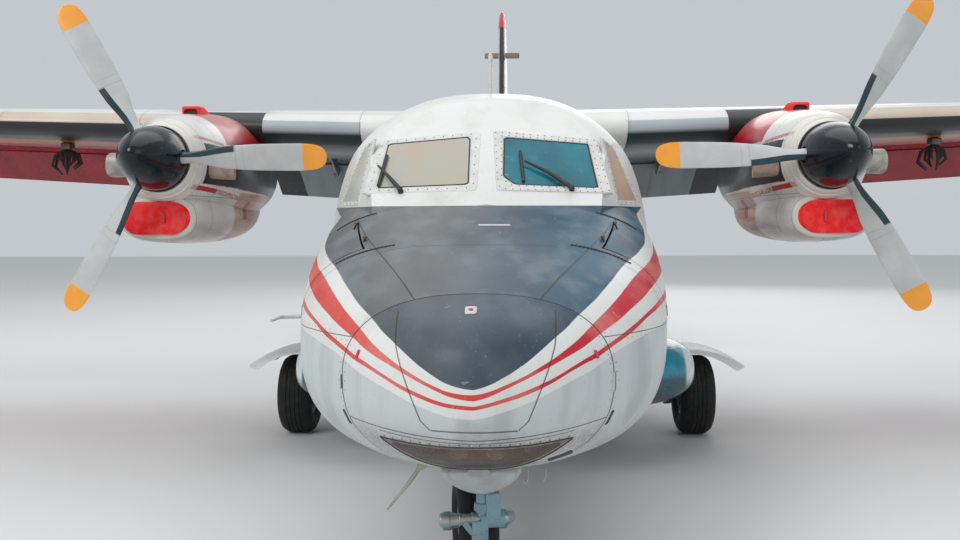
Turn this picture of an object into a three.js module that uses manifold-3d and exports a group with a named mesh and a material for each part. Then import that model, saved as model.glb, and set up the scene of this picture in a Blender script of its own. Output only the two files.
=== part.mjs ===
// A twin turboprop commuter airliner: a high wing, a fuselage with a flat-decked nose, three-bladed
// propellers, wheels on the fuselage sides and a tall fin. Millimetres, +Z up, the nose towards -Y
// and the aircraft's port side towards +X. A station is the distance aft of the nose's tip.
import * as THREE from 'three';
import { mergeVertices } from 'three/addons/utils/BufferGeometryUtils.js';
import Module from 'manifold-3d';

const wasm = await Module();
wasm.setup();

// Driving dimensions
const LENGTH = 14424;
const SEMI_SPAN = 9740;
const CABIN_WALL = 50;
const TAIL_WALL = 30;
const SEAT_GAP = 0.3;
const RUNNING_GAP = 8;
const RING_POINTS = 24;
const POD_POINTS = 16;

// Stations where one fuselage piece ends and the next begins
const RADOME_JOINT = 450;
const COCKPIT_JOINT = 3000;
const CABIN_JOINT = 7800;
const TAIL_END = 13900;
const TAIL_HOLLOW_END = 12300;
const CABIN_FLOOR = 860;

// The wing
const ROOT_CHORD = 2534;
const TIP_CHORD = 1267;
const ROOT_THICKNESS = 0.18;
const TIP_THICKNESS = 0.12;
const WING_ROOT_STATION = 4420;
const WING_SWEEP = 0.03;
const WING_LINE_Z = 2700;
const DIHEDRAL = Math.tan(THREE.MathUtils.degToRad(1.75));
const WING_INCIDENCE = THREE.MathUtils.degToRad(2);
const CENTRE_SECTION_EDGE = 1150;

// Flaps and ailerons
const FLAP_START = 0.70;
const FLAP_DROP = THREE.MathUtils.degToRad(36);
const FLAP_AXIS_DEPTH = 0.10;
const INNER_FLAP = [1300, 2330];
const OUTER_FLAP = [2450, 6050];
const FLAP_HINGES = [1640, 3000, 5450];
const AILERON_START = 0.73;
const AILERON_SPAN = [6200, 9420];
const FLAP_NOSE = 0.036;
const AILERON_NOSE = 0.028;

// Engines and propellers
const ENGINE_X = 2410;
const ENGINE_Z = 2380;
const PROPELLER_STATION = 3120;
const ENGINE_RADIUS = 235;
const ENGINE_BACK = 4700;
const BAY_GAP = 2.5;
const SHAFT_RADIUS = 40;

// Landing gear
const MAIN_STATION = 5170;
const MAIN_TRACK_HALF = 1820;
const MAIN_TYRE_RADIUS = 360;
const MAIN_TYRE_WIDTH = 310;
const MAIN_RIM_RADIUS = 190;
const NOSE_WHEEL_STATION = 1520;
const NOSE_STRUT_STATION = 1165;
const NOSE_TYRE_RADIUS = 275;
const NOSE_TYRE_WIDTH = 215;
const NOSE_RIM_RADIUS = 130;
const WHEEL_SIDES = 24;
const AXLE_RADIUS = 38;
const NOSE_STEER_AT_REST = THREE.MathUtils.degToRad(9);

// Colours and finishes
const WHITE_PAINT = { color: 0xe9ebec, roughness: 0.35, metalness: 0.0 };
const BLUE_GREY_PAINT = { color: 0x9db4c6, roughness: 0.4, metalness: 0.0 };
const CHARCOAL_PAINT = { color: 0x26282b, roughness: 0.7, metalness: 0.0 };
const RED_PAINT = { color: 0xb01c1c, roughness: 0.4, metalness: 0.0 };
const NAVY_PAINT = { color: 0x10131c, roughness: 0.2, metalness: 0.1 };
const BLADE_PAINT = { color: 0xb9bdc0, roughness: 0.45, metalness: 0.3 };
const STEEL = { color: 0x6d7076, roughness: 0.4, metalness: 0.9 };
const ALLOY = { color: 0x9ea4a8, roughness: 0.45, metalness: 0.8 };
const RUBBER = { color: 0x17181a, roughness: 0.9, metalness: 0.0 };
const GLASS = { color: 0x1d2428, roughness: 0.1, metalness: 0.0 };
const LAMP_GLASS = { color: 0x5a4436, roughness: 0.15, metalness: 0.0 };

const airliner = new THREE.Group();

// Places

function atStation(station) {
  return station - LENGTH / 2;
}

function point(x, station, z) {
  return new THREE.Vector3(x, atStation(station), z);
}

// Solids

// One closed body through rings of points that run in the same order, ends closed by fans
function loft(rings) {
  const positions = [];
  const triangles = [];
  const starts = [];
  for (const ring of rings) {
    starts.push(positions.length / 3);
    for (const p of ring) positions.push(p.x, p.y, p.z);
  }
  const count = rings.reduce((most, ring) => Math.max(most, ring.length), 0);
  const corner = (k, i) => starts[k] + (rings[k].length === 1 ? 0 : i % count);
  for (let k = 0; k + 1 < rings.length; k += 1) {
    for (let i = 0; i < count; i += 1) {
      const [a, b] = [corner(k, i), corner(k, i + 1)];
      const [c, d] = [corner(k + 1, i), corner(k + 1, i + 1)];
      if (a !== b) triangles.push(a, b, d);
      if (c !== d) triangles.push(a, d, c);
    }
  }
  for (const [k, turned] of [[0, true], [rings.length - 1, false]]) {
    if (rings[k].length === 1) continue;
    const middle = rings[k].reduce((sum, p) => sum.add(p), new THREE.Vector3());
    middle.divideScalar(count);
    const hub = positions.length / 3;
    positions.push(middle.x, middle.y, middle.z);
    for (let i = 0; i < count; i += 1) {
      const [a, b] = [corner(k, i), corner(k, i + 1)];
      triangles.push(hub, turned ? b : a, turned ? a : b);
    }
  }
  const geometry = new THREE.BufferGeometry();
  geometry.setAttribute('position', new THREE.Float32BufferAttribute(positions, 3));
  geometry.setIndex(triangles);
  return facingOut(geometry);
}

// The enclosed volume, negative when the faces point inwards
function signedVolume(geometry) {
  const place = geometry.getAttribute('position');
  const index = geometry.getIndex();
  const [a, b, c] = [new THREE.Vector3(), new THREE.Vector3(), new THREE.Vector3()];
  let volume = 0;
  for (let i = 0; i < index.count; i += 3) {
    a.fromBufferAttribute(place, index.getX(i));
    b.fromBufferAttribute(place, index.getX(i + 1));
    c.fromBufferAttribute(place, index.getX(i + 2));
    volume += a.dot(b.cross(c)) / 6;
  }
  return volume;
}

function facingOut(geometry) {
  if (signedVolume(geometry) < 0) {
    const index = geometry.getIndex();
    for (let i = 0; i < index.count; i += 3) {
      const second = index.getX(i + 1);
      index.setX(i + 1, index.getX(i + 2));
      index.setX(i + 2, second);
    }
  }
  return geometry;
}

// A three.js geometry as a solid that can be joined and cut
function solid(geometry) {
  const bare = geometry.clone();
  for (const name of Object.keys(bare.attributes)) {
    if (name !== 'position') bare.deleteAttribute(name);
  }
  const merged = facingOut(mergeVertices(bare, 1e-3));
  return new wasm.Manifold(new wasm.Mesh({
    numProp: 3,
    vertProperties: new Float32Array(merged.getAttribute('position').array),
    triVerts: new Uint32Array(merged.getIndex().array),
  }));
}

// A solid back as a three.js geometry
function geometryOf(body) {
  const mesh = body.getMesh();
  const geometry = new THREE.BufferGeometry();
  geometry.setAttribute('position', new THREE.BufferAttribute(mesh.vertProperties, 3));
  geometry.setIndex(new THREE.BufferAttribute(mesh.triVerts, 1));
  return geometry;
}

// The same solid on the other side of the aircraft
function mirrored(body) {
  const geometry = geometryOf(body);
  geometry.scale(-1, 1, 1);
  return solid(geometry);
}

function moved(body, matrix) {
  const geometry = geometryOf(body);
  geometry.applyMatrix4(matrix);
  return solid(geometry);
}

function addNode(name, body, look) {
  const mesh = new THREE.Mesh(geometryOf(body), new THREE.MeshStandardMaterial(look));
  mesh.name = name;
  airliner.add(mesh);
}

// The port solid and its mirror image on the starboard side
function addPair(name, body, look) {
  addNode(`port_${name}`, body, look);
  addNode(`starboard_${name}`, mirrored(body), look);
}

// A box between two stations, two heights and two distances from the centre plane
function block([x1, x2], [station1, station2], [z1, z2]) {
  const box = new THREE.BoxGeometry(x2 - x1, station2 - station1, z2 - z1);
  box.translate((x1 + x2) / 2, atStation((station1 + station2) / 2), (z1 + z2) / 2);
  return solid(box);
}

// A round bar, or a taper, from point a to point b
function bar(a, b, radiusA, radiusB = radiusA, sides = 12) {
  const along = new THREE.Vector3().subVectors(b, a);
  const cylinder = new THREE.CylinderGeometry(radiusB, radiusA, along.length(), sides);
  const turn = new THREE.Quaternion();
  turn.setFromUnitVectors(new THREE.Vector3(0, 1, 0), along.clone().normalize());
  cylinder.applyQuaternion(turn);
  const middle = new THREE.Vector3().addVectors(a, b).multiplyScalar(0.5);
  cylinder.translate(middle.x, middle.y, middle.z);
  return solid(cylinder);
}

// Three square directions of a hinge line: along it, aft of it, and across the surface
function lineFrame(a, b, across) {
  const along = new THREE.Vector3().subVectors(b, a).normalize();
  const aft = new THREE.Vector3().crossVectors(across, along).normalize();
  if (aft.y < 0) aft.negate();
  const normal = new THREE.Vector3().crossVectors(aft, along).normalize();
  return { along, aft, normal };
}

// A box on a hinge line, reaching fore and aft of it and 600 to each side of the surface
function sliceBehind(a, b, across, { foreA = 0, foreB = 0, aft = 2000, beyond = 0 }) {
  const frame = lineFrame(a, b, across);
  const reach = 600;
  const corner = (end, sign, distance, side) => end.clone()
    .addScaledVector(frame.along, sign * beyond)
    .addScaledVector(frame.aft, distance)
    .addScaledVector(frame.normal, side * reach);
  const ring = (end, sign, fore) => [
    corner(end, sign, -fore, -1),
    corner(end, sign, aft, -1),
    corner(end, sign, aft, 1),
    corner(end, sign, -fore, 1),
  ];
  return solid(loft([ring(a, -1, foreA), ring(b, 1, foreB)]));
}

// A flat plate of a given outline, its thickness spread along x
function plate(outline, x1, x2) {
  return solid(loft([x1, x2].map((x) => outline.map(([station, z]) => point(x, station, z)))));
}

// Hinged tail pieces: the moving part behind a line, with a round nose and pin holes
function splitAtHinge(surface, a, b, radiusA, radiusB, across) {
  const pinRadius = 12;
  const holeRadius = 13;
  const pinDepth = 30;
  const { along } = lineFrame(a, b, across);
  const moving = surface
    .intersect(sliceBehind(a, b, across, {}))
    .add(bar(a, b, radiusA, radiusB, 16));
  const notch = sliceBehind(a, b, across, {
    foreA: radiusA + RUNNING_GAP,
    foreB: radiusB + RUNNING_GAP,
    beyond: RUNNING_GAP,
  });
  const step = (end, distance) => end.clone().addScaledVector(along, distance);
  const holes = [
    bar(step(a, -1), step(a, pinDepth + 1), holeRadius),
    bar(step(b, 1), step(b, -pinDepth - 1), holeRadius),
  ];
  const pins = [
    bar(step(a, -RUNNING_GAP - 20), step(a, pinDepth), pinRadius),
    bar(step(b, RUNNING_GAP + 20), step(b, -pinDepth), pinRadius),
  ];
  return {
    moving: holes.reduce((body, hole) => body.subtract(hole), moving),
    notch,
    pins,
  };
}

// Fuselage sections

// A section with its own squareness above and below its widest height
function section(
  station, halfWidth, top, bottom, widest, squareTop, squareBottom = squareTop, count = RING_POINTS,
) {
  const ring = [];
  for (let i = 0; i < count; i += 1) {
    const angle = (2 * Math.PI * i) / count;
    const [c, s] = [Math.cos(angle), Math.sin(angle)];
    const square = s > 0 ? squareTop : squareBottom;
    const height = s > 0 ? top - widest : widest - bottom;
    const x = halfWidth * Math.sign(c) * Math.abs(c) ** (2 / square);
    const z = widest + height * Math.sign(s) * Math.abs(s) ** (2 / square);
    ring.push(point(x, station, z));
  }
  return ring;
}

// Columns: station, half width, top, bottom, widest height, squareness above, squareness below
const NOSE_CAP = [
  [12, 85, 1305, 1125, 1215, 2.0, 2.0],
  [60, 200, 1400, 1035, 1215, 2.1, 2.1],
  [140, 322, 1462, 945, 1212, 2.2, 2.2],
  [280, 460, 1518, 868, 1208, 2.3, 2.3],
  [450, 582, 1568, 815, 1205, 2.4, 2.4],
];
const LOWER_NOSE = [
  [450, 582, 1568, 815, 1205, 2.4, 2.4],
  [700, 750, 1650, 762, 1225, 2.5, 2.4],
  [1000, 880, 1735, 722, 1265, 2.7, 2.5],
  [1400, 962, 1852, 704, 1340, 2.9, 2.5],
  [1800, 1010, 1968, 700, 1430, 3.0, 2.5],
  [2050, 1026, 2040, 700, 1500, 3.0, 2.5],
  [2400, 1036, 2160, 700, 1600, 2.7, 2.5],
  [3000, 1040, 2400, 700, 1750, 2.5, 2.5],
];
const CANOPY = [
  [1880, 1018, 2300, 1300, 1600, 2.5, 2.5],
  [2300, 1032, 2480, 1200, 1650, 2.5, 2.5],
  [2450, 1036, 2610, 1150, 1690, 2.5, 2.5],
  [2650, 1040, 2720, 1000, 1720, 2.5, 2.5],
  [3000, 1040, 2800, 700, 1750, 2.5, 2.5],
];
const CABIN = [
  [3000, 1040, 2800, 700, 1750, 2.5, 2.5],
  [7800, 1040, 2800, 700, 1750, 2.5, 2.5],
];
const TAIL = [
  [7800, 1040, 2800, 700, 1750, 2.5, 2.5],
  [8700, 1040, 2800, 702, 1750, 2.5, 2.5],
  [9400, 1005, 2798, 775, 1765, 2.5, 2.5],
  [10300, 900, 2790, 975, 1840, 2.4, 2.4],
  [11300, 715, 2760, 1270, 1965, 2.3, 2.3],
  [12300, 490, 2700, 1590, 2105, 2.2, 2.2],
  [13200, 255, 2610, 1895, 2230, 2.1, 2.1],
  [13700, 105, 2530, 2100, 2300, 2.0, 2.0],
  [13900, 30, 2480, 2240, 2355, 2.0, 2.0],
];

// A fuselage length from a table, its skin moved in or out by a margin
function fuselage(table, margin = 0, floor = 0) {
  return loft(table.map(([station, halfWidth, top, bottom, widest, above, below]) => {
    const low = Math.max(bottom - margin, floor);
    return section(station, halfWidth + margin, top + margin, low, widest, above, below);
  }));
}

// The same table between two stations, with a section interpolated at each end
function between(table, first, last) {
  const at = (station) => {
    const k = Math.max(1, table.findIndex((row) => row[0] >= station));
    const share = (station - table[k - 1][0]) / (table[k][0] - table[k - 1][0]);
    return table[k].map((value, i) => table[k - 1][i] + share * (value - table[k - 1][i]));
  };
  const inside = table.filter((row) => row[0] > first && row[0] < last);
  return [at(first), ...inside, at(last)];
}

// The windscreen is two flat panes that meet at a centre post, with flat quarter panels beside them.
// Each plane is given by three points on the port side: x, station, z.
const WINDSCREEN_PLANE = [[0, 1925, 2045], [680, 2010, 2045], [0, 2345, 2480]];
const QUARTER_PLANE = [[680, 2010, 2045], [1000, 2720, 2045], [610, 2130, 2480]];

function planeOf(corners) {
  const [a, b, c] = corners.map(([x, station, z]) => point(x, station, z));
  const normal = new THREE.Vector3().crossVectors(b.clone().sub(a), c.clone().sub(a)).normalize();
  if (normal.y > 0) normal.negate();
  return { normal, anchor: a };
}

// The station where a plane passes a given x and height
function onPlane(plane, x, z) {
  const { normal, anchor } = plane;
  const y = anchor.y - (normal.x * (x - anchor.x) + normal.z * (z - anchor.z)) / normal.y;
  return new THREE.Vector3(x, y, z);
}

// A big box in front of a plane, which takes away what stands proud of it
function frontOf(plane) {
  const reach = 3000;
  const box = new THREE.BoxGeometry(2 * reach, 2 * reach, reach);
  const turn = new THREE.Quaternion();
  turn.setFromUnitVectors(new THREE.Vector3(0, 0, 1), plane.normal);
  box.translate(0, 0, reach / 2);
  box.applyQuaternion(turn);
  box.translate(plane.anchor.x, plane.anchor.y, plane.anchor.z);
  return solid(box);
}

// A flat pane between two depths under a plane, its outline given as x and z, drawn in by a margin
function pane(plane, outline, low, high, margin = 0) {
  const middle = outline.reduce(([mx, mz], [x, z]) => [mx + x / 4, mz + z / 4], [0, 0]);
  const corners = outline.map(([x, z]) => {
    const inX = x === 0 ? -20 : x + margin * Math.sign(middle[0] - x);
    return onPlane(plane, inX, z + margin * Math.sign(middle[1] - z));
  });
  return solid(loft([low, high].map((depth) => (
    corners.map((corner) => corner.clone().addScaledVector(plane.normal, depth))
  ))));
}

const windscreenPlane = planeOf(WINDSCREEN_PLANE);
const quarterPlane = planeOf(QUARTER_PLANE);
const FRONT_PANE = [[0, 2150], [650, 2100], [600, 2368], [0, 2405]];
const QUARTER_PANE = [[745, 2085], [925, 2050], [865, 2330], [700, 2385]];
const PANE_DEPTH = 14;

// Doors cut from the skin: each is a stretch of skin inside a prism across the aircraft
const DOOR_THICKNESS = 45;
const DOOR_SILL = 900;
const DOOR_HEAD = 2360;
const CARGO_DOOR = [7930, 8380];
const PASSENGER_DOOR = [8392, 9180];
const EXIT_DOOR = [3620, 4280];
const EXIT_SILL = 1200;
const EXIT_HEAD = 2150;
const LOCKER_THICKNESS = 20;
const LOCKER_BACK = 300;
const LOCKER_OUTLINE = [[1262, 1370], [1800, 1370], [1800, 1890], [1262, 1752]];
const DOOR_GAP = 6;
const LOCKER_FORE_GAP = 13;
const EXIT_AFT_GAP = 15;
const SILL_SLOPE = 0.25;
const SILL_SKIN_X = 728;

// Hinge lines stand a little outside the skin: each is a start, an end and its knuckles' places,
// with the way from the line to the frame's anchor and to the door's
const SKIN_HINGE = { x: 948, z: 2382 };
const EXIT_HINGE = { x: -1060, station: 3600 };
const LOCKER_HINGE = [[755, 1800, 1911], [585, 1262, 1771]];
const KNUCKLE_RADIUS = 13;
const KNUCKLE_LENGTH = 22;
const KNUCKLE_PIN = 6;
const KNUCKLE_HOLE = 7;
const STRAP_RADIUS = 9;

// One hinge: a knuckle with a pin on the frame, and a knuckle round the pin on the door
function hinge(axle, along, frameWay, doorWay) {
  const at = (t) => axle.clone().addScaledVector(along, t);
  const round = (from, to, radius) => bar(at(from), at(to), radius, radius, 8);
  const strap = (t, way) => bar(at(t), at(t).add(way), STRAP_RADIUS, STRAP_RADIUS, 8);
  const second = KNUCKLE_LENGTH + 2;
  const end = second + KNUCKLE_LENGTH;
  const frame = round(0, KNUCKLE_LENGTH, KNUCKLE_RADIUS)
    .add(strap(KNUCKLE_LENGTH / 2, frameWay))
    .add(round(0, end, KNUCKLE_PIN));
  const door = round(second, end, KNUCKLE_RADIUS)
    .add(strap(second + KNUCKLE_LENGTH / 2, doorWay))
    .subtract(round(second - 3, end + 3, KNUCKLE_HOLE));
  return { frame, door };
}

const AFT = new THREE.Vector3(0, 1, 0);
const skinHinges = (stations) => stations.map((station) => hinge(
  point(SKIN_HINGE.x, station, SKIN_HINGE.z), AFT,
  new THREE.Vector3(-68, 0, 26), new THREE.Vector3(-33, 0, -49),
));
const cargoHinges = skinHinges([7990, 8270]);
const passengerHinges = skinHinges([8520, 8980]);
const exitHinges = [1440, 1900].map((z) => hinge(
  point(EXIT_HINGE.x, EXIT_HINGE.station, z), new THREE.Vector3(0, 0, 1),
  new THREE.Vector3(60, -40, 0), new THREE.Vector3(56, 50, 0),
));
const lockerLine = LOCKER_HINGE.map(([x, station, z]) => point(x, station, z));
const lockerAlong = new THREE.Vector3().subVectors(lockerLine[1], lockerLine[0]).normalize();
const lockerHinges = [90, 420].map((t) => hinge(
  lockerLine[0].clone().addScaledVector(lockerAlong, t), lockerAlong,
  new THREE.Vector3(-125, 0, -3), new THREE.Vector3(35, 0, -63),
));

// The locker's outline grown by its running gaps
function lockerMouth() {
  const [lowFore, lowAft, highAft, highFore] = LOCKER_OUTLINE;
  const fore = lowFore[0] - LOCKER_FORE_GAP;
  const aft = lowAft[0] + DOOR_GAP;
  const sill = lowFore[1] - DOOR_GAP;
  const slope = (highAft[1] - highFore[1]) / (highAft[0] - highFore[0]);
  return [
    [fore, sill],
    [aft, sill],
    [aft, highAft[1] + DOOR_GAP + slope * DOOR_GAP],
    [fore, highFore[1] + DOOR_GAP - slope * LOCKER_FORE_GAP],
  ];
}

// Nose gear leg and bay bulge
const CHIN_BULGE = [
  [560, 60, 790, 745, 770, 2.0],
  [640, 130, 800, 660, 740, 2.2],
  [760, 185, 790, 580, 710, 2.3],
  [950, 212, 780, 532, 690, 2.4],
  [1095, 205, 780, 535, 690, 2.4],
];
const STRUT_RADIUS = 45;
const STRUT_TOP = 800;
const STRUT_COLLAR = 520;

function chinBulge() {
  const body = solid(loft(CHIN_BULGE.map((row) => section(...row))));
  return body.subtract(solid(fuselage(LOWER_NOSE, SEAT_GAP)));
}

function noseStrut(margin = 0) {
  const top = point(0, NOSE_STRUT_STATION, STRUT_TOP + margin);
  const foot = point(0, NOSE_STRUT_STATION, STRUT_COLLAR);
  return bar(foot, top, STRUT_RADIUS + margin);
}

// The landing light window wraps the chin just behind the radome joint
const LIGHT_WINDOW = [[-400, 870], [0, 800], [400, 870], [395, 948], [0, 968], [-395, 948]];
const LIGHT_DEPTH = 26;

function lightWindow(margin) {
  const outline = LIGHT_WINDOW.map(([x, z]) => {
    const [towardsX, towardsZ] = [Math.sign(x), Math.sign(z - 900)];
    return [x + margin * towardsX, z + margin * towardsZ];
  });
  const ring = (station) => outline.map(([x, z]) => point(x, station, z));
  return solid(loft([ring(0), ring(RADOME_JOINT - 10 + margin)]));
}

function noseCap() {
  const tip = [point(0, 0, 1215)];
  const rows = between(NOSE_CAP, 12, RADOME_JOINT - SEAT_GAP / 2);
  const skin = solid(loft([tip, ...rows.map((row) => section(...row))]));
  const shell = (gap) => skin.subtract(solid(loft(rows.map((
    [station, halfWidth, top, bottom, widest, above, below],
  ) => {
    const [half, low] = [halfWidth - 4 + gap, bottom + 4 - gap];
    return section(station + LIGHT_DEPTH - gap, half, top + gap, low, widest, above, below);
  }))));
  const glass = shell(SEAT_GAP).intersect(lightWindow(-SEAT_GAP));
  return { cap: skin.subtract(shell(0).intersect(lightWindow(0))), glass };
}

function forwardFuselage() {
  let canopy = solid(fuselage(CANOPY));
  const mirrorPlane = (plane) => mirrored(frontOf(plane));
  for (const plane of [windscreenPlane, quarterPlane]) {
    canopy = canopy.subtract(frontOf(plane)).subtract(mirrorPlane(plane));
  }
  let body = solid(fuselage(LOWER_NOSE)).add(canopy);
  const front = block([-1500, 1500], [-100, RADOME_JOINT + SEAT_GAP / 2], [0, 3000]);
  const back = block([-1500, 1500], [COCKPIT_JOINT - SEAT_GAP / 2, 3500], [0, 3000]);
  body = body.subtract(front).subtract(back);
  const cuts = [
    pane(windscreenPlane, FRONT_PANE, -PANE_DEPTH, 200),
    pane(quarterPlane, QUARTER_PANE, -PANE_DEPTH, 200),
    plate(lockerMouth(), LOCKER_BACK, 1500),
  ];
  for (const cut of cuts) body = body.subtract(cut).subtract(mirrored(cut));
  for (const { frame } of lockerHinges) body = body.add(frame).add(mirrored(frame));
  return body.subtract(noseStrut(SEAT_GAP));
}

function lockerDoor() {
  const skin = solid(fuselage(LOWER_NOSE)).subtract(solid(fuselage(LOWER_NOSE, -LOCKER_THICKNESS)));
  const panel = skin.intersect(plate(LOCKER_OUTLINE, LOCKER_BACK + 100, 1500));
  return lockerHinges.reduce((body, { door }) => body.add(door), panel);
}

function centreFuselage(wing) {
  const rows = between(CABIN, COCKPIT_JOINT + SEAT_GAP / 2, CABIN_JOINT - SEAT_GAP / 2);
  const inside = between(CABIN, COCKPIT_JOINT, CABIN_JOINT);
  inside[0][0] -= 10;
  inside[1][0] += 10;
  const mouth = block(
    [-1500, 0],
    [EXIT_DOOR[0] - DOOR_GAP, EXIT_DOOR[1] + EXIT_AFT_GAP],
    [EXIT_SILL - DOOR_GAP, EXIT_HEAD + DOOR_GAP],
  );
  const body = solid(fuselage(rows))
    .subtract(solid(fuselage(inside, -CABIN_WALL, CABIN_FLOOR)))
    .subtract(mouth)
    .subtract(wing);
  return exitHinges.reduce((all, { frame }) => all.add(frame), body);
}

function rearFuselage() {
  const rows = between(TAIL, CABIN_JOINT + SEAT_GAP / 2, TAIL_END);
  const inside = between(TAIL, CABIN_JOINT, TAIL_HOLLOW_END);
  inside[0][0] -= 10;
  const mouth = doorRegion([CARGO_DOOR[0], PASSENGER_DOOR[1]], DOOR_GAP);
  const body = solid(fuselage(rows))
    .subtract(solid(fuselage(inside, -TAIL_WALL, CABIN_FLOOR)))
    .subtract(mouth);
  return [...cargoHinges, ...passengerHinges].reduce((all, { frame }) => all.add(frame), body);
}

// The space of a port door, its sill sloping down outwards so that the door can swing up
function doorRegion([first, last], gap = 0) {
  const sillAt = (x) => DOOR_SILL - gap - SILL_SLOPE * (x - SILL_SKIN_X);
  const head = DOOR_HEAD + gap;
  const outline = [[300, sillAt(300)], [1500, sillAt(1500)], [1500, head], [300, head]];
  return solid(loft([first - gap, last + gap].map((station) => (
    outline.map(([x, z]) => point(x, station, z))
  ))));
}

function skinShell(table) {
  return solid(fuselage(table)).subtract(solid(fuselage(table, -DOOR_THICKNESS)));
}

function portDoor(stations, hinges) {
  const panel = skinShell(TAIL).intersect(doorRegion(stations));
  return hinges.reduce((body, { door }) => body.add(door), panel);
}

function exitDoor() {
  const panel = skinShell(CABIN).intersect(block([-1500, -400], EXIT_DOOR, [EXIT_SILL, EXIT_HEAD]));
  return exitHinges.reduce((body, { door }) => body.add(door), panel);
}

// Wing

// Shares of the chord where an aerofoil's outline has points
const CHORD_SHARES = [0.0, 0.012, 0.05, 0.12, 0.25, 0.42, 0.6, 0.8, 1.0];

// Half thickness of a unit aerofoil with a thin blunt trailing edge
function halfThickness(share, ratio) {
  const curve = 0.2969 * Math.sqrt(share) - 0.126 * share - 0.3516 * share ** 2
    + 0.2843 * share ** 3 - 0.1015 * share ** 4;
  return 5 * ratio * curve + 0.0015 * share;
}

// An aerofoil ring: place(share, height) turns chord shares into points
function aerofoil(ratio, camber, place, margin = 0) {
  const upper = CHORD_SHARES.map((share) => [share, 1]);
  const lower = CHORD_SHARES.slice(1).map((share) => [share, -1]);
  const outline = [...upper, ...lower.reverse()];
  return outline.map(([share, side]) => {
    const bow = camber * 4 * share * (1 - share);
    return place(share, bow + side * halfThickness(share, ratio), side * margin);
  });
}

function wingChord(x) {
  return ROOT_CHORD + (TIP_CHORD - ROOT_CHORD) * (x / SEMI_SPAN);
}

function wingLeadingEdge(x) {
  return WING_ROOT_STATION + WING_SWEEP * x;
}

// A point of the wing at a distance from the centre plane, a share of the chord and a height in chords
function wingPoint(x, share, height = 0, lift = 0) {
  const chord = wingChord(x);
  const station = wingLeadingEdge(x) + chord * (share + height * Math.sin(WING_INCIDENCE));
  const z = WING_LINE_Z + DIHEDRAL * x + lift
    + chord * (height * Math.cos(WING_INCIDENCE) - share * Math.sin(WING_INCIDENCE));
  return point(x, station, z);
}

function wingRing(x, scale = 1, margin = 0) {
  const ratio = ROOT_THICKNESS + (TIP_THICKNESS - ROOT_THICKNESS) * (x / SEMI_SPAN);
  const place = (share, height, lift) => {
    const along = 0.5 + (share - 0.5) * (scale * 0.3 + 0.7);
    const p = wingPoint(x, along, height * scale, lift);
    if (share === 0) p.y -= margin;
    if (share === 1) p.y += margin;
    return p;
  };
  return aerofoil(ratio, 0.02, place, margin);
}

function wingPanel(margin = 0) {
  const start = CENTRE_SECTION_EDGE + SEAT_GAP / 2 - margin;
  const rings = [
    wingRing(start, 1, margin),
    wingRing(SEMI_SPAN - 190, 1, margin),
    wingRing(SEMI_SPAN - 60, 0.8, margin),
    wingRing(SEMI_SPAN, 0.3, margin),
  ];
  return solid(loft(rings));
}

function wingCentre(margin = 0) {
  const edge = CENTRE_SECTION_EDGE - SEAT_GAP / 2 + margin;
  const ring = (x) => {
    const row = wingRing(Math.abs(x), 1, margin);
    row.forEach((p) => { p.x = x; });
    return row;
  };
  return solid(loft([ring(-edge), ring(0), ring(edge)]));
}

// A flap's hinge line runs under its nose
function flapAxisPoint(x) {
  return wingPoint(x, FLAP_START + 0.02, -FLAP_AXIS_DEPTH);
}

const flapAxisFrom = flapAxisPoint(INNER_FLAP[0]);
const flapAxisTo = flapAxisPoint(OUTER_FLAP[1]);
const UP = new THREE.Vector3(0, 0, 1);

// Turns a piece about the flap's hinge line, trailing edge down
function flapTurn(angle) {
  const axis = new THREE.Vector3().subVectors(flapAxisTo, flapAxisFrom).normalize();
  return new THREE.Matrix4()
    .makeTranslation(flapAxisFrom.x, flapAxisFrom.y, flapAxisFrom.z)
    .multiply(new THREE.Matrix4().makeRotationAxis(axis, -angle))
    .multiply(new THREE.Matrix4().makeTranslation(-flapAxisFrom.x, -flapAxisFrom.y, -flapAxisFrom.z));
}

// The point of the flap's hinge line at a distance from the centre plane
function onFlapAxis(x) {
  const share = (x - flapAxisFrom.x) / (flapAxisTo.x - flapAxisFrom.x);
  return flapAxisFrom.clone().lerp(flapAxisTo, share);
}

// Brackets: an ear on the wing carries a pin, and an arm on the flap turns on it
const LUG_THICKNESS = 18;
const LUG_GAP = 4;
const FLAP_PIN_RADIUS = 11;
const FLAP_HOLE_RADIUS = 11.5;
const CAMBER_LIFT = 0.012;

function alongFlapAxis(x, distance) {
  const along = new THREE.Vector3().subVectors(flapAxisTo, flapAxisFrom).normalize();
  return onFlapAxis(x).addScaledVector(along, distance);
}

// The wing's fixed ear under the skin at x, with the pin through its end
function wingEar(x) {
  const axle = onFlapAxis(x);
  const chord = wingChord(x);
  const station = axle.y + LENGTH / 2;
  const outline = [
    [station - 0.30 * chord, wingPoint(x, FLAP_START - 0.28).z],
    [station - 0.06 * chord, wingPoint(x, FLAP_START - 0.09).z],
    [station + 24, axle.z + 6],
    [station + 12, axle.z - 24],
    [station - 24, axle.z - 26],
  ];
  const pin = bar(alongFlapAxis(x, -2), alongFlapAxis(x, 2 * LUG_THICKNESS + 4), FLAP_PIN_RADIUS);
  return plate(outline, x - LUG_THICKNESS, x).add(pin);
}

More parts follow.
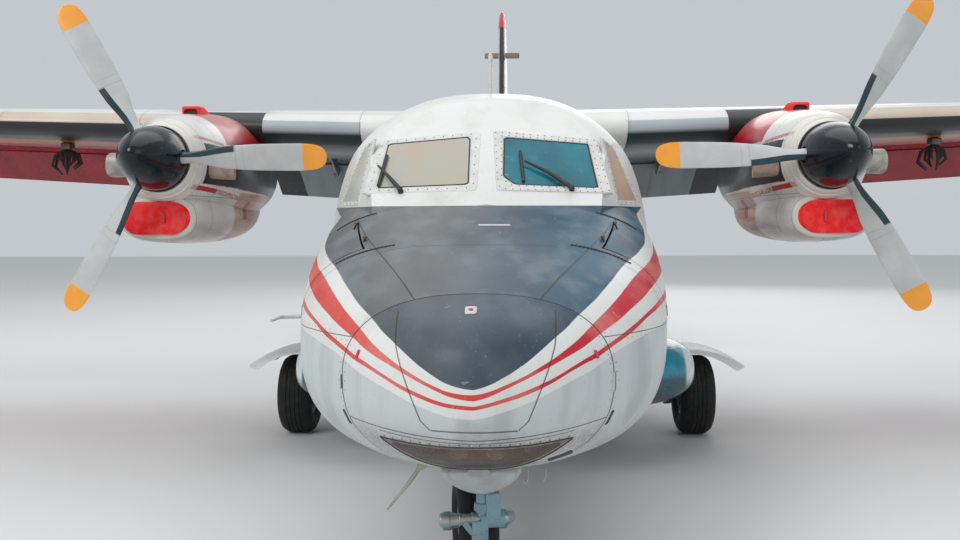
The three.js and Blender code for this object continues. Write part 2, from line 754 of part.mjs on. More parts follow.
// The flap's arm beside the ear at x, and the hole for the pin
function flapArm(x) {
  const axle = onFlapAxis(x);
  const chord = wingChord(x);
  const station = axle.y + LENGTH / 2;
  const outline = [
    [station - 26, axle.z - 22],
    [station + 22, axle.z - 22],
    [station + 0.10 * chord, wingPoint(x, FLAP_START + 0.12).z],
    [station + 0.03 * chord, wingPoint(x, FLAP_START + 0.05).z],
    [station - 26, axle.z + 26],
  ];
  const hole = bar(
    alongFlapAxis(x, -2 * LUG_THICKNESS), alongFlapAxis(x, 3 * LUG_THICKNESS), FLAP_HOLE_RADIUS,
  );
  return { arm: plate(outline, x + LUG_GAP, x + LUG_GAP + LUG_THICKNESS), hole };
}

// A flap's round nose: its centre and radius at a distance from the centre plane
function flapNose(x) {
  const radius = FLAP_NOSE * wingChord(x);
  const centre = wingPoint(x, FLAP_START, CAMBER_LIFT);
  centre.y += radius;
  return { centre, radius };
}

// One flap before it is lowered, with its arms, and the notch it leaves in the wing
function flapPiece(panel, [from, to]) {
  const [a, b] = [flapNose(from), flapNose(to)];
  const blank = panel
    .intersect(sliceBehind(a.centre, b.centre, UP, {}))
    .add(bar(a.centre, b.centre, a.radius, b.radius, 16));
  const notch = sliceBehind(a.centre, b.centre, UP, {
    foreA: a.radius + RUNNING_GAP,
    foreB: b.radius + RUNNING_GAP,
    beyond: RUNNING_GAP,
  });
  const flap = FLAP_HINGES.filter((x) => x > from && x < to)
    .map(flapArm)
    .reduce((body, { arm, hole }) => body.add(arm).subtract(hole), blank);
  return { flap: moved(flap, flapTurn(FLAP_DROP)), notch };
}

function aileronPiece(panel) {
  const [a, b] = AILERON_SPAN.map((x) => wingPoint(x, AILERON_START, CAMBER_LIFT));
  const [radiusA, radiusB] = AILERON_SPAN.map((x) => AILERON_NOSE * wingChord(x));
  return splitAtHinge(panel, a, b, radiusA, radiusB, UP);
}

// Wing panel, flaps and aileron, with the brackets and pins that hold them
function wingSet(panel) {
  const flapPieces = [INNER_FLAP, OUTER_FLAP].map((span) => flapPiece(panel, span));
  const { moving, notch, pins } = aileronPiece(panel);
  const cuts = [notch, ...flapPieces.map((piece) => piece.notch)];
  const trimmed = cuts.reduce((body, cut) => body.subtract(cut), panel);
  const held = [...FLAP_HINGES.map(wingEar), ...pins];
  return {
    wing: held.reduce((body, part) => body.add(part), trimmed),
    flaps: flapPieces.map(({ flap }) => flap),
    aileron: moving,
  };
}

// Engines

// Columns: station, half width, top, bottom, widest height, squareness
const COWLING = [
  [3270, 272, 2655, 2100, 2380, 2.0],
  [3330, 300, 2688, 2070, 2380, 2.1],
  [3550, 355, 2740, 1990, 2360, 2.2],
  [3950, 405, 2800, 1940, 2350, 2.3],
  [4500, 420, 2850, 1930, 2340, 2.4],
  [5200, 370, 2760, 2030, 2380, 2.3],
  [5700, 240, 2700, 2260, 2460, 2.2],
  [5950, 110, 2660, 2420, 2540, 2.0],
];
const INTAKE = [
  [3330, 232, 2110, 1800, 1955, 2.4],
  [3420, 262, 2150, 1776, 1960, 2.5],
  [3900, 330, 2200, 1766, 1990, 2.5],
  [4500, 330, 2200, 1790, 2000, 2.4],
  [5100, 240, 2220, 1900, 2060, 2.2],
  [5500, 90, 2240, 2080, 2160, 2.0],
];
const INTAKE_MOUTH = [[3300, 196, 2078, 1834, 1956, 2.4], [3480, 190, 2072, 1840, 1956, 2.4]];
const PLUG_STATIONS = [3322, 3480];

// Columns: station, half width, top
const TOP_SCOOP = [[3658, 44, 2780], [3678, 46, 2810], [3800, 46, 2822], [3990, 12, 2800]];
const SCOOP_FOOT = 2700;

// A body beside the fuselage from a table of sections, centred at x
function podFrom(table, x, margin = 0) {
  return solid(loft(table.map(([station, halfWidth, top, bottom, widest, square]) => {
    const row = section(
      station, halfWidth + margin, top + margin, bottom - margin, widest, square, square, POD_POINTS,
    );
    row.forEach((p) => { p.x += x; });
    return row;
  })));
}

function engineBar(first, last, radius) {
  return bar(point(ENGINE_X, first, ENGINE_Z), point(ENGINE_X, last, ENGINE_Z), radius, radius, 24);
}

const EXHAUST_STATION = 3620;
const EXHAUST_REACH = 540;
const EXHAUST_RADIUS = 98;

function nacelle(wing) {
  return podFrom(COWLING, ENGINE_X)
    .add(podFrom(INTAKE, ENGINE_X))
    .subtract(engineBar(SHAFT_FRONT, ENGINE_BACK + SEAT_GAP, ENGINE_RADIUS + BAY_GAP))
    .subtract(podFrom(INTAKE_MOUTH, ENGINE_X))
    .subtract(exhaust(1, 2 * SEAT_GAP))
    .subtract(exhaust(-1, 2 * SEAT_GAP))
    .add(topScoop())
    .subtract(wing);
}

function engine() {
  return engineBar(3300, ENGINE_BACK, ENGINE_RADIUS)
    .add(engineBar(SHAFT_FRONT, 3400, SHAFT_RADIUS))
    .add(exhaust(1))
    .add(exhaust(-1));
}

// The red plug fills the intake's mouth and has a small handle
function intakePlug() {
  const [front, back] = PLUG_STATIONS;
  const handle = block([ENGINE_X - 35, ENGINE_X + 35], [front - 20, front + 8], [1948, 1964]);
  const reach = block([ENGINE_X - 400, ENGINE_X + 400], [front, back - SEAT_GAP], [1700, 2200]);
  return podFrom(INTAKE_MOUTH, ENGINE_X, -SEAT_GAP).intersect(reach).add(handle);
}

// An exhaust stub stands out sideways behind the propeller, its mouth open
function exhaust(side, margin = 0) {
  const a = point(ENGINE_X + side * 180, EXHAUST_STATION, 2370);
  const b = point(ENGINE_X + side * EXHAUST_REACH, EXHAUST_STATION + 90, 2385);
  const outside = bar(a, b, EXHAUST_RADIUS + margin, EXHAUST_RADIUS + margin, 20);
  if (margin > 0) return outside;
  const mouth = bar(
    a.clone().lerp(b, 0.6), b.clone().lerp(a, -0.1), EXHAUST_RADIUS - 14, EXHAUST_RADIUS - 8, 20,
  );
  return outside.subtract(mouth);
}

function topScoop() {
  return solid(loft(TOP_SCOOP.map(([station, half, top]) => [
    point(ENGINE_X - half, station, SCOOP_FOOT),
    point(ENGINE_X + half, station, SCOOP_FOOT),
    point(ENGINE_X + half, station, top),
    point(ENGINE_X - half, station, top),
  ])));
}

// Propellers

// Columns: station, radius
const SPINNER_PROFILE = [
  [2700, 0], [2712, 38], [2760, 92], [2850, 150], [2960, 194], [3080, 222], [3170, 230], [3215, 230],
];

function alongEngine(radius, station, angle) {
  return new THREE.Vector3(
    ENGINE_X + radius * Math.cos(angle),
    atStation(station),
    ENGINE_Z + radius * Math.sin(angle),
  );
}

const SOCKET_RADIUS = 58;
const SHANK_RADIUS = 55;
const SHANK_FOOT = 70;
const HUB_RADIUS = 105;
const HUB_FRONT = 2990;
const HUB_BACK = 3210;
const SHAFT_FRONT = 3000;
const BLADE_SIDES = 10;
const PORT_BLADES = [60, 180, 300];
const STARBOARD_BLADES = [0, 120, 240];

function spinner(angles) {
  const rings = SPINNER_PROFILE.map(([station, radius]) => {
    if (radius === 0) return [point(ENGINE_X, station, ENGINE_Z)];
    return Array.from({ length: 24 }, (_, i) => (
      alongEngine(radius, station, (2 * Math.PI * i) / 24)
    ));
  });
  let body = solid(loft(rings)).subtract(engineBar(HUB_FRONT, 3400, HUB_RADIUS + 1));
  for (const degrees of angles) {
    const angle = THREE.MathUtils.degToRad(degrees);
    const foot = alongEngine(SHANK_FOOT - SEAT_GAP, PROPELLER_STATION, angle);
    body = body.subtract(bar(foot, alongEngine(400, PROPELLER_STATION, angle), SOCKET_RADIUS));
  }
  return body;
}

// Columns: radius, half chord, half thickness, blade angle in degrees
const BLADE_SECTIONS = [
  [SHANK_FOOT, SHANK_RADIUS, SHANK_RADIUS, 0],
  [225, SHANK_RADIUS, SHANK_RADIUS, 0],
  [290, 62, 34, 32],
  [420, 88, 22, 30],
  [700, 112, 15, 22],
  [1000, 108, 10, 16],
  [1180, 88, 7, 13],
  [1250, 42, 4, 12],
];

// One blade, its leading edge towards the way it turns
function blade(degrees, turns) {
  const angle = THREE.MathUtils.degToRad(degrees);
  const outward = new THREE.Vector3(Math.cos(angle), 0, Math.sin(angle));
  const ahead = new THREE.Vector3(-Math.sin(angle), 0, Math.cos(angle)).multiplyScalar(turns);
  const aft = new THREE.Vector3(0, 1, 0);
  const rings = BLADE_SECTIONS.map(([radius, halfChord, half, pitch]) => {
    const tilt = THREE.MathUtils.degToRad(pitch);
    const edge = ahead.clone().multiplyScalar(Math.cos(tilt)).addScaledVector(aft, -Math.sin(tilt));
    const face = ahead.clone().multiplyScalar(Math.sin(tilt)).addScaledVector(aft, Math.cos(tilt));
    const centre = alongEngine(0, PROPELLER_STATION, 0).addScaledVector(outward, radius);
    return Array.from({ length: BLADE_SIDES }, (_, i) => {
      const t = (2 * Math.PI * i) / BLADE_SIDES;
      return centre.clone()
        .addScaledVector(edge, halfChord * Math.cos(t))
        .addScaledVector(face, half * Math.sin(t));
    });
  });
  return solid(loft(rings));
}

// The hub inside the spinner with its blades, bored for the engine's shaft
function propeller(angles, turns) {
  return angles
    .map((degrees) => blade(degrees, turns))
    .reduce((all, one) => all.add(one), engineBar(HUB_FRONT + SEAT_GAP, HUB_BACK, HUB_RADIUS))
    .subtract(engineBar(2950, 3400, SHAFT_RADIUS + 0.8));
}

// Landing gear

// A ring about the X axis from a closed outline of radius and offset along the axle
function wheelRing(outline, x, station, axleZ) {
  const closed = [...outline, outline[0]].map(([radius, offset]) => (
    new THREE.Vector2(radius, offset)
  ));
  const ring = new THREE.LatheGeometry(closed, WHEEL_SIDES, Math.PI / WHEEL_SIDES);
  ring.rotateZ(-Math.PI / 2);
  ring.translate(x, atStation(station), axleZ);
  return solid(ring);
}

// The axle's height for a tyre that stands on one of its flat sides
function axleHeight(radius) {
  return radius * Math.cos(Math.PI / WHEEL_SIDES);
}

function tyreOutline(radius, width, rimRadius) {
  const half = width / 2;
  return [
    [rimRadius, -0.38 * width],
    [rimRadius + 0.4 * (radius - rimRadius), -half],
    [rimRadius + 0.8 * (radius - rimRadius), -0.45 * width],
    [radius, -0.24 * width],
    [radius, 0.24 * width],
    [rimRadius + 0.8 * (radius - rimRadius), 0.45 * width],
    [rimRadius + 0.4 * (radius - rimRadius), half],
    [rimRadius, 0.38 * width],
  ];
}

function rimOutline(rimRadius, width) {
  const outer = rimRadius - SEAT_GAP;
  return [
    [AXLE_RADIUS + 0.9, -0.30 * width],
    [0.5 * rimRadius, -0.30 * width],
    [0.72 * rimRadius, -0.16 * width],
    [outer - 14, -0.22 * width],
    [outer, -0.37 * width],
    [outer, 0.37 * width],
    [outer - 14, 0.22 * width],
    [0.72 * rimRadius, 0.16 * width],
    [0.5 * rimRadius, 0.30 * width],
    [AXLE_RADIUS + 0.9, 0.30 * width],
  ];
}

// Columns: station, half width, top, bottom, widest height, squareness
const SPONSON = [
  [3700, 120, 640, 560, 600, 2.0],
  [3850, 330, 800, 480, 640, 2.1],
  [4150, 520, 900, 420, 670, 2.3],
  [4550, 600, 945, 395, 690, 2.5],
  [5100, 590, 945, 395, 690, 2.5],
  [5600, 500, 900, 430, 690, 2.4],
  [6100, 330, 820, 520, 690, 2.2],
  [6450, 130, 740, 610, 680, 2.0],
];
const SPONSON_X = 960;
const LEG_KNEE_X = 1500;
const AXLE_START_X = 1545;
const BARREL_Z = 385;

const mainAxleZ = axleHeight(MAIN_TYRE_RADIUS);
const noseAxleZ = axleHeight(NOSE_TYRE_RADIUS);

function mainLeg(margin = 0) {
  const shoulder = point(1300, MAIN_STATION - 200, 640);
  const knee = point(LEG_KNEE_X + 35, MAIN_STATION - 180, 600);
  const foot = point(1572, MAIN_STATION, mainAxleZ);
  const end = point(MAIN_TRACK_HALF + 0.30 * MAIN_TYRE_WIDTH, MAIN_STATION, mainAxleZ);
  const start = point(AXLE_START_X, MAIN_STATION, mainAxleZ);
  const axleRadius = AXLE_RADIUS + margin;
  return bar(shoulder, knee, 62 + margin)
    .add(bar(knee, foot, 55 + margin, 48 + margin))
    .add(bar(start, end, axleRadius, axleRadius, 24));
}

// The fairing on the fuselage side that carries the leg, with a socket for the leg's upper end
function sponson(fuselageSkin) {
  const shoulder = point(1300 - SEAT_GAP, MAIN_STATION - 200, 640);
  const socket = bar(shoulder, point(1700, MAIN_STATION - 166, 572), 64);
  return podFrom(SPONSON, SPONSON_X)
    .subtract(fuselageSkin)
    .subtract(mainLeg(3 * SEAT_GAP))
    .subtract(socket);
}

// The curved cover that stands out over each main wheel
function wheelCover(sponsonSkin) {
  const outline = [[1500, 842], [1640, 868], [1800, 872], [1960, 850], [2090, 800], [2190, 728]];
  const thick = 22;
  const ring = (station, drop, reach) => [
    ...outline.map(([x, z]) => point(1500 + (x - 1500) * reach, station, z - drop)),
    ...outline.slice().reverse().map(([x, z]) => (
      point(1500 + (x - 1500) * reach, station, z - drop - thick)
    )),
  ];
  const rings = [
    ring(MAIN_STATION - 360, 30, 0.86),
    ring(MAIN_STATION - 200, 4, 1),
    ring(MAIN_STATION + 200, 4, 1),
    ring(MAIN_STATION + 360, 30, 0.86),
  ];
  return solid(loft(rings)).subtract(sponsonSkin);
}

// A steered piece is turned about the nose strut's upright axis
function steered(body) {
  const y = atStation(NOSE_STRUT_STATION);
  const turn = new THREE.Matrix4()
    .makeTranslation(0, y, 0)
    .multiply(new THREE.Matrix4().makeRotationZ(NOSE_STEER_AT_REST))
    .multiply(new THREE.Matrix4().makeTranslation(0, -y, 0));
  return moved(body, turn);
}

// The steered lower leg: a column, a cross barrel and two trailing arms that hold the axle
function noseFork() {
  const armX = 0.5 * NOSE_TYRE_WIDTH + 44;
  const cross = (x1, x2, station, z, radius, sides) => (
    bar(point(x1, station, z), point(x2, station, z), radius, radius, sides)
  );
  const columnTop = point(0, NOSE_STRUT_STATION, STRUT_COLLAR - SEAT_GAP);
  const columnFoot = point(0, NOSE_STRUT_STATION, BARREL_Z);
  let body = bar(columnFoot, columnTop, 34)
    .add(cross(-armX - 70, armX + 20, NOSE_STRUT_STATION, BARREL_Z, 40))
    .add(cross(-armX - 20, armX + 20, NOSE_WHEEL_STATION, noseAxleZ, AXLE_RADIUS, 24));
  for (const side of [-1, 1]) {
    const x = side * armX;
    body = body.add(bar(
      point(x, NOSE_STRUT_STATION, BARREL_Z), point(x, NOSE_WHEEL_STATION, noseAxleZ), 36, 30,
    ));
  }
  return body;
}

// Tail

const FIN_THICKNESS = 0.105;
const TAIL_LINE_Z = 3480;
const TAIL_SEMI_SPAN = 3370;
const TAIL_DIHEDRAL = Math.tan(THREE.MathUtils.degToRad(7));
const SIDEWAYS = new THREE.Vector3(1, 0, 0);

// A fin ring at a height: its leading edge and trailing edge stations, and its thickness
function finRing(z, leading, trailing, margin = 0, scale = 1) {
  const chord = trailing - leading;
  return aerofoil(FIN_THICKNESS * scale, 0, (share, height, lift) => (
    point(height * chord + lift, leading + share * chord, z)
  ), margin);
}

// Columns: height, leading edge station, trailing edge station, share of full thickness
const FIN = [
  [2280, 11340, 14300, 0.6],
  [2620, 11560, 14424, 0.68],
  [5560, 13060, 14380, 1.0],
  [5740, 13190, 14340, 0.8],
  [5830, 13420, 14230, 0.3],
];
const RUDDER_HINGE = [[2700, 13480], [5480, 13900]];
const DORSAL_FIN = [[9900, 2700], [11900, 2700], [11900, 3060], [11300, 2900]];

function finSolid(margin = 0) {
  return solid(loft(FIN.map(([z, leading, trailing, scale]) => (
    finRing(z, leading, trailing, margin, scale)
  ))));
}

function finSet(fuselageSkin) {
  const [a, b] = RUDDER_HINGE.map(([z, station]) => point(0, station, z));
  const full = finSolid();
  const { moving, notch, pins } = splitAtHinge(full, a, b, 46, 42, SIDEWAYS);
  const crossbar = block([-300, 300], [12995, 13040], [5105, 5200]);
  let fin = full.subtract(notch).add(plate(DORSAL_FIN, -32, 32)).subtract(fuselageSkin);
  for (const part of [crossbar, ...pins]) fin = fin.add(part);
  return { fin, rudder: moving };
}

function tailRing(x, margin = 0) {
  const share = x / TAIL_SEMI_SPAN;
  const leading = 12330 + 420 * share;
  const chord = 1640 - 690 * share;
  const z = TAIL_LINE_Z + TAIL_DIHEDRAL * x;
  const scale = share > 0.99 ? 0.3 : 1;
  return aerofoil(0.10 * scale, 0, (along, height, lift) => (
    point(x, leading + along * chord, z + height * chord + lift)
  ), margin);
}

const ELEVATOR_SPAN = [330, 3180];

function elevatorHinge(x) {
  const share = x / TAIL_SEMI_SPAN;
  return point(x, 13396 - 60 * share, TAIL_LINE_Z + TAIL_DIHEDRAL * x);
}

function tailplaneSet(fin) {
  const full = solid(loft([tailRing(0), tailRing(TAIL_SEMI_SPAN - 60), tailRing(TAIL_SEMI_SPAN)]));
  const [a, b] = ELEVATOR_SPAN.map(elevatorHinge);
  const { moving, notch, pins } = splitAtHinge(full, a, b, 44, 34, UP);
  const rootRelief = block([-100, ELEVATOR_SPAN[0] + 20], [13440, 14400], [3000, 4000]);
  let tailplane = full.subtract(notch).subtract(rootRelief).subtract(fin);
  for (const pin of pins) tailplane = tailplane.add(pin);
  return { tailplane, elevator: moving };
}

function ventralFin(fuselageSkin) {
  const outline = [[11500, 1500], [13300, 2000], [13450, 1700], [12700, 1420]];
  return plate(outline, -24, 24).subtract(fuselageSkin);
}

// The aerial with a knob that stands on the roof behind the cockpit
function roofAerial(fuselageSkin) {
  const mast = loft([
    [2745, 60], [3060, 26], [3070, 36], [3120, 36], [3130, 18],
  ].map(([z, half]) => [
    point(-12, 3260 - half, z), point(12, 3260 - half, z),
    point(12, 3260 + half, z), point(-12, 3260 + half, z),
  ]));
  return solid(mast).subtract(fuselageSkin);
}

// The whole aircraft

const cabinSkin = solid(fuselage(CABIN, SEAT_GAP));
const tailSkin = solid(fuselage(TAIL, SEAT_GAP));
const wingClearance = wingPanel(SEAT_GAP);
const forward = forwardFuselage();
const { cap, glass } = noseCap();

addNode('nose_cap', cap, CHARCOAL_PAINT);
addNode('landing_light_window', glass, LAMP_GLASS);
addNode('forward_fuselage', forward, WHITE_PAINT);
addNode('centre_fuselage', centreFuselage(wingCentre(SEAT_GAP)), WHITE_PAINT);
addNode('rear_fuselage', rearFuselage(), WHITE_PAINT);
const frontGlass = pane(windscreenPlane, FRONT_PANE, SEAT_GAP - PANE_DEPTH, 0, SEAT_GAP);
const quarterGlass = pane(quarterPlane, QUARTER_PANE, SEAT_GAP - PANE_DEPTH, 0, SEAT_GAP);
addNode('windscreen', frontGlass.add(mirrored(frontGlass)), GLASS);
addPair('quarter_pane', quarterGlass, GLASS);
addPair('locker_door', lockerDoor(), WHITE_PAINT);
addNode('crew_exit_door', exitDoor(), WHITE_PAINT);
addNode('cargo_door', portDoor(CARGO_DOOR, cargoHinges), WHITE_PAINT);
addNode('passenger_door', portDoor(PASSENGER_DOOR, passengerHinges), WHITE_PAINT);
addNode('nose_gear_bulge', chinBulge(), BLUE_GREY_PAINT);

addNode('wing_centre', wingCentre(), WHITE_PAINT);
const { wing, flaps, aileron } = wingSet(wingPanel());
addPair('wing', wing, WHITE_PAINT);
addPair('inner_flap', flaps[0], BLUE_GREY_PAINT);
addPair('outer_flap', flaps[1], BLUE_GREY_PAINT);
addPair('aileron', aileron, WHITE_PAINT);

addPair('nacelle', nacelle(wingClearance), WHITE_PAINT);
addPair('engine', engine(), STEEL);
addPair('intake_plug', intakePlug(), RED_PAINT);

addNode('port_spinner', spinner(PORT_BLADES), NAVY_PAINT);
addNode('starboard_spinner', mirrored(spinner(STARBOARD_BLADES.map((a) => 180 - a))), NAVY_PAINT);
addNode('port_propeller', propeller(PORT_BLADES, 1), BLADE_PAINT);
const starboardBlades = propeller(STARBOARD_BLADES.map((a) => 180 - a), -1);
addNode('starboard_propeller', mirrored(starboardBlades), BLADE_PAINT);

addPair('gear_fairing', sponson(cabinSkin), BLUE_GREY_PAINT);
addPair('main_leg', mainLeg(), STEEL);
addPair('wheel_cover', wheelCover(podFrom(SPONSON, SPONSON_X, SEAT_GAP)), WHITE_PAINT);
const mainTyre = tyreOutline(MAIN_TYRE_RADIUS, MAIN_TYRE_WIDTH, MAIN_RIM_RADIUS);
const mainRim = rimOutline(MAIN_RIM_RADIUS, MAIN_TYRE_WIDTH);
addPair('main_tyre', wheelRing(mainTyre, MAIN_TRACK_HALF, MAIN_STATION, mainAxleZ), RUBBER);
addPair('main_rim', wheelRing(mainRim, MAIN_TRACK_HALF, MAIN_STATION, mainAxleZ), ALLOY);
addNode('nose_strut', noseStrut(), BLUE_GREY_PAINT);
addNode('nose_fork', steered(noseFork()), BLUE_GREY_PAINT);
const noseTyre = tyreOutline(NOSE_TYRE_RADIUS, NOSE_TYRE_WIDTH, NOSE_RIM_RADIUS);
const noseRim = rimOutline(NOSE_RIM_RADIUS, NOSE_TYRE_WIDTH);
addNode('nose_tyre', steered(wheelRing(noseTyre, 0, NOSE_WHEEL_STATION, noseAxleZ)), RUBBER);
addNode('nose_rim', steered(wheelRing(noseRim, 0, NOSE_WHEEL_STATION, noseAxleZ)), ALLOY);

const { fin, rudder } = finSet(tailSkin);
const finClearance = finSolid(SEAT_GAP).add(mirrored(finSolid(SEAT_GAP)));
addNode('fin', fin, WHITE_PAINT);
addNode('rudder', rudder, WHITE_PAINT);
const { tailplane, elevator } = tailplaneSet(finClearance);
addPair('tailplane', tailplane, WHITE_PAINT);
addPair('elevator', elevator, WHITE_PAINT);
addNode('ventral_fin', ventralFin(tailSkin), WHITE_PAINT);
addNode('roof_aerial', roofAerial(cabinSkin), ALLOY);

export default airliner;
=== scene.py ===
"""A twin turboprop commuter airliner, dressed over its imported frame.

Lengths in the tables are millimetres and turn into metres in spot(). A station is the distance aft of
the nose's tip. The frame has +Z up, the nose towards -Y and the port side towards +X.
"""

from __future__ import annotations

import logging
import math
from contextlib import contextmanager
from dataclasses import dataclass
from enum import Enum
from functools import cached_property
from typing import Callable, Iterator, Sequence

import bpy
import numpy as np
from mathutils import Matrix, Vector


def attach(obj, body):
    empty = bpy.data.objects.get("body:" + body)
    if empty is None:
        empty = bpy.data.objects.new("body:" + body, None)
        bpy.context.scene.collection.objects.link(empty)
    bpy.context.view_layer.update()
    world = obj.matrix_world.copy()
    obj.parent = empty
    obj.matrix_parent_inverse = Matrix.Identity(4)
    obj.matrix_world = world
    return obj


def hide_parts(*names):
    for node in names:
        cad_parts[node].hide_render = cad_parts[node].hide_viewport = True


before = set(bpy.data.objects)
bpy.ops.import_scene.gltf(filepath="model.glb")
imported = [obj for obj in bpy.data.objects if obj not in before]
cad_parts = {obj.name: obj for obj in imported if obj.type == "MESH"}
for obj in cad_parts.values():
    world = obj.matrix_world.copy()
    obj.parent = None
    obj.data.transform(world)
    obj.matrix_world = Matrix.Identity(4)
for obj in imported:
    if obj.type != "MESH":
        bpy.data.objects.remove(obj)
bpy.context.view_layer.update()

LOG = logging.getLogger("airliner")
MM = 0.001
LENGTH = 14424.0
SIDES = {"port": 1, "starboard": -1}
BODY = "airframe"
ENGINE_X, ENGINE_Z = 2410.0, 2380.0
BLADE_TURNS = {"port": (60, 180, 300), "starboard": (0, 120, 240)}
SEAM_WELD = 1e-5  # metres between corners that become one
FAN_POINTS = 96  # corners of a cockpit window's outline
AEROFOIL_POINTS = 30  # corners on each surface of an aerofoil
PROBE_STEP = 0.7  # millimetres to each side when a form's slope is taken
SHARE_END = 0.9999  # how near a form's edge a place on it may come
HALVINGS = 36  # steps of the search for a form's front
CURVE_REACH = 4  # the greatest value that a drawn curve takes
PAD_SHARES = (0.985, 0.8, 0.6, 0.4, 0.2, 0.0)

Piece = bpy.types.Object
Points = np.ndarray
Place = Callable[[Points, Points, float], Points]


def spot(x: Points | float, station: Points | float, z: Points | float) -> Points:
    """Points of the row frame in metres, from millimetres.

    Args:
        x: Distances to port of the centre plane.
        station: Distances aft of the nose's tip.
        z: Heights above the ground.

    Returns:
        An array with x, y, z in its last axis.
    """
    spread = np.broadcast_arrays(np.asarray(x, float), np.asarray(station, float) - LENGTH / 2, z)
    return np.stack(spread, axis=-1) * MM


def trail(*places: Sequence[float]) -> Points:
    """Points of a path in metres, each given as x, station and height in millimetres."""
    return spot(*np.array(places, float).T)


def paired(u: Points, v: Points) -> tuple[Points, Points]:
    """Two sets of numbers brought to one shape."""
    return np.broadcast_arrays(np.asarray(u, float), np.asarray(v, float))


def nosed(rear: Points, arc: Points) -> Points:
    """The rear part of a section with its open front closed by a round nose."""
    half = len(rear) // 2
    return np.concatenate([rear[:half], arc, rear[half:]])


class Solid(Enum):
    """What a boolean does with its second solid."""

    CUT = "DIFFERENCE"
    ADD = "UNION"


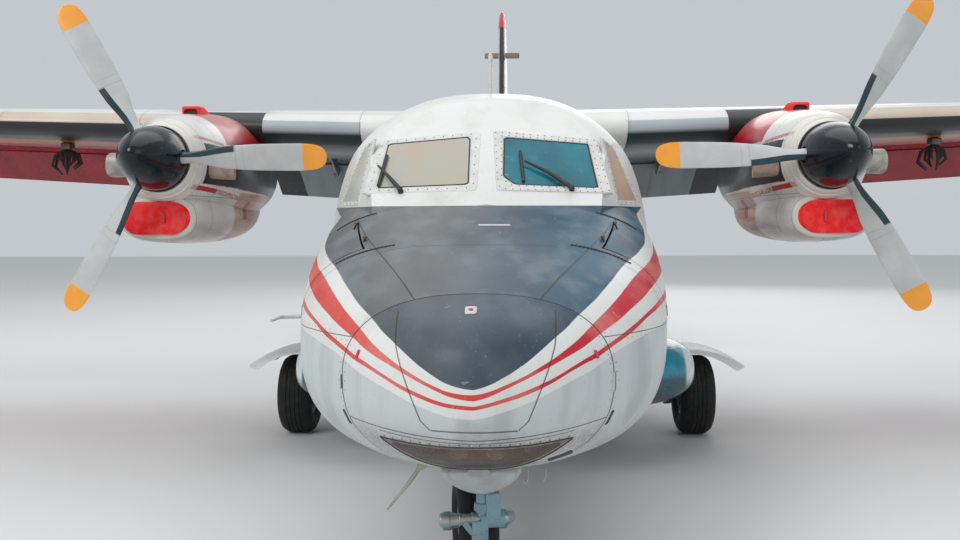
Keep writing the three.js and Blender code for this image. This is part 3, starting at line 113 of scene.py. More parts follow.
class Bench:
    """The tools that pieces are modelled with."""

    @staticmethod
    def take(*pieces: Piece) -> None:
        """Selects these pieces alone, the first one active, or nothing."""
        bpy.ops.object.select_all(action="DESELECT")
        for piece in pieces:
            piece.select_set(True)
        if pieces:
            bpy.context.view_layer.objects.active = pieces[0]

    @staticmethod
    @contextmanager
    def editing(piece: Piece, mode: str = "VERT") -> Iterator[None]:
        """Edit mode on one piece with everything selected.

        Args:
            piece: The piece to edit.
            mode: Select mode, VERT, EDGE or FACE.

        Yields:
            Nothing.
        """
        Bench.take(piece)
        bpy.ops.object.mode_set(mode="EDIT")
        bpy.ops.mesh.select_mode(type=mode)
        bpy.ops.mesh.select_all(action="SELECT")
        yield
        bpy.ops.object.mode_set(mode="OBJECT")

    @staticmethod
    def fresh(name: str) -> Piece:
        """Names the piece that was just added and puts its place in its mesh."""
        piece = bpy.context.object
        piece.name = piece.data.name = name
        bpy.ops.object.transform_apply(location=True, rotation=True, scale=True)
        return piece

    @staticmethod
    def blunted(piece: Piece, width: float) -> Piece:
        """Bevels a piece's sharp edges by a width in metres, or leaves them at 0."""
        if width:
            with Bench.editing(piece, "EDGE"):
                bpy.ops.mesh.select_all(action="DESELECT")
                bpy.ops.mesh.edges_select_sharp(sharpness=math.radians(60))
                bpy.ops.mesh.bevel(offset=width, segments=2, affect="EDGES")
        return piece

    @staticmethod
    def skin(name: str, rings: Points, caps: bool = True) -> Piece:
        """A grid shaped through rings of points, each of which closes on itself.

        Args:
            name: The piece's name.
            rings: Points by ring and by place in the ring, in metres.
            caps: Whether open ends are filled.

        Returns:
            The closed piece.
        """
        rings = np.asarray(rings, float)
        rings = np.concatenate([rings, rings[:, :1]], axis=1)
        rows, columns = rings.shape[:2]
        Bench.take()
        bpy.ops.mesh.primitive_grid_add(x_subdivisions=columns - 1, y_subdivisions=rows - 1, size=2)
        piece = bpy.context.object
        piece.name = piece.data.name = name
        flat = np.empty(len(piece.data.vertices) * 3)
        piece.data.vertices.foreach_get("co", flat)
        flat = flat.reshape(-1, 3)
        order = np.lexsort((flat[:, 0].round(5), flat[:, 1].round(5)))
        placed = np.empty_like(flat)
        placed[order] = rings.reshape(-1, 3)
        piece.data.vertices.foreach_set("co", placed.ravel())
        with Bench.editing(piece):
            bpy.ops.mesh.remove_doubles(threshold=SEAM_WELD)
            if caps:
                bpy.ops.mesh.fill_holes(sides=0)
            bpy.ops.mesh.normals_make_consistent(inside=False)
        return piece

    @staticmethod
    def slab(name: str, place: Place, us: Points, vs: Points, low: float, high: float) -> Piece:
        """A sheet with thickness that follows a surface.

        Args:
            name: The piece's name.
            place: Gives points from u, v and a lift off the surface.
            us: Places of the rows.
            vs: Places along each row.
            low: The lift of the inner face.
            high: The lift of the outer face.

        Returns:
            The closed piece.
        """
        vs = np.asarray(vs, float)
        rings = [np.concatenate([place(u, vs, high), place(u, vs[::-1], low)]) for u in us]
        return Bench.skin(name, rings)

    @staticmethod
    def pad(name: str, place: Place, outline: Points, low: float, high: float) -> Piece:
        """A plate of a given outline on a surface, its rim a little rounded.

        Args:
            name: The piece's name.
            place: Gives points from u, v and a lift off the surface.
            outline: The plate's outline as u and v.
            low: The lift of its foot.
            high: The lift of its face.

        Returns:
            The closed piece.
        """
        outline = np.asarray(outline, float)
        middle = outline.mean(axis=0)
        edge = 0.35 * (high - low)
        rings = [place(*outline.T, low), place(*outline.T, high - edge)]
        for share in PAD_SHARES:
            rings.append(place(*(middle + (outline - middle) * share).T, high))
        return Bench.skin(name, rings)

    @staticmethod
    def band(name: str, place: Place, inner: Points, outer: Points, low: float, high: float) -> Piece:
        """A raised frame between two outlines of equal length.

        Args:
            name: The piece's name.
            place: Gives points from u, v and a lift off the surface.
            inner: The inner outline as u and v.
            outer: The outer outline as u and v.
            low: The lift of its foot.
            high: The lift of its crown.

        Returns:
            The closed piece.
        """
        inner, outer = np.asarray(inner, float), np.asarray(outer, float)
        rim = 0.12 * (outer - inner)
        sides = [(outer, low), (outer, high - 0.4 * (high - low)), (outer - rim, high), (inner + rim, high),
            (inner, high - 0.4 * (high - low)), (inner, low)]
        rings = np.stack([place(*line.T, lift) for line, lift in sides], axis=1)
        return Bench.skin(name, np.concatenate([rings, rings[:1]]), caps=False)

    @staticmethod
    def tube(name: str, path: Points, radius: float | Sequence[float], sides: int = 12) -> Piece:
        """A round rod along a path, its radius in metres given once or for each point."""
        path = np.asarray(path, float)
        radii = np.broadcast_to(radius, len(path))
        along = np.gradient(path, axis=0)
        along /= np.linalg.norm(along, axis=1)[:, None]
        up = np.eye(3)[np.argmin(np.abs(along).max(axis=0))]
        side = np.cross(along, up)
        side /= np.linalg.norm(side, axis=1)[:, None]
        over = np.cross(side, along)
        turns = np.linspace(0, 2 * np.pi, sides, endpoint=False)
        rings = [p + r * (np.outer(np.cos(turns), a) + np.outer(np.sin(turns), b)) for p, r, a,
            b in zip(path, radii, side, over)]
        return Bench.skin(name, rings)

    @staticmethod
    def bar(name: str, a: Points, b: Points, radius: float, far: float | None = None, sides: int = 24,
            bevel: float = 0.0) -> Piece:
        """A round bar or taper between two points, with bevelled ends.

        Args:
            name: The piece's name.
            a: The middle of its first end, in metres.
            b: The middle of its second end.
            radius: Its radius at a.
            far: Its radius at b, if it tapers.
            sides: How many sides it has.
            bevel: The width of the bevel round its ends.

        Returns:
            The bar.
        """
        a, b = Vector(a), Vector(b)
        Bench.take()
        bpy.ops.mesh.primitive_cone_add(vertices=sides, radius1=radius, radius2=radius if far is None
            else far, depth=(b - a).length, location=(a + b) / 2, rotation=(b - a).to_track_quat("Z",
            "Y").to_euler())
        piece = Bench.fresh(name)
        return Bench.blunted(piece, bevel)

    @staticmethod
    def box(name: str, low: Points, high: Points, bevel: float = 0.0) -> Piece:
        """A box between two corners in metres, its edges bevelled."""
        low, high = Vector(low), Vector(high)
        Bench.take()
        bpy.ops.mesh.primitive_cube_add(size=1, location=(low + high) / 2, scale=high - low)
        piece = Bench.fresh(name)
        if bevel:
            with Bench.editing(piece, "EDGE"):
                bpy.ops.mesh.bevel(offset=bevel, segments=3, affect="EDGES")
        return piece

    @staticmethod
    def spun(name: str, outline: Points, centre: Points, axis: Points, across: Points, steps: int) -> Piece:
        """A closed outline spun a full turn about an axle.

        Args:
            name: The piece's name.
            outline: Radius and offset along the axle of each corner, in metres.
            centre: The middle of the axle.
            axis: The axle's direction.
            across: A direction square to the axle.
            steps: How many steps the turn has.

        Returns:
            The ring.
        """
        outline = np.asarray(outline, float)
        Bench.take()
        bpy.ops.mesh.primitive_circle_add(vertices=len(outline), fill_type="NOTHING")
        piece = Bench.fresh(name)
        centre, axis, across = (np.asarray(v, float) for v in (centre, axis, across))
        places = centre + np.outer(outline[:, 0], across) + np.outer(outline[:, 1], axis)
        piece.data.vertices.foreach_set("co", places.ravel())
        with Bench.editing(piece):
            bpy.ops.mesh.spin(steps=steps, angle=2 * math.pi, center=centre, axis=axis)
            bpy.ops.mesh.remove_doubles(threshold=SEAM_WELD)
            bpy.ops.mesh.normals_make_consistent(inside=False)
        return piece

    @staticmethod
    def merge(piece: Piece, other: Piece, how: Solid) -> Piece:
        """Joins, cuts or trims a piece with another solid, which is used up."""
        change = piece.modifiers.new(how.name, "BOOLEAN")
        change.operation, change.object, change.solver = how.value, other, "EXACT"
        Bench.take(piece)
        bpy.ops.object.modifier_apply(modifier=change.name)
        bpy.data.objects.remove(other)
        return piece

    @staticmethod
    def together(name: str, pieces: Sequence[Piece]) -> Piece:
        """Makes one object of several."""
        Bench.take(*pieces)
        if len(pieces) > 1:
            bpy.ops.object.join()
        piece = bpy.context.object
        piece.name = piece.data.name = name
        return piece

    @staticmethod
    def copy(piece: Piece, name: str, move: Matrix | None = None) -> Piece:
        """A copy with its own mesh, moved in its mesh."""
        twin = piece.copy()
        twin.data = piece.data.copy()
        twin.name = twin.data.name = name
        bpy.context.scene.collection.objects.link(twin)
        if move is not None:
            twin.data.transform(move)
            if move.determinant() < 0:
                twin.data.flip_normals()
        return twin

    @staticmethod
    def mirrored(piece: Piece, name: str) -> Piece:
        """A copy on the other side of the centre plane."""
        return Bench.copy(piece, name, Matrix.Scale(-1, 4, (1, 0, 0)))

    @staticmethod
    def studs(name: str, places: Points, normals: Points, radius: float) -> Piece:
        """Round rivet heads at several places, as one piece.

        Args:
            name: The piece's name.
            places: Their feet, in metres.
            normals: The way each one stands.
            radius: The radius of a head.

        Returns:
            The heads as one object.
        """
        Bench.take()
        bpy.ops.mesh.primitive_uv_sphere_add(segments=8, ring_count=4, radius=radius)
        head = Bench.fresh(name)
        with Bench.editing(head):
            bpy.ops.transform.resize(value=(1, 1, 0.6))
            bpy.ops.mesh.bisect(plane_co=(0, 0, -0.1 * radius), plane_no=(0, 0, 1), clear_inner=True,
                use_fill=True)
        moves = [Matrix.Translation(p) @ Vector(n).to_track_quat("Z", "Y").to_matrix().to_4x4() for p,
            n in zip(places, np.broadcast_to(normals, np.shape(places)))]
        twins = [Bench.copy(head, name, move) for move in moves]
        bpy.data.objects.remove(head)
        return Bench.together(name, twins)


def rounded(width: float, height: float, radius: float, steps: int = 4, between: int = 0) -> Points:
    """The outline of a rounded rectangle about its middle.

    Args:
        width: Its full width.
        height: Its full height.
        radius: The radius of its corners.
        steps: Pieces per corner.
        between: Further points along each straight side.

    Returns:
        Points in order round the outline.
    """
    turns = np.linspace(0, np.pi / 2, steps + 1)
    places = []
    for k, (sx, sy) in enumerate([(1, 1), (-1, 1), (-1, -1), (1, -1)]):
        angle = turns + k * np.pi / 2
        middle = np.array([sx * (width / 2 - radius), sy * (height / 2 - radius)])
        places.append(middle + radius * np.stack([np.cos(angle), np.sin(angle)], axis=-1))
    shares = np.arange(1, between + 1)[:, None] / (between + 1)
    sides = [a[-1] + (b[0] - a[-1]) * shares for a, b in zip(places, places[1:] + places[:1])]
    return np.concatenate([points for pair in zip(places, sides) for points in pair])


class Tone(str, Enum):
    """The colours that several finishes share."""

    WHITE = "dcdcd8"
    GRIME = "6f665a"
    SOOT = "1b1a1a"
    # The stripes' red with a painted sheen, for the lit starboard side
    RED = "bd0424"
    FADED = "cf4a40"
    BLUE_GREY = "bec4c5"
    # The deck's dark paint greyed by a painted sheen, for the lit starboard side
    CHARCOAL = "585a5d"
    DEEP = "00344c"
    ORANGE = "f0a030"
    STEEL = "6e7074"
    RUST = "7a4a2e"


@dataclass(frozen=True)
class Rivets:
    """Rows of painted rivets: their pitch, their radius, how far they run from a seam, and on which sides."""

    pitch: float
    radius: float
    away: float
    both: bool = False


class Value:
    """A shader socket, or a number, that takes part in sums."""

    def __init__(self, sheet: Sheet, socket: object) -> None:
        """Keeps the sheet it belongs to and the socket or number."""
        self.sheet, self.socket = sheet, socket

    def maths(self, how: str, *others: object, clamp: bool = False) -> Value:
        """A Math node on this value.

        Args:
            how: The node's operation.
            others: Its further inputs.
            clamp: Whether the result is kept between 0 and 1.

        Returns:
            The result.
        """
        return self.sheet.node("ShaderNodeMath", {"operation": how, "use_clamp": clamp},
            dict(enumerate((self, *others))))

    def __add__(self, other: object) -> Value:
        """The sum."""
        return self.maths("ADD", other)

    def __sub__(self, other: object) -> Value:
        """The difference."""
        return self.maths("SUBTRACT", other)

    def __rsub__(self, other: object) -> Value:
        """The difference, the other way round."""
        return Value(self.sheet, other).maths("SUBTRACT", self)

    def __mul__(self, other: object) -> Value:
        """The product."""
        return self.maths("MULTIPLY", other)

    __radd__, __rmul__ = __add__, __mul__

    def __truediv__(self, other: object) -> Value:
        """The quotient."""
        return self.maths("DIVIDE", other)

    def __abs__(self) -> Value:
        """The size without its sign."""
        return self.maths("ABSOLUTE")

    def over(self, edge: object, soft: float = 0.002) -> Value:
        """1 where this value is above an edge, fading over a soft width."""
        return ((self - edge) / soft + 0.5).maths("ADD", 0.0, clamp=True)

    def under(self, edge: object, soft: float = 0.002) -> Value:
        """1 where this value is below an edge."""
        return 1 - self.over(edge, soft)

    def within(self, low: object, high: object, soft: float = 0.002) -> Value:
        """1 where this value is between two edges."""
        return self.over(low, soft) * self.under(high, soft)

    def either(self, *others: object) -> Value:
        """The greatest of this and other masks."""
        best = self
        for other in others:
            best = best.maths("MAXIMUM", other)
        return best


class Sheet:
    """The node tree of one finish."""

    def __init__(self, name: str) -> None:
        """Makes the material with its shader and its coordinates."""
        self.material = bpy.data.materials.new(name)
        self.material.use_nodes = True
        self.tree = self.material.node_tree
        self.shader = self.tree.nodes["Principled BSDF"]
        self.place = self.node("ShaderNodeTexCoord", output="Object")
        parts = self.node("ShaderNodeSeparateXYZ", inputs={0: self.place}, output=None)
        self.x, self.y, self.z = (Value(self, parts.outputs[k]) for k in range(3))
        self.s = self.y + LENGTH / 2 * MM
        self.side = abs(self.x)
        self.base: Value | None = None
        self.lines: Value | None = None
        self.dots: Value | None = None

    def node(self, kind: str, settings: dict | None = None, inputs: dict | None = None,
            output: object = 0) -> object:
        """Adds one node.

        Args:
            kind: The node's type.
            settings: Its properties, set first.
            inputs: Values or links of its sockets, by number or name.
            output: The output that is wanted, or None for the node itself.

        Returns:
            The output as a value, or the node.
        """
        node = self.tree.nodes.new(kind)
        for key, value in (settings or {}).items():
            setattr(node, key, value)
        for key, value in (inputs or {}).items():
            socket = node.inputs[key]
            if isinstance(value, Value):
                value = value.socket
            if isinstance(value, bpy.types.NodeSocket):
                self.tree.links.new(value, socket)
            else:
                socket.default_value = value
        return node if output is None else Value(self, node.outputs[output])

    def blend(self, mask: object, base: object, top: object) -> Value:
        """Lays one colour over another where a mask is 1.

        Args:
            mask: The share of the top colour.
            base: The colour below.
            top: The colour above.

        Returns:
            The mixed colour.
        """
        sockets = {0: mask, 6: rgba(base), 7: rgba(top)}
        settings = {"data_type": "RGBA", "blend_type": "MIX", "clamp_factor": True}
        return self.node("ShaderNodeMix", settings, sockets, output=2)

    def lay(self, mask: object, top: object) -> None:
        """Lays a colour over the sheet's base colour where a mask is 1."""
        self.base = self.blend(mask, self.base, top)

    def noise(self, scale: float, detail: float = 3.0, squeeze: Sequence[float] = (1, 1, 1),
            at: float = 0.0) -> Value:
        """Noise about 0.5 on the piece's coordinates.

        Args:
            scale: Features to the metre.
            detail: Octaves.
            squeeze: Scale along x, y and z.
            at: An offset, for another pattern.

        Returns:
            The noise.
        """
        moved = self.node("ShaderNodeMapping", inputs={0: self.place, 1: (at, at, at), 3: tuple(squeeze)})
        return self.node("ShaderNodeTexNoise", inputs={"Vector": moved, "Scale": scale, "Detail": detail})

    def patches(self, scale: float, share: float, soft: float = 0.06, **how: object) -> Value:
        """Islands that cover about a share of the surface."""
        return self.noise(scale, **how).over(0.5 + 0.36 * (0.5 - share), soft)

    def curve(self, across: Value, points: Sequence[Sequence[float]], handle: str = "VECTOR") -> Value:
        """A line through points as a function of a value.

        Args:
            across: The value.
            points: Pairs of value and result, both between 0 and 4.
            handle: VECTOR for straight runs or AUTO for a smooth line.

        Returns:
            The result.
        """
        node = self.node("ShaderNodeFloatCurve", inputs={1: across / CURVE_REACH}, output=None)
        line = node.mapping.curves[0]
        for k, (at, height) in enumerate(points):
            if k < 2:
                line.points[k].location = (at / CURVE_REACH, height / CURVE_REACH)
            else:
                line.points.new(at / CURVE_REACH, height / CURVE_REACH)
            line.points[k].handle_type = handle
        node.mapping.update()
        return Value(self, node.outputs[0]) * CURVE_REACH

    def seam(self, value: Value, at: object, width: float = 0.003) -> Value:
        """A thin line where a value passes a height."""
        return abs(value - at).under(width, width)

    def rivets(self, line: Value, along: Value, pitch: float, radius: float) -> Value:
        """Dots in a row.

        Args:
            line: The distance from the row's line.
            along: The distance along it.
            pitch: The spacing.
            radius: The radius of a dot.

        Returns:
            A mask of the dots.
        """
        step = abs((along / pitch).maths("FRACT") - 0.5) * pitch
        away = (step * step + line * line).maths("SQRT")
        return away.under(radius, radius * 0.6)

    def joints(self, value: Value, places: Sequence[float], along: Value, rivets: Rivets,
            width: float = 0.0022, line_area: Value | None = None, dot_area: Value | None = None) -> None:
        """Adds seams to the sheet's lines and the rows of rivets beside them to its dots.

        Args:
            value: The value that passes each place on its seam.
            places: Where the seams are.
            along: The distance along them.
            rivets: The rows beside them.
            width: The width of a seam.
            line_area: A mask for the seams.
            dot_area: A mask for the rivets.
        """
        for at in places:
            line = self.seam(value, at, width)
            away = abs(value - at) - rivets.away if rivets.both else value - at - rivets.away
            row = self.rivets(abs(away), along, rivets.pitch, rivets.radius)
            line = line if line_area is None else line * line_area
            row = row if dot_area is None else row * dot_area
            self.lines = line if self.lines is None else self.lines.either(line)
            self.dots = row if self.dots is None else self.dots.either(row)

    def put(self, name: str, value: object) -> None:
        """Sets one of the shader's sockets to a value or a link."""
        if isinstance(value, Value):
            self.tree.links.new(value.socket, self.shader.inputs[name])
        else:
            self.shader.inputs[name].default_value = value

    def bump(self, height: Value, distance: float = 0.002, strength: float = 0.5) -> None:
        """Feeds a height to the shader's normal."""
        made = self.node("ShaderNodeBump", inputs={"Strength": strength, "Distance": distance,
            "Height": height})
        self.put("Normal", made)

    def finish(self, colour: object, rough: object, metal: object = 0.0,
            **more: object) -> bpy.types.Material:
        """Sets the shader and returns the material.

        Args:
            colour: Its base colour.
            rough: Its roughness.
            metal: How metallic it is.
            more: Further sockets, with _ for a space.

        Returns:
            The material.
        """
        colour = rgba(colour)
        self.put("Base Color", colour)
        self.put("Roughness", rough)
        self.put("Metallic", metal)
        for name, value in more.items():
            self.put(name.replace("_", " "), value)
        self.material.diffuse_color = (0.5, 0.5, 0.5, 1) if isinstance(colour, Value) else colour
        return self.material


def rgba(colour: object) -> object:
    """A hex colour or three numbers with alpha, or a value as it is."""
    if isinstance(colour, Value):
        return colour
    return (*(srgb(colour) if isinstance(colour, str) else colour), 1.0)


def srgb(code: str) -> tuple[float, float, float]:
    """Linear red, green and blue from a hex colour."""
    parts = [int(code[k:k + 2], 16) / 255 for k in (0, 2, 4)]
    return tuple(p / 12.92 if p < 0.04045 else ((p + 0.055) / 1.055) ** 2.4 for p in parts)


class Finish:
    """A finish that is made once and given to pieces."""

    name: str

    def build(self, sheet: Sheet) -> bpy.types.Material:
        """Draws the finish on its sheet."""
        raise NotImplementedError

    @cached_property
    def material(self) -> bpy.types.Material:
        """The material, made on first use."""
        return self.build(Sheet(self.name))


def eased(at: Points, xs: Points, ys: Points) -> Points:
    """A smooth line through points that never overshoots them.

    Args:
        at: Where the line is wanted.
        xs: The places of its points, rising.
        ys: Rows of values at those places.

    Returns:
        The values at the wanted places.
    """
    xs, ys = np.asarray(xs, float), np.asarray(ys, float)
    step = np.diff(xs)[:, None]
    slope = np.diff(ys, axis=0) / step
    turn = np.zeros_like(ys)
    same = slope[:-1] * slope[1:] > 0
    safe = np.where(same, slope[:-1] + slope[1:], 1.0)
    turn[1:-1] = np.where(same, 2 * slope[:-1] * slope[1:] / safe, 0.0)
    turn[0], turn[-1] = slope[0], slope[-1]
    k = np.clip(np.searchsorted(xs, at, side="right") - 1, 0, len(xs) - 2)
    t = ((np.clip(at, xs[0], xs[-1]) - xs[k]) / step[k, 0])[:, None]
    h = step[k]
    square, cube = t * t, t * t * t
    return ((2 * cube - 3 * square + 1) * ys[k] + (cube - 2 * square + t) * h * turn[k]
        + (3 * square - 2 * cube) * ys[k + 1] + (cube - square) * h * turn[k + 1])


@dataclass(frozen=True)
class Lines:
    """A long form given by sections: station, half width, top, bottom, widest height, squareness twice."""

    rows: tuple[tuple[float, ...], ...]
    x: float = 0.0
    blunt: bool = False

    def at(self, stations: Points, margin: float = 0.0) -> Points:
        """Half width, top, bottom, widest height and both squarenesses at stations, as rows."""
        table = np.array([row if len(row) == 7 else (*row, row[-1]) for row in self.rows], float)
        stations = np.atleast_1d(np.asarray(stations, float))
        scale = np.sqrt if self.blunt else np.asarray
        found = eased(scale(np.maximum(stations, table[0, 0])), scale(table[:, 0]), table[:, 1:])
        found[:, :3] += np.array([margin, margin, -margin])
        return found

    def rings(self, stations: Points, margin: float = 0.0, count: int = 96, floor: float = 0.0) -> Points:
        """Closed sections at stations.

        Args:
            stations: Where they stand.
            margin: How far they stand outside the form.
            count: Points in each.
            floor: The lowest height they may have.

        Returns:
            Points in metres by section and place round it.
        """
        turn = np.linspace(0, 2 * np.pi, count, endpoint=False)
        c, s = np.cos(turn), np.sin(turn)
        sections = []
        for station, (half, top, low, wide, above, below) in zip(stations, self.at(stations, margin)):
            power = 2 / np.where(s > 0, above, below)
            low = max(low, floor)
            z = wide + np.where(s > 0, top - wide, wide - low) * np.sign(s) * np.abs(s) ** power
            x = half * np.sign(c) * np.abs(c) ** power
            sections.append(spot(self.x + x, station, z))
        return np.array(sections)

    def depth(self, x: Points, station: Points, z: Points) -> Points:
        """Below 0 inside the form, above 0 outside it."""
        half, top, low, wide, above, below = self.at(np.ravel(station)).T
        x, z = np.ravel(x) - self.x, np.ravel(z)
        up = z > wide
        tall = np.where(up, top - wide, wide - low)
        power = np.where(up, above, below)
        return np.abs(x / half) ** power + np.abs((z - wide) / tall) ** power - 1

    def lifted(self, x: Points, station: Points, z: Points, lift: float) -> Points:
        """Points off the surface.

        Args:
            x: Places on the surface.
            station: Their stations.
            z: Their heights.
            lift: How far off the surface they go.

        Returns:
            The points in metres.
        """
        base = np.stack([np.ravel(v).astype(float) for v in np.broadcast_arrays(x, station, z)])
        way = []
        for k in range(3):
            move = np.zeros((3, 1))
            move[k] = PROBE_STEP
            way.append(self.depth(*(base + move)) - self.depth(*(base - move)))
        way = np.array(way)
        way /= np.linalg.norm(way, axis=0)
        return spot(*(base + lift * way))

    def side(self, sign: float) -> Place:
        """A place function on one side: u is the station and v the height."""
        def place(u: Points, v: Points, lift: float) -> Points:
            """Points of this side, lifted off it."""
            u, v = paired(u, v)
            half, top, low, wide, above, below = self.at(np.ravel(u)).T
            height = np.ravel(v) - wide
            share = np.clip(np.abs(height / np.where(height > 0, top - wide, wide - low)), 0, SHARE_END)
            power = np.where(height > 0, above, below)
            x = self.x + sign * half * (1 - share ** power) ** (1 / power)
            return self.lifted(x, u, v, lift)
        return place

    def crown(self) -> Place:
        """A place function over the top: u is the station and v is x."""
        def place(u: Points, v: Points, lift: float) -> Points:
            """Points of the crown, lifted off it."""
            u, v = paired(u, v)
            half, top, _, wide, power, _ = self.at(np.ravel(u)).T
            share = np.clip(np.abs((np.ravel(v) - self.x) / half), 0, SHARE_END)
            z = wide + (1 - share ** power) ** (1 / power) * (top - wide)
            return self.lifted(v, u, z, lift)
        return place

    def face(self, first: float, last: float) -> Place:
        """A place function on the front: u is x and v is the height."""
        def place(u: Points, v: Points, lift: float) -> Points:
            """Points of the front, lifted off it."""
            u, v = (np.ravel(w) for w in paired(u, v))
            near, far = np.full(u.shape, first), np.full(u.shape, last)
            for _ in range(HALVINGS):
                middle = (near + far) / 2
                inside = self.depth(u, middle, v) < 0
                near, far = np.where(inside, near, middle), np.where(inside, middle, far)
            return self.lifted(u, (near + far) / 2, v, lift)
        return place


def flat_place(corners: Sequence[Sequence[float]], sign: float = 1.0) -> tuple[Place, Vector]:
    """A place function on a plane through three points: u is x and v is the height.

    Args:
        corners: Three points as x, station, z.
        sign: 1 to port and -1 to starboard.

    Returns:
        The function and the plane's outward way.
    """
    a, b, c = (np.array([x * sign, station, z], float) for x, station, z in corners)
    way = np.cross(b - a, c - a)
    way *= -np.sign(way[1]) / np.linalg.norm(way)

    def place(u: Points, v: Points, lift: float) -> Points:
        """Points of the plane, lifted off it."""
        u, v = paired(np.asarray(u, float) * sign, v)
        station = a[1] - (way[0] * (u - a[0]) + way[2] * (v - a[2])) / way[1]
        return spot(u + lift * way[0], station + lift * way[1], v + lift * way[2])
    return place, Vector(way)


def dressed(piece: Piece, look: Finish, slot: str, body: str = BODY, nodes: Sequence[str] = (),
        smooth: float = 35.0) -> None:
    """Gives a finished piece its material and body, and hides the nodes that it stands for.

    Args:
        piece: The piece.
        look: Its finish.
        slot: The record's material slot, which is not used.
        body: The body it moves with.
        nodes: The nodes that it replaces.
        smooth: The sharpest angle in degrees that is still shaded smooth.
    """
    Bench.take(piece)
    bpy.ops.object.shade_smooth_by_angle(angle=math.radians(smooth))
    piece.data.materials.clear()
    piece.data.materials.append(look.material)
    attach(piece, body)
    if nodes:
        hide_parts(*nodes)


def both(piece: Piece, look: Finish, slot: str, body: str = BODY, nodes: Sequence[str] = (),
        smooth: float = 35.0) -> None:
    """Dresses a finished port piece and its mirrored starboard twin, as dressed() does.

    Args:
        piece: The port piece.
        look: Their finish.
        slot: The record's material slot, which is not used.
        body: The port piece's body.
        nodes: The nodes that the port piece replaces.
        smooth: The sharpest angle in degrees that is still shaded smooth.
    """
    for side in SIDES:
        twin = piece if side == "port" else Bench.mirrored(piece, piece.name.replace("port", side))
        dressed(twin, look, slot, body.replace("port", side), [n.replace("port", side) for n in nodes],
            smooth)


NOSE_ROWS = ((0, 0.5, 1215.5, 1214.5, 1215, 2.0, 2.0), (12, 85, 1305, 1125, 1215, 2.0, 2.0),
    (60, 200, 1400, 1035, 1215, 2.1, 2.1), (140, 322, 1462, 945, 1212, 2.2, 2.2),
    (280, 460, 1518, 868, 1208, 2.3, 2.3), (450, 582, 1568, 815, 1205, 2.4, 2.4),
    (700, 750, 1650, 762, 1225, 2.5, 2.4), (1000, 880, 1735, 722, 1265, 2.7, 2.5),
    (1400, 962, 1852, 704, 1340, 2.9, 2.5), (1800, 1010, 1968, 700, 1430, 3.0, 2.5),
    (2050, 1026, 2040, 700, 1500, 3.0, 2.5), (2400, 1036, 2160, 700, 1600, 2.7, 2.5),
    (3000, 1040, 2400, 700, 1750, 2.5, 2.5))
CANOPY_ROWS = ((1880, 1018, 2300, 1300, 1600, 2.5, 2.5), (2300, 1032, 2480, 1200, 1650, 2.5, 2.5),
    (2450, 1036, 2610, 1150, 1690, 2.5, 2.5), (2650, 1040, 2720, 1000, 1720, 2.5, 2.5),
    (3000, 1040, 2800, 700, 1750, 2.5, 2.5))
WINDSCREEN_PLANE = ((0, 1925, 2045), (680, 2010, 2045), (0, 2345, 2480))
QUARTER_PLANE = ((680, 2010, 2045), (1000, 2720, 2045), (610, 2130, 2480))


def fan(corners: Points, centre: Points) -> Points:
    """A straight-sided outline sampled at equal angles about a centre.

    Args:
        corners: Its corners in order.
        centre: A place inside it.

    Returns:
        The points, which pair with those of any other outline about the same centre.
    """
    corners, centre = np.asarray(corners, float), np.asarray(centre, float)
    turns = np.linspace(0, 2 * np.pi, FAN_POINTS, endpoint=False)
    found = []
    for way in np.stack([np.cos(turns), np.sin(turns)], axis=-1):
        best = None
        for a, b in zip(corners, np.roll(corners, -1, axis=0)):
            grid = np.array([way, a - b]).T
            if abs(np.linalg.det(grid)) < 1e-9:
                continue
            reach, share = np.linalg.solve(grid, a - centre)
            if reach > 0 and -1e-6 <= share <= 1 + 1e-6 and (best is None or reach > best):
                best = reach
        found.append(centre + best * way)
    return np.array(found)


def half_space(name: str, corners: Sequence[Sequence[float]], sign: float) -> Piece:
    """A big block in front of a plane.

    Args:
        name: Its name.
        corners: Three points of the plane as x, station, z.
        sign: 1 to port and -1 to starboard.

    Returns:
        The block.
    """
    place, way = flat_place(corners, sign)
    foot = Vector(place(corners[0][0], corners[0][2], 0).reshape(3))
    turn = way.to_track_quat("Z", "Y")
    Bench.take()
    bpy.ops.mesh.primitive_cube_add(size=4, location=foot + way * 2, rotation=turn.to_euler())
    return Bench.fresh(name)


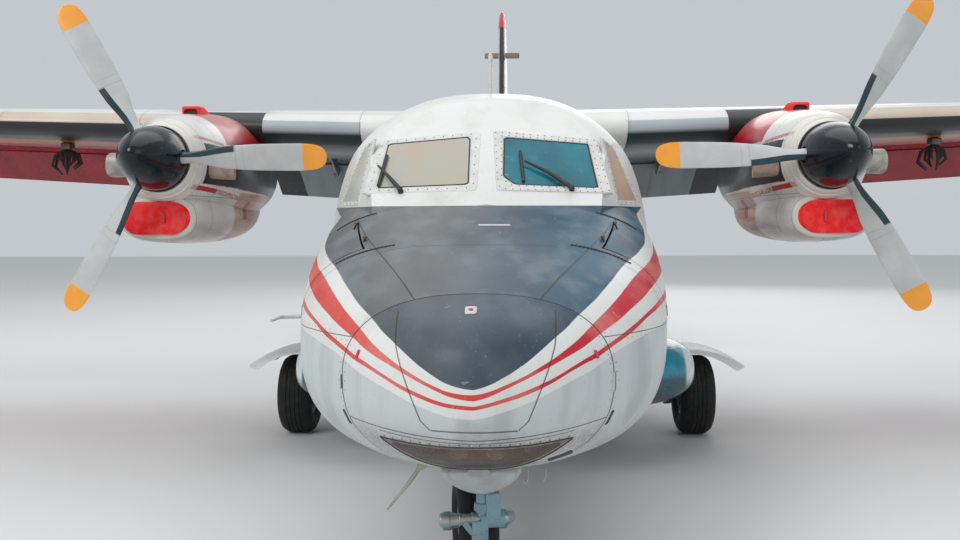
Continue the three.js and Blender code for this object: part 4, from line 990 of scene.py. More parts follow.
@dataclass
class Nose:
    """The round nose cap, the nose with the cockpit, their windows and small fittings."""

    lines: Lines = Lines(NOSE_ROWS, blunt=True)
    canopy: Lines = Lines(CANOPY_ROWS)
    joint: float = 450.0
    end: float = 3000.0
    gap: float = 1.5
    lamp_edge: tuple[float, float] = (824.0, 986.0)
    lamp_half: float = 400.0
    locker: tuple[tuple[float, float], ...] = ((1262, 1370), (1800, 1370), (1800, 1890), (1262, 1752))
    port_pane: tuple = ((102, 2425), (623, 2382), (663, 2096), (167, 2119), (99, 2169))
    port_frame: tuple = ((31, 2472), (688, 2412), (746, 2061), (57, 2078))
    starboard_pane: tuple = ((104, 2430), (620, 2390), (661, 2102), (104, 2119))
    starboard_frame: tuple = ((31, 2472), (688, 2416), (744, 2066), (50, 2078))
    quarter_pane: tuple = ((722, 2396), (790, 2362), (968, 2040), (806, 2030))

    def light_band(self, x: float, grow: float = 0.0) -> tuple[float, float]:
        """The lower and upper edge of the landing light window at x."""
        low, high = self.lamp_edge
        share = min(abs(x) / self.lamp_half, 1.0)
        return low + (high - low) * share ** 1.9 - grow, high + grow

    def radome(self, looks: Looks) -> None:
        """Builds the nose cap with its light window and lamps."""
        stations = np.linspace(0.4, math.sqrt(self.joint - self.gap), 44) ** 2
        cap = Bench.skin("nose_cap_shell", self.lines.rings(stations))
        xs = np.linspace(-0.86 * self.lamp_half, 0.86 * self.lamp_half, 33)
        low, high = np.array([self.light_band(x, -12) for x in xs]).T
        rings = [np.concatenate([spot(xs, s, low), spot(xs[::-1], s, high[::-1])]) for s in (-40, 425)]
        cap = Bench.merge(cap, Bench.skin("light_hollow", rings), Solid.CUT)
        dressed(cap, looks.hull, "charcoal_paint", nodes=["nose_cap"])
        face = self.lines.face(0, self.joint)
        xs = np.linspace(-0.995 * self.lamp_half, 0.995 * self.lamp_half, 81)
        rings = []
        for x in xs:
            low, high = self.light_band(x)
            heights = np.linspace(low, high, 9)
            rings.append(np.concatenate([face(x, heights, 2.0), face(x, heights[::-1], -3.0)]))
        window = Bench.skin("landing_light_glass", rings)
        dressed(window, looks.lamp_glass, "lamp_glass", nodes=["landing_light_window"])
        row = xs[2:-2:4]
        spots = face(row, self.lamp_edge[1] + 9, 0.5)
        screws = Bench.studs("light_window_screws", spots, face(row, self.lamp_edge[1] + 9, 1.5) - spots,
            0.0038)
        dressed(screws, looks.steel, "dark_steel")
        low, high = np.array([self.light_band(x) for x in xs]).T
        path = np.concatenate([face(xs, low, 1.4), face(xs[::-1], high[::-1], 1.4)[1:]])
        rim = Bench.tube("light_window_seal", path, 0.0028, 8)
        dressed(rim, looks.black_rubber, "dark_steel")
        for k, (x, z, station) in enumerate([(-215, 935, 385), (-75, 922, 345), (80, 922, 345),
                (235, 938, 390)]):
            self.lamp(f"landing_lamp_{k + 1}", spot(x, station, z), looks)

    def lamp(self, name: str, centre: Points, looks: Looks) -> None:
        """Builds a round lamp that faces forwards inside the window."""
        outline = np.array([(0.0, 26), (16, 23), (30, 14), (39, 0), (42, 0), (42, 4), (33, 18), (16, 29),
            (0.0, 31)])
        bowl = Bench.spun(f"{name}_bowl", outline * MM, centre, (0, 1, 0), (1, 0, 0), 32)
        dressed(bowl, looks.reflector, "wheel_alloy")
        outline = np.array([(0.0, -6), (20, -4), (38, 2), (38, 5), (0.0, 6)])
        lens = Bench.spun(f"{name}_lens", outline * MM, centre, (0, 1, 0), (1, 0, 0), 32)
        dressed(lens, looks.lens, "lamp_glass")

    def locker_edge(self, station: float, grow: float = 0.0) -> tuple[float, float]:
        """The sill and the head of a locker's mouth at a station."""
        (s0, low), _, (s1, high), (_, head) = self.locker
        return low - grow, head + (high - head) * (station - s0) / (s1 - s0) + grow

    def skin(self, looks: Looks) -> None:
        """Builds the nose aft of the cap with the cockpit roof and the locker bays."""
        stations = np.concatenate([np.linspace(self.joint + self.gap, 900, 20),
            np.linspace(930, self.end, 48)])
        body = Bench.skin("nose_skin", self.lines.rings(stations))
        roof = Bench.skin("cockpit_roof", self.canopy.rings(np.linspace(1880, self.end, 50)))
        for sign in SIDES.values():
            for corners in (WINDSCREEN_PLANE, QUARTER_PLANE):
                roof = Bench.merge(roof, half_space("ahead_of_pane", corners, sign), Solid.CUT)
        body = Bench.merge(body, roof, Solid.ADD)
        for sign in SIDES.values():
            corners = []
            for station in (self.locker[0][0] - 13, self.locker[1][0] + 6):
                low, high = self.locker_edge(station, 3)
                corners.append((station, low, high))
            (s0, a, b), (s1, c, d) = corners
            rings = [spot(x * sign, np.array([s0, s1, s1, s0]), np.array([a, c, d, b])) for x in (300, 1150)]
            body = Bench.merge(body, Bench.skin("locker_bay", rings), Solid.CUT)
        dressed(body, looks.hull, "white_paint", nodes=["forward_fuselage"], smooth=28)

    def locker_doors(self, looks: Looks) -> None:
        """Builds both nose locker doors with their straps, knuckles and latches."""
        for side, sign in SIDES.items():
            place = self.lines.side(sign)
            rings = []
            for station in np.linspace(self.locker[0][0], self.locker[1][0], 22):
                heights = np.linspace(*self.locker_edge(station), 22)
                rings.append(np.concatenate([place(station, heights, 0.8),
                    place(station, heights[::-1], -18.0)]))
            door = Bench.skin(f"{side}_locker_panel", rings)
            dressed(door, looks.hull, "white_paint", f"{side}_locker_door", [f"{side}_locker_door"])
            for k, station in enumerate((1340, 1720)):
                outline = np.array([station, 1430]) + rounded(26, 60, 8)
                latch = Bench.pad(f"{side}_locker_latch_{k + 1}", place, outline, 0.0, 4.0)
                dressed(latch, looks.steel, "dark_steel", f"{side}_locker_door")
            a, b = (spot(x * sign, s, z) for x, s, z in ((755, 1800, 1911), (585, 1262, 1771)))
            way = (b - a) / np.linalg.norm(b - a)
            for k, reach in enumerate((0.090, 0.420)):
                self.locker_hinge(side, sign, k + 1, a + reach * way, way, looks)

    def locker_hinge(self, side: str, sign: float, number: int, at: Points, way: Points,
            looks: Looks) -> None:
        """Builds one hinge: a knuckle and strap on the nose and on the door."""
        toward = {"fixed": ((0.0, 0.022), (-0.022, 0.0, 0.004)), "moving": ((0.024, 0.046),
            (0.020, 0.0, -0.040))}
        for part, ((start, stop), arm) in toward.items():
            knuckle = Bench.bar(f"{side}_locker_{part}_knuckle_{number}", at + start * way, at + stop * way,
                0.006, bevel=0.002)
            middle = at + (start + stop) / 2 * way
            arm = 0.7 * np.array([arm[0] * sign, *arm[1:]])
            strap = Bench.tube(f"{side}_locker_{part}_strap_{number}",
                [middle, middle + arm * 0.5, middle + arm], [0.006, 0.005, 0.004])
            piece = Bench.together(f"{side}_locker_{part}_hinge_{number}", [knuckle, strap])
            dressed(piece, looks.shadow, "dark_steel", BODY if part == "fixed" else f"{side}_locker_door")

    def windows(self, looks: Looks) -> None:
        """Builds the windscreen panes, the quarter panes and their riveted frames."""
        sets = {"port": (self.port_pane, self.port_frame, looks.teal_reflection_pane),
            "starboard": (self.starboard_pane, self.starboard_frame, looks.cream_pane)}
        for side, (inner, outer, look) in sets.items():
            place, _ = flat_place(WINDSCREEN_PLANE, SIDES[side])
            centre = np.mean(inner, axis=0)
            inside, outside = fan(inner, centre), fan(outer, centre)
            glass = Bench.pad(f"{side}_windscreen_pane", place, inside * 0.985 + centre * 0.015, -13.0, 1.5)
            dressed(glass, look, "cockpit_glass", nodes=["windscreen"] if side == "port" else [])
            seal = Bench.band(f"{side}_windscreen_seal", place, inside * 0.974 + centre * 0.026, inside
                * 1.004 - centre * 0.004, -5.0, 4.0)
            dressed(seal, looks.black_rubber, "dark_steel")
            high = 6.0 if side == "port" else 2.0
            frame_ring = Bench.band(f"{side}_windscreen_frame", place, inside, outside, -13.0, high)
            dressed(frame_ring, looks.window_frame, "white_paint", smooth=25)
            rows, pitch = ((0.25, 0.75), 44.0) if side == "port" else ((0.5,), 58.0)
            self.rivet_rows(f"{side}_windscreen_rivets", place, inside, outside, rows, high, looks, pitch)
            quarter, _ = flat_place(QUARTER_PLANE, SIDES[side])
            centre = np.mean(self.quarter_pane, axis=0)
            inside = fan(self.quarter_pane, centre)
            outside = fan(centre + (np.array(self.quarter_pane) - centre) * [1.26, 1.14], centre)
            glass = Bench.pad(f"{side}_quarter_glass", quarter, inside * 0.985 + centre * 0.015, -13.0, 1.0)
            dressed(glass, looks.quarter_panes[side], "cockpit_glass", nodes=[f"{side}_quarter_pane"])
            frame_ring = Bench.band(f"{side}_quarter_frame", quarter, inside, outside, -13.0, 4.0)
            dressed(frame_ring, looks.window_frame, "white_paint", smooth=25)
            self.rivet_rows(f"{side}_quarter_rivets", quarter, inside, outside, (0.5,), 4.0, looks)

    def rivet_rows(self, name: str, place: Place, inside: Points, outside: Points, shares: Sequence[float],
            lift: float, looks: Looks, pitch: float = 40.0) -> None:
        """Sets rows of rivets round a window frame.

        Args:
            name: The name of the rivets.
            place: The plane that the frame lies on.
            inside: The frame's inner outline.
            outside: The frame's outer outline.
            shares: Where each row runs between them.
            lift: The frame's height.
            looks: The finishes.
            pitch: The spacing.
        """
        spots = []
        for share in shares:
            line = inside + (outside - inside) * share
            closed = np.concatenate([line, line[:1]])
            reach = np.concatenate([[0], np.cumsum(np.linalg.norm(np.diff(closed, axis=0), axis=1))])
            at = np.arange(0, reach[-1], pitch)
            spots.append(place(np.interp(at, reach, closed[:, 0]), np.interp(at, reach, closed[:, 1]), lift))
        spots = np.concatenate(spots)
        way = place(0.0, 2200.0, 1.0) - place(0.0, 2200.0, 0.0)
        heads = Bench.studs(name, spots, way.reshape(3), 0.0042)
        dressed(heads, looks.dark_rivet, "dark_steel")

    def wipers(self, looks: Looks) -> None:
        """Builds both windscreen wipers."""
        lines = {"starboard": [((-508, 2020, 2077), (-586, 2105, 2158), (-660, 2185, 2229)),
            ((-614, 2252, 2304), (-641, 2068, 2110))], "port": [((501, 2025, 2083), (366, 2100, 2179),
            (225, 2152, 2251)), ((200, 2218, 2323), (219, 2033, 2128))]}
        for side, (arm, blade) in lines.items():
            _, way = flat_place(WINDSCREEN_PLANE, SIDES[side])
            off = np.array(way) * 0.024
            path = trail(*arm) + off
            rod = Bench.tube(f"{side}_wiper_arm", path, [0.014, 0.011, 0.0065])
            pivot = Bench.bar(f"{side}_wiper_pivot", path[0] - off * 1.6, path[0] + off * 0.5, 0.019, 0.015,
                bevel=0.003)
            ends = trail(*blade) + off * 0.55
            holder = Bench.tube(f"{side}_wiper_blade", ends, 0.009)
            piece = Bench.together(f"{side}_wiper", [rod, pivot, holder])
            dressed(piece, looks.black_rubber, "dark_steel")

    def fittings(self, looks: Looks) -> None:
        """Builds the small doors, plates, straps and probes on the nose."""
        face = self.lines.face(0, 2300)
        crown = self.lines.crown()
        for side, sign in SIDES.items():
            place = self.lines.side(sign)
            small = (("access_door", (350, 1330), (92, 64), 10, 0.0, 1.6, looks.hull),
                ("access_catch", (352, 1322), (16, 34), 5, 1.6, 6.0, looks.red_tag),
                ("lower_latch", (462, 1192), (46, 84) if side == "port" else (24, 60), 8, 0.0, 5.0,
                # The slit is a dark pad of painted shade in the vent's opening
                looks.hull), ("slit", (478, 1035), (20, 64), 8, -1.0, 1.2, looks.shadow))
            for what, (s, z), size, radius, low, high, look in small:
                piece = Bench.pad(f"{side}_nose_{what}", place, np.array([s, z]) + rounded(*size, radius),
                    low, high)
                dressed(piece, look, "white_paint")
            for k, (station, x0, x1) in enumerate(((1900, 640, 860), (1200, 450, 740))):
                xs = np.linspace(x0, x1, 16) * sign
                rings = [np.concatenate([crown(station + s, xs, 2.5), crown(station + s, xs[::-1], -1.0)])
                    for s in (-8, -7, 7, 8)]
                strap = Bench.skin(f"{side}_nose_strap_{k + 1}", rings)
                heads = crown(station - 3.0, xs, 2.0)
                heads = Bench.studs("strap_heads", heads, crown(station - 3.0, xs, 3.0) - heads, 0.008)
                strap = Bench.together(f"{side}_nose_strap_{k + 1}", [strap, heads])
                dressed(strap, looks.shadow, "charcoal_paint")
            if side == "starboard":
                path = trail((-945, 1420, 1392), (-1062, 1415, 1388), (-1080, 1400, 1387),
                    (-1082, 1370, 1386), (-1084, 1215, 1384))
                probe = Bench.tube("pitot_probe", path, [0.012, 0.011, 0.010, 0.009, 0.007])
                dressed(probe, looks.latch_plate, "dark_steel")
        plate = Bench.pad("nose_latch_plate", crown, np.array([262, -20]) + rounded(70, 48, 10), 0.0, 3.0)
        dressed(plate, looks.latch_plate, "white_paint")
        button = Bench.bar("nose_latch_button", crown(262.0, -20.0, 2.0).reshape(3),
            crown(262.0, -20.0, 8.0).reshape(3), 0.011, 0.009, bevel=0.002)
        dressed(button, looks.red_tag, "red_paint")
        for k, (x, z) in enumerate(((215, 830), (288, 838))):
            path = trail((x, 345, z + 6), (x - 3, 330, z - 30), (x - 12, 326, z - 44), (x - 20, 330, z - 36))
            hook = Bench.tube(f"chin_hook_{k + 1}", path, 0.0035, 8)
            dressed(hook, looks.beige_fitting, "wheel_alloy")
        turn = np.array([[0.966, 0.259], [-0.259, 0.966]])
        slit = Bench.pad("chin_vent", face, np.array([352, 880]) + rounded(112, 32, 12) @ turn, -1.0, 2.0)
        dressed(slit, looks.black_rubber, "dark_steel")
        path = trail((-280, 800, 740), (-330, 808, 668), (-400, 818, 580), (-440, 826, 528))
        mast = Bench.tube("chin_mast", path, [0.012, 0.010, 0.007, 0.004])
        dressed(mast, looks.beige_fitting, "wheel_alloy")
        foot = Bench.bar("chin_mast_foot", spot(-262, 798, 768), spot(-284, 801, 732), 0.026, 0.018,
            bevel=0.004)
        dressed(foot, looks.beige_fitting, "wheel_alloy")


CABIN_ROWS = ((3000, 1040, 2800, 700, 1750, 2.5, 2.5), (7800, 1040, 2800, 700, 1750, 2.5, 2.5))
TAIL_ROWS = ((7800, 1040, 2800, 700, 1750, 2.5, 2.5), (8700, 1040, 2800, 702, 1750, 2.5, 2.5),
    (9400, 1005, 2798, 775, 1765, 2.5, 2.5), (10300, 900, 2790, 975, 1840, 2.4, 2.4),
    (11300, 715, 2760, 1270, 1965, 2.3, 2.3), (12300, 490, 2700, 1590, 2105, 2.2, 2.2),
    (13200, 255, 2610, 1895, 2230, 2.1, 2.1), (13700, 105, 2530, 2100, 2300, 2.0, 2.0),
    (13900, 30, 2480, 2240, 2355, 2.0, 2.0))


@dataclass
class Cabin:
    """The cabin and tail of the fuselage with their doors, windows and floors."""

    lines: Lines = Lines(CABIN_ROWS)
    tail: Lines = Lines(TAIL_ROWS)
    joint: float = 7800.0
    wall: float = 50.0
    tail_wall: float = 30.0
    floor: float = 860.0
    door_skin: float = 45.0
    sill: float = 900.0
    head: float = 2360.0
    cargo: tuple[float, float] = (7930.0, 8380.0)
    passenger: tuple[float, float] = (8392.0, 9180.0)
    exit: tuple[float, float, float, float] = (3620.0, 4280.0, 1200.0, 2150.0)
    window: tuple[float, float] = (300.0, 330.0)
    window_height: float = 2040.0
    hinge_line: tuple[float, float] = (948.0, 2382.0)

    def side_block(self, name: str, sign: float, outline: Points) -> Piece:
        """A block through the skin with a given outline of stations and heights."""
        rings = [spot(sign * x, *np.asarray(outline).T) for x in (400.0, 1300.0)]
        return Bench.skin(name, rings)

    def shell(self, looks: Looks) -> None:
        """Builds the cabin's shell with its floor and the crew exit's mouth."""
        stations = np.linspace(3000 + 0.5, self.joint - 0.5, 49)
        body = Bench.skin("cabin_shell", self.lines.rings(stations))
        inside = np.linspace(3060, self.joint + 40, 9)
        core = Bench.skin("cabin_inside", self.lines.rings(inside, -self.wall, floor=self.floor))
        body = Bench.merge(body, core, Solid.CUT)
        first, last, low, high = self.exit
        outline = np.array([(first + last + 9) / 2, (low + high) / 2])
        outline = outline + rounded(last - first + 21, high - low + 12, 60)
        body = Bench.merge(body, self.side_block("exit_mouth", -1, outline), Solid.CUT)
        dressed(body, looks.hull, "white_paint", nodes=["centre_fuselage"], smooth=30)

    def tail_shell(self, looks: Looks) -> None:
        """Builds the tail's shell with its floor and the mouths of the port doors."""
        stations = np.linspace(self.joint + 0.5, 13900, 90)
        body = Bench.skin("tail_shell", self.tail.rings(stations))
        inside = np.linspace(self.joint - 40, 12300, 40)
        core = Bench.skin("tail_inside", self.tail.rings(inside, -self.tail_wall, floor=self.floor))
        body = Bench.merge(body, core, Solid.CUT)
        first, last = self.cargo[0] - 6, self.passenger[1] + 6
        outline = np.array([(first + last) / 2, (self.sill + self.head) / 2])
        outline = outline + rounded(last - first, self.head - self.sill + 12, 70)
        body = Bench.merge(body, self.side_block("door_mouth", 1, outline), Solid.CUT)
        dressed(body, looks.hull, "white_paint", nodes=["rear_fuselage"], smooth=30)
        bead = Bench.skin("door_post_strip", [np.concatenate([self.tail.side(1)(s,
            np.linspace(915, 2345, 24), 1.0), self.tail.side(1)(s, np.linspace(2345, 915, 24), -28.0)])
            for s in (8381.5, 8390.5)])
        dressed(bead, looks.black_rubber, "charcoal_paint")

    def door(self, name: str, lines: Lines, sign: float, span: Sequence[float], heights: Sequence[float],
            corners: Sequence[float], looks: Looks) -> None:
        """Builds a door that is a cut of the skin, with its stiffeners and handle.

        Args:
            name: The node and body that it stands for.
            lines: The form of the fuselage there.
            sign: 1 to port and -1 to starboard.
            span: Its first and last station.
            heights: Its sill and head.
            corners: The radius of its corners at the fore and aft end.
            looks: The finishes.
        """
        place = lines.side(sign)
        low, high = heights
        rings = []
        for station in np.linspace(*span, 25):
            ease_low = ease_high = 0.0
            for edge, radius in zip(span, corners):
                away = radius - abs(station - edge)
                if away > 0:
                    ease_low = ease_high = radius - math.sqrt(max(radius ** 2 - away ** 2, 0))
            rows = np.linspace(low + ease_low, high - ease_high, 40)
            rings.append(np.concatenate([place(station, rows, 0.0),
                place(station, rows[::-1], -self.door_skin)]))
        panel = Bench.skin(f"{name}_panel", rings)
        dressed(panel, looks.hull, "white_paint", name, [name])
        middle = np.array([sum(span) / 2, low + 0.42 * (high - low)])
        width = span[1] - span[0]
        middle = middle + [-0.18 * width, 0]
        recess = Bench.pad(f"{name}_handle_plate", place, middle + rounded(190, 110, 30), 0.0, 2.5)
        dressed(recess, looks.steel, "dark_steel", name)
        grip = place(*(middle + np.array([[-70, 0], [-50, 0], [50, 0], [70, 0]])).T, 14.0)
        grip[[0, -1]] = place(*(middle + np.array([[-72, 0], [72, 0]])).T, -1.0)
        bar = Bench.tube(f"{name}_handle", grip, 0.009)
        dressed(bar, looks.alloy, "wheel_alloy", name)
        for k, height in enumerate(np.linspace(low + 0.16 * (high - low), high - 0.12 * (high - low), 4)):
            rib = Bench.slab(f"{name}_rib_{k + 1}", place, np.linspace(span[0] + 60, span[1] - 60, 12),
                np.array([height - 14, height + 14]), -self.door_skin - 22, -self.door_skin + 2)
            dressed(rib, looks.interior, "dark_steel", name)

    def doors(self, looks: Looks) -> None:
        """Builds the cargo door, the passenger door and the crew exit with their hinges."""
        self.door("cargo_door", self.tail, 1, self.cargo, (self.sill + 4, self.head), (64, 4), looks)
        self.door("passenger_door", self.tail, 1, self.passenger, (self.sill + 4, self.head), (4, 64), looks)
        self.door("crew_exit_door", self.lines, -1, self.exit[:2], self.exit[2:], (54, 54), looks)
        x, z = self.hinge_line
        for name, stations in (("cargo_door", (7990, 8270)), ("passenger_door", (8520, 8980))):
            for k, station in enumerate(stations):
                axle = spot(x, station, z)
                self.hinge(f"{name}_{k + 1}", name, axle, (0, 1, 0), (-0.056, 0, 0.021),
                    (-0.030, 0, -0.044), looks)
        for k, z in enumerate((1440, 1900)):
            axle = spot(-1060, 3600, z)
            self.hinge(f"crew_exit_{k + 1}", "crew_exit_door", axle, (0, 0, 1), (0.050, -0.033, 0),
                (0.046, 0.041, 0), looks)

    def hinge(self, name: str, body: str, axle: Points, way: Points, fixed: Points, moving: Points,
            looks: Looks) -> None:
        """Builds a knuckle and strap on the skin and another on the door.

        Args:
            name: The start of the pieces' names.
            body: The door's body.
            axle: The near end of its pin, in metres.
            way: The pin's direction.
            fixed: Where the skin's strap ends, from the knuckle.
            moving: Where the door's strap ends.
            looks: The finishes.
        """
        axle, way = np.asarray(axle), np.asarray(way, float)
        for part, (start, stop), arm in (("skin", (0.0, 0.022), fixed), ("door", (0.024, 0.046), moving)):
            knuckle = Bench.bar(f"{name}_{part}_knuckle", axle + start * way, axle + stop * way, 0.0125,
                bevel=0.002)
            middle = axle + (start + stop) / 2 * way
            strap = Bench.tube(f"{name}_{part}_strap", [middle, middle + np.asarray(arm)], [0.0088, 0.0078])
            piece = Bench.together(f"{name}_{part}_hinge", [knuckle, strap])
            dressed(piece, looks.steel, "dark_steel", body if part == "door" else BODY)

    def windows(self, looks: Looks) -> None:
        """Builds the cabin windows with their frames on both sides."""
        width, height = self.window
        rows = {"port": [3960, 4710, 5460, 6210, 6960, 7560], "starboard": [4710, 5460, 6210, 6960, 7560,
            8200, 8800]}
        todo = [(side, station, BODY) for side, line in rows.items() for station in line]
        todo += [("port", 8790.0, "passenger_door"), ("starboard", 3950.0, "crew_exit_door")]
        for side, station, body in todo:
            sign = SIDES[side]
            lines = self.lines if station < self.joint else self.tail
            place = lines.side(sign)
            middle = np.array([station, self.window_height if body != "crew_exit_door" else 1930])
            inside = middle + rounded(width - 60, height - 60, 70, 8, 7)
            outside = middle + rounded(width, height, 96, 8, 7)
            name = f"{side}_window_{int(station)}"
            glass = Bench.pad(f"{name}_glass", place, inside, -2.0, 2.0)
            dressed(glass, looks.cabin_glass, "cockpit_glass", body)
            ring = Bench.band(f"{name}_frame", place, inside, outside, -1.0, 3.5)
            dressed(ring, looks.window_frame, "white_paint", body, smooth=25)

    def aerial(self, name: str, station: float, half_width: float, rows: Sequence[Sequence[float]]) -> Piece:
        """An aerial through rows of height, half length and lean aft."""
        turn = np.linspace(0, 2 * np.pi, 28, endpoint=False)
        return Bench.skin(name, [spot(half_width * np.sin(turn), station + lean + half * np.cos(turn), z)
            for z, half, lean in rows])

    def roof(self, looks: Looks) -> None:
        """Builds the roof aerial with its knob, and the small aerials behind the wing."""
        mast = self.aerial("roof_aerial_mast", 3260, 12, ((2745, 60, 0), (2900, 42, 0), (3060, 26, 0)))
        dressed(mast, looks.white_part, "wheel_alloy", nodes=["roof_aerial"])
        knob = Bench.spun("roof_aerial_knob", np.array([(0.0, 3050), (10, 3054), (17, 3066), (19, 3084),
            (17, 3104), (10, 3124), (0.0, 3130)]) * MM, spot(0, 3260, 0), (0, 0, 1), (1, 0, 0), 28)
        dressed(knob, looks.white_part, "wheel_alloy")
        for k, station in enumerate((7300, 9300)):
            blade = self.aerial(f"roof_blade_{k + 1}", station, 9, ((2780, 95, 0), (2900, 62, 60),
                (3010, 34, 120)))
            dressed(blade, looks.white_part, "white_paint")


@dataclass
class ChinGear:
    """The bulge under the nose, the nose strut, its fork and its wheel."""

    bulge: Lines = Lines(((560, 55, 790, 750, 770, 1.8), (640, 120, 800, 686, 745, 1.7),
        (760, 172, 790, 622, 720, 1.7), (950, 196, 780, 582, 705, 1.75), (1095, 192, 780, 578, 700, 1.8)))
    strut_station: float = 1165.0
    wheel_station: float = 1520.0
    tyre: tuple[float, float, float] = (275.0, 215.0, 130.0)
    axle: float = 272.65
    barrel: float = 385.0
    steer: float = math.radians(9)

    def turned(self) -> Matrix:
        """The turn of the steered pieces about the strut."""
        foot = Vector(spot(0, self.strut_station, 0))
        return Matrix.Translation(foot) @ Matrix.Rotation(self.steer, 4, "Z") @ Matrix.Translation(-foot)

    def house(self, looks: Looks) -> None:
        """Builds the bulge, the fixed upper strut and its braces."""
        stations = np.concatenate([np.linspace(560, 700, 12), np.linspace(720, 1095, 18)])
        shell = Bench.skin("nose_gear_house", self.bulge.rings(stations, count=64))
        dressed(shell, looks.hull, "blue_grey_paint", nodes=["nose_gear_bulge"])
        outline = np.array([(0, 520), (44, 520), (50, 528), (50, 545), (45, 545), (45, 700), (45, 800),
            (0, 800)]) * MM
        strut = Bench.spun("nose_strut_tube", outline, spot(0, self.strut_station, 0), (0, 0, 1), (1, 0, 0),
            36)
        dressed(strut, looks.blue_steel, "blue_grey_paint", nodes=["nose_strut"])
        brace = Bench.tube("nose_gear_brace", trail((0, 1175, 600), (0, 1560, 712)), [0.020, 0.017])
        dressed(brace, looks.blue_steel, "blue_grey_paint")
        for sign in SIDES.values():
            path = trail((20 * sign, 1165, 575), (205 * sign, 1190, 715))
            brace = Bench.tube(f"nose_gear_side_brace_{sign}", path, [0.015, 0.013])
            dressed(brace, looks.blue_steel, "blue_grey_paint")

    def fork(self, looks: Looks) -> None:
        """Builds the steered fork with its barrel, arms, link and axle."""
        arm_x = 0.5 * self.tyre[1] + 44
        s, w = self.strut_station, self.wheel_station
        turn = self.turned()
        column = Bench.bar("fork_column", spot(0, s, self.barrel), spot(0, s, 519), 0.034, 0.034, 36, 0.003)
        collar = Bench.bar("fork_collar", spot(0, s, 428), spot(0, s, 470), 0.047, 0.043, 36, 0.004)
        barrel = Bench.bar("fork_barrel", spot(-arm_x - 70, s, self.barrel),
            spot(arm_x - 22, s, self.barrel), 0.028, 0.028, 36, 0.005)
        rings = [Bench.bar(f"fork_band_{k}", spot(x - w, s, self.barrel), spot(x + w, s, self.barrel),
            0.034, 0.034, 36, 0.004) for k, (x, w) in enumerate(((-196, 22), (-120, 4), (-46, 12)))]
        knuckle = Bench.bar("fork_knuckle", spot(-14, s, self.barrel), spot(112, s, self.barrel), 0.046,
            0.046, 36, 0.008)
        plate = Bench.box("fork_plate", spot(-60, s - 42, 262), spot(24, s - 16, self.barrel), 0.008)
        axle = Bench.bar("fork_axle", spot(-arm_x - 20, w, self.axle), spot(arm_x + 20, w, self.axle),
            0.038, 0.038, 36, 0.004)
        arms = []
        for sign in SIDES.values():
            x = sign * arm_x
            path = trail((0.7 * x, s, self.barrel), (x, s + 95, 362), (x, w - 110, 296), (x, w, self.axle))
            arms.append(Bench.tube(f"fork_arm_{sign}", path, [0.030, 0.031, 0.028, 0.030], 24))
            boss = Bench.bar(f"fork_boss_{sign}", spot(x - 24, w, self.axle), spot(x + 24, w, self.axle),
                0.050, 0.050, 36, 0.006)
            nut = Bench.bar(f"fork_nut_{sign}", spot(x + 24 * sign, w, self.axle),
                spot(x + 38 * sign, w, self.axle), 0.026, 0.024, 6, 0.002)
            arms += [boss, nut]
        path = trail((-98, 1150, 380), (-60, 1146, 330), (-6, 1150, 354))
        link = Bench.tube("fork_link", path, [0.019, 0.022, 0.016])
        horn = Bench.box("fork_horn", spot(10, s - 50, self.barrel), spot(86, s + 24, 528), 0.012)
        piece = Bench.together("nose_fork_legs", [column, collar, knuckle, plate, axle, *arms, link, horn])
        piece.data.transform(turn)
        dressed(piece, looks.blue_steel, "blue_grey_paint", "nose_gear", ["nose_fork"])
        tube = Bench.together("nose_fork_barrel", [barrel, *rings])
        tube.data.transform(turn)
        dressed(tube, looks.silver, "wheel_alloy", "nose_gear")

    def wheel(self, looks: Looks) -> None:
        """Builds the nose tyre and its rim, turned with the fork."""
        centre = spot(0, self.wheel_station, self.axle)
        tyre, rim = wheel_pair("nose", self.tyre, centre)
        for piece in (tyre, rim):
            piece.data.transform(self.turned())
        dressed(tyre, looks.tyre, "tyre_rubber", "nose_wheel", ["nose_tyre"])
        dressed(rim, looks.alloy, "wheel_alloy", "nose_wheel", ["nose_rim"])


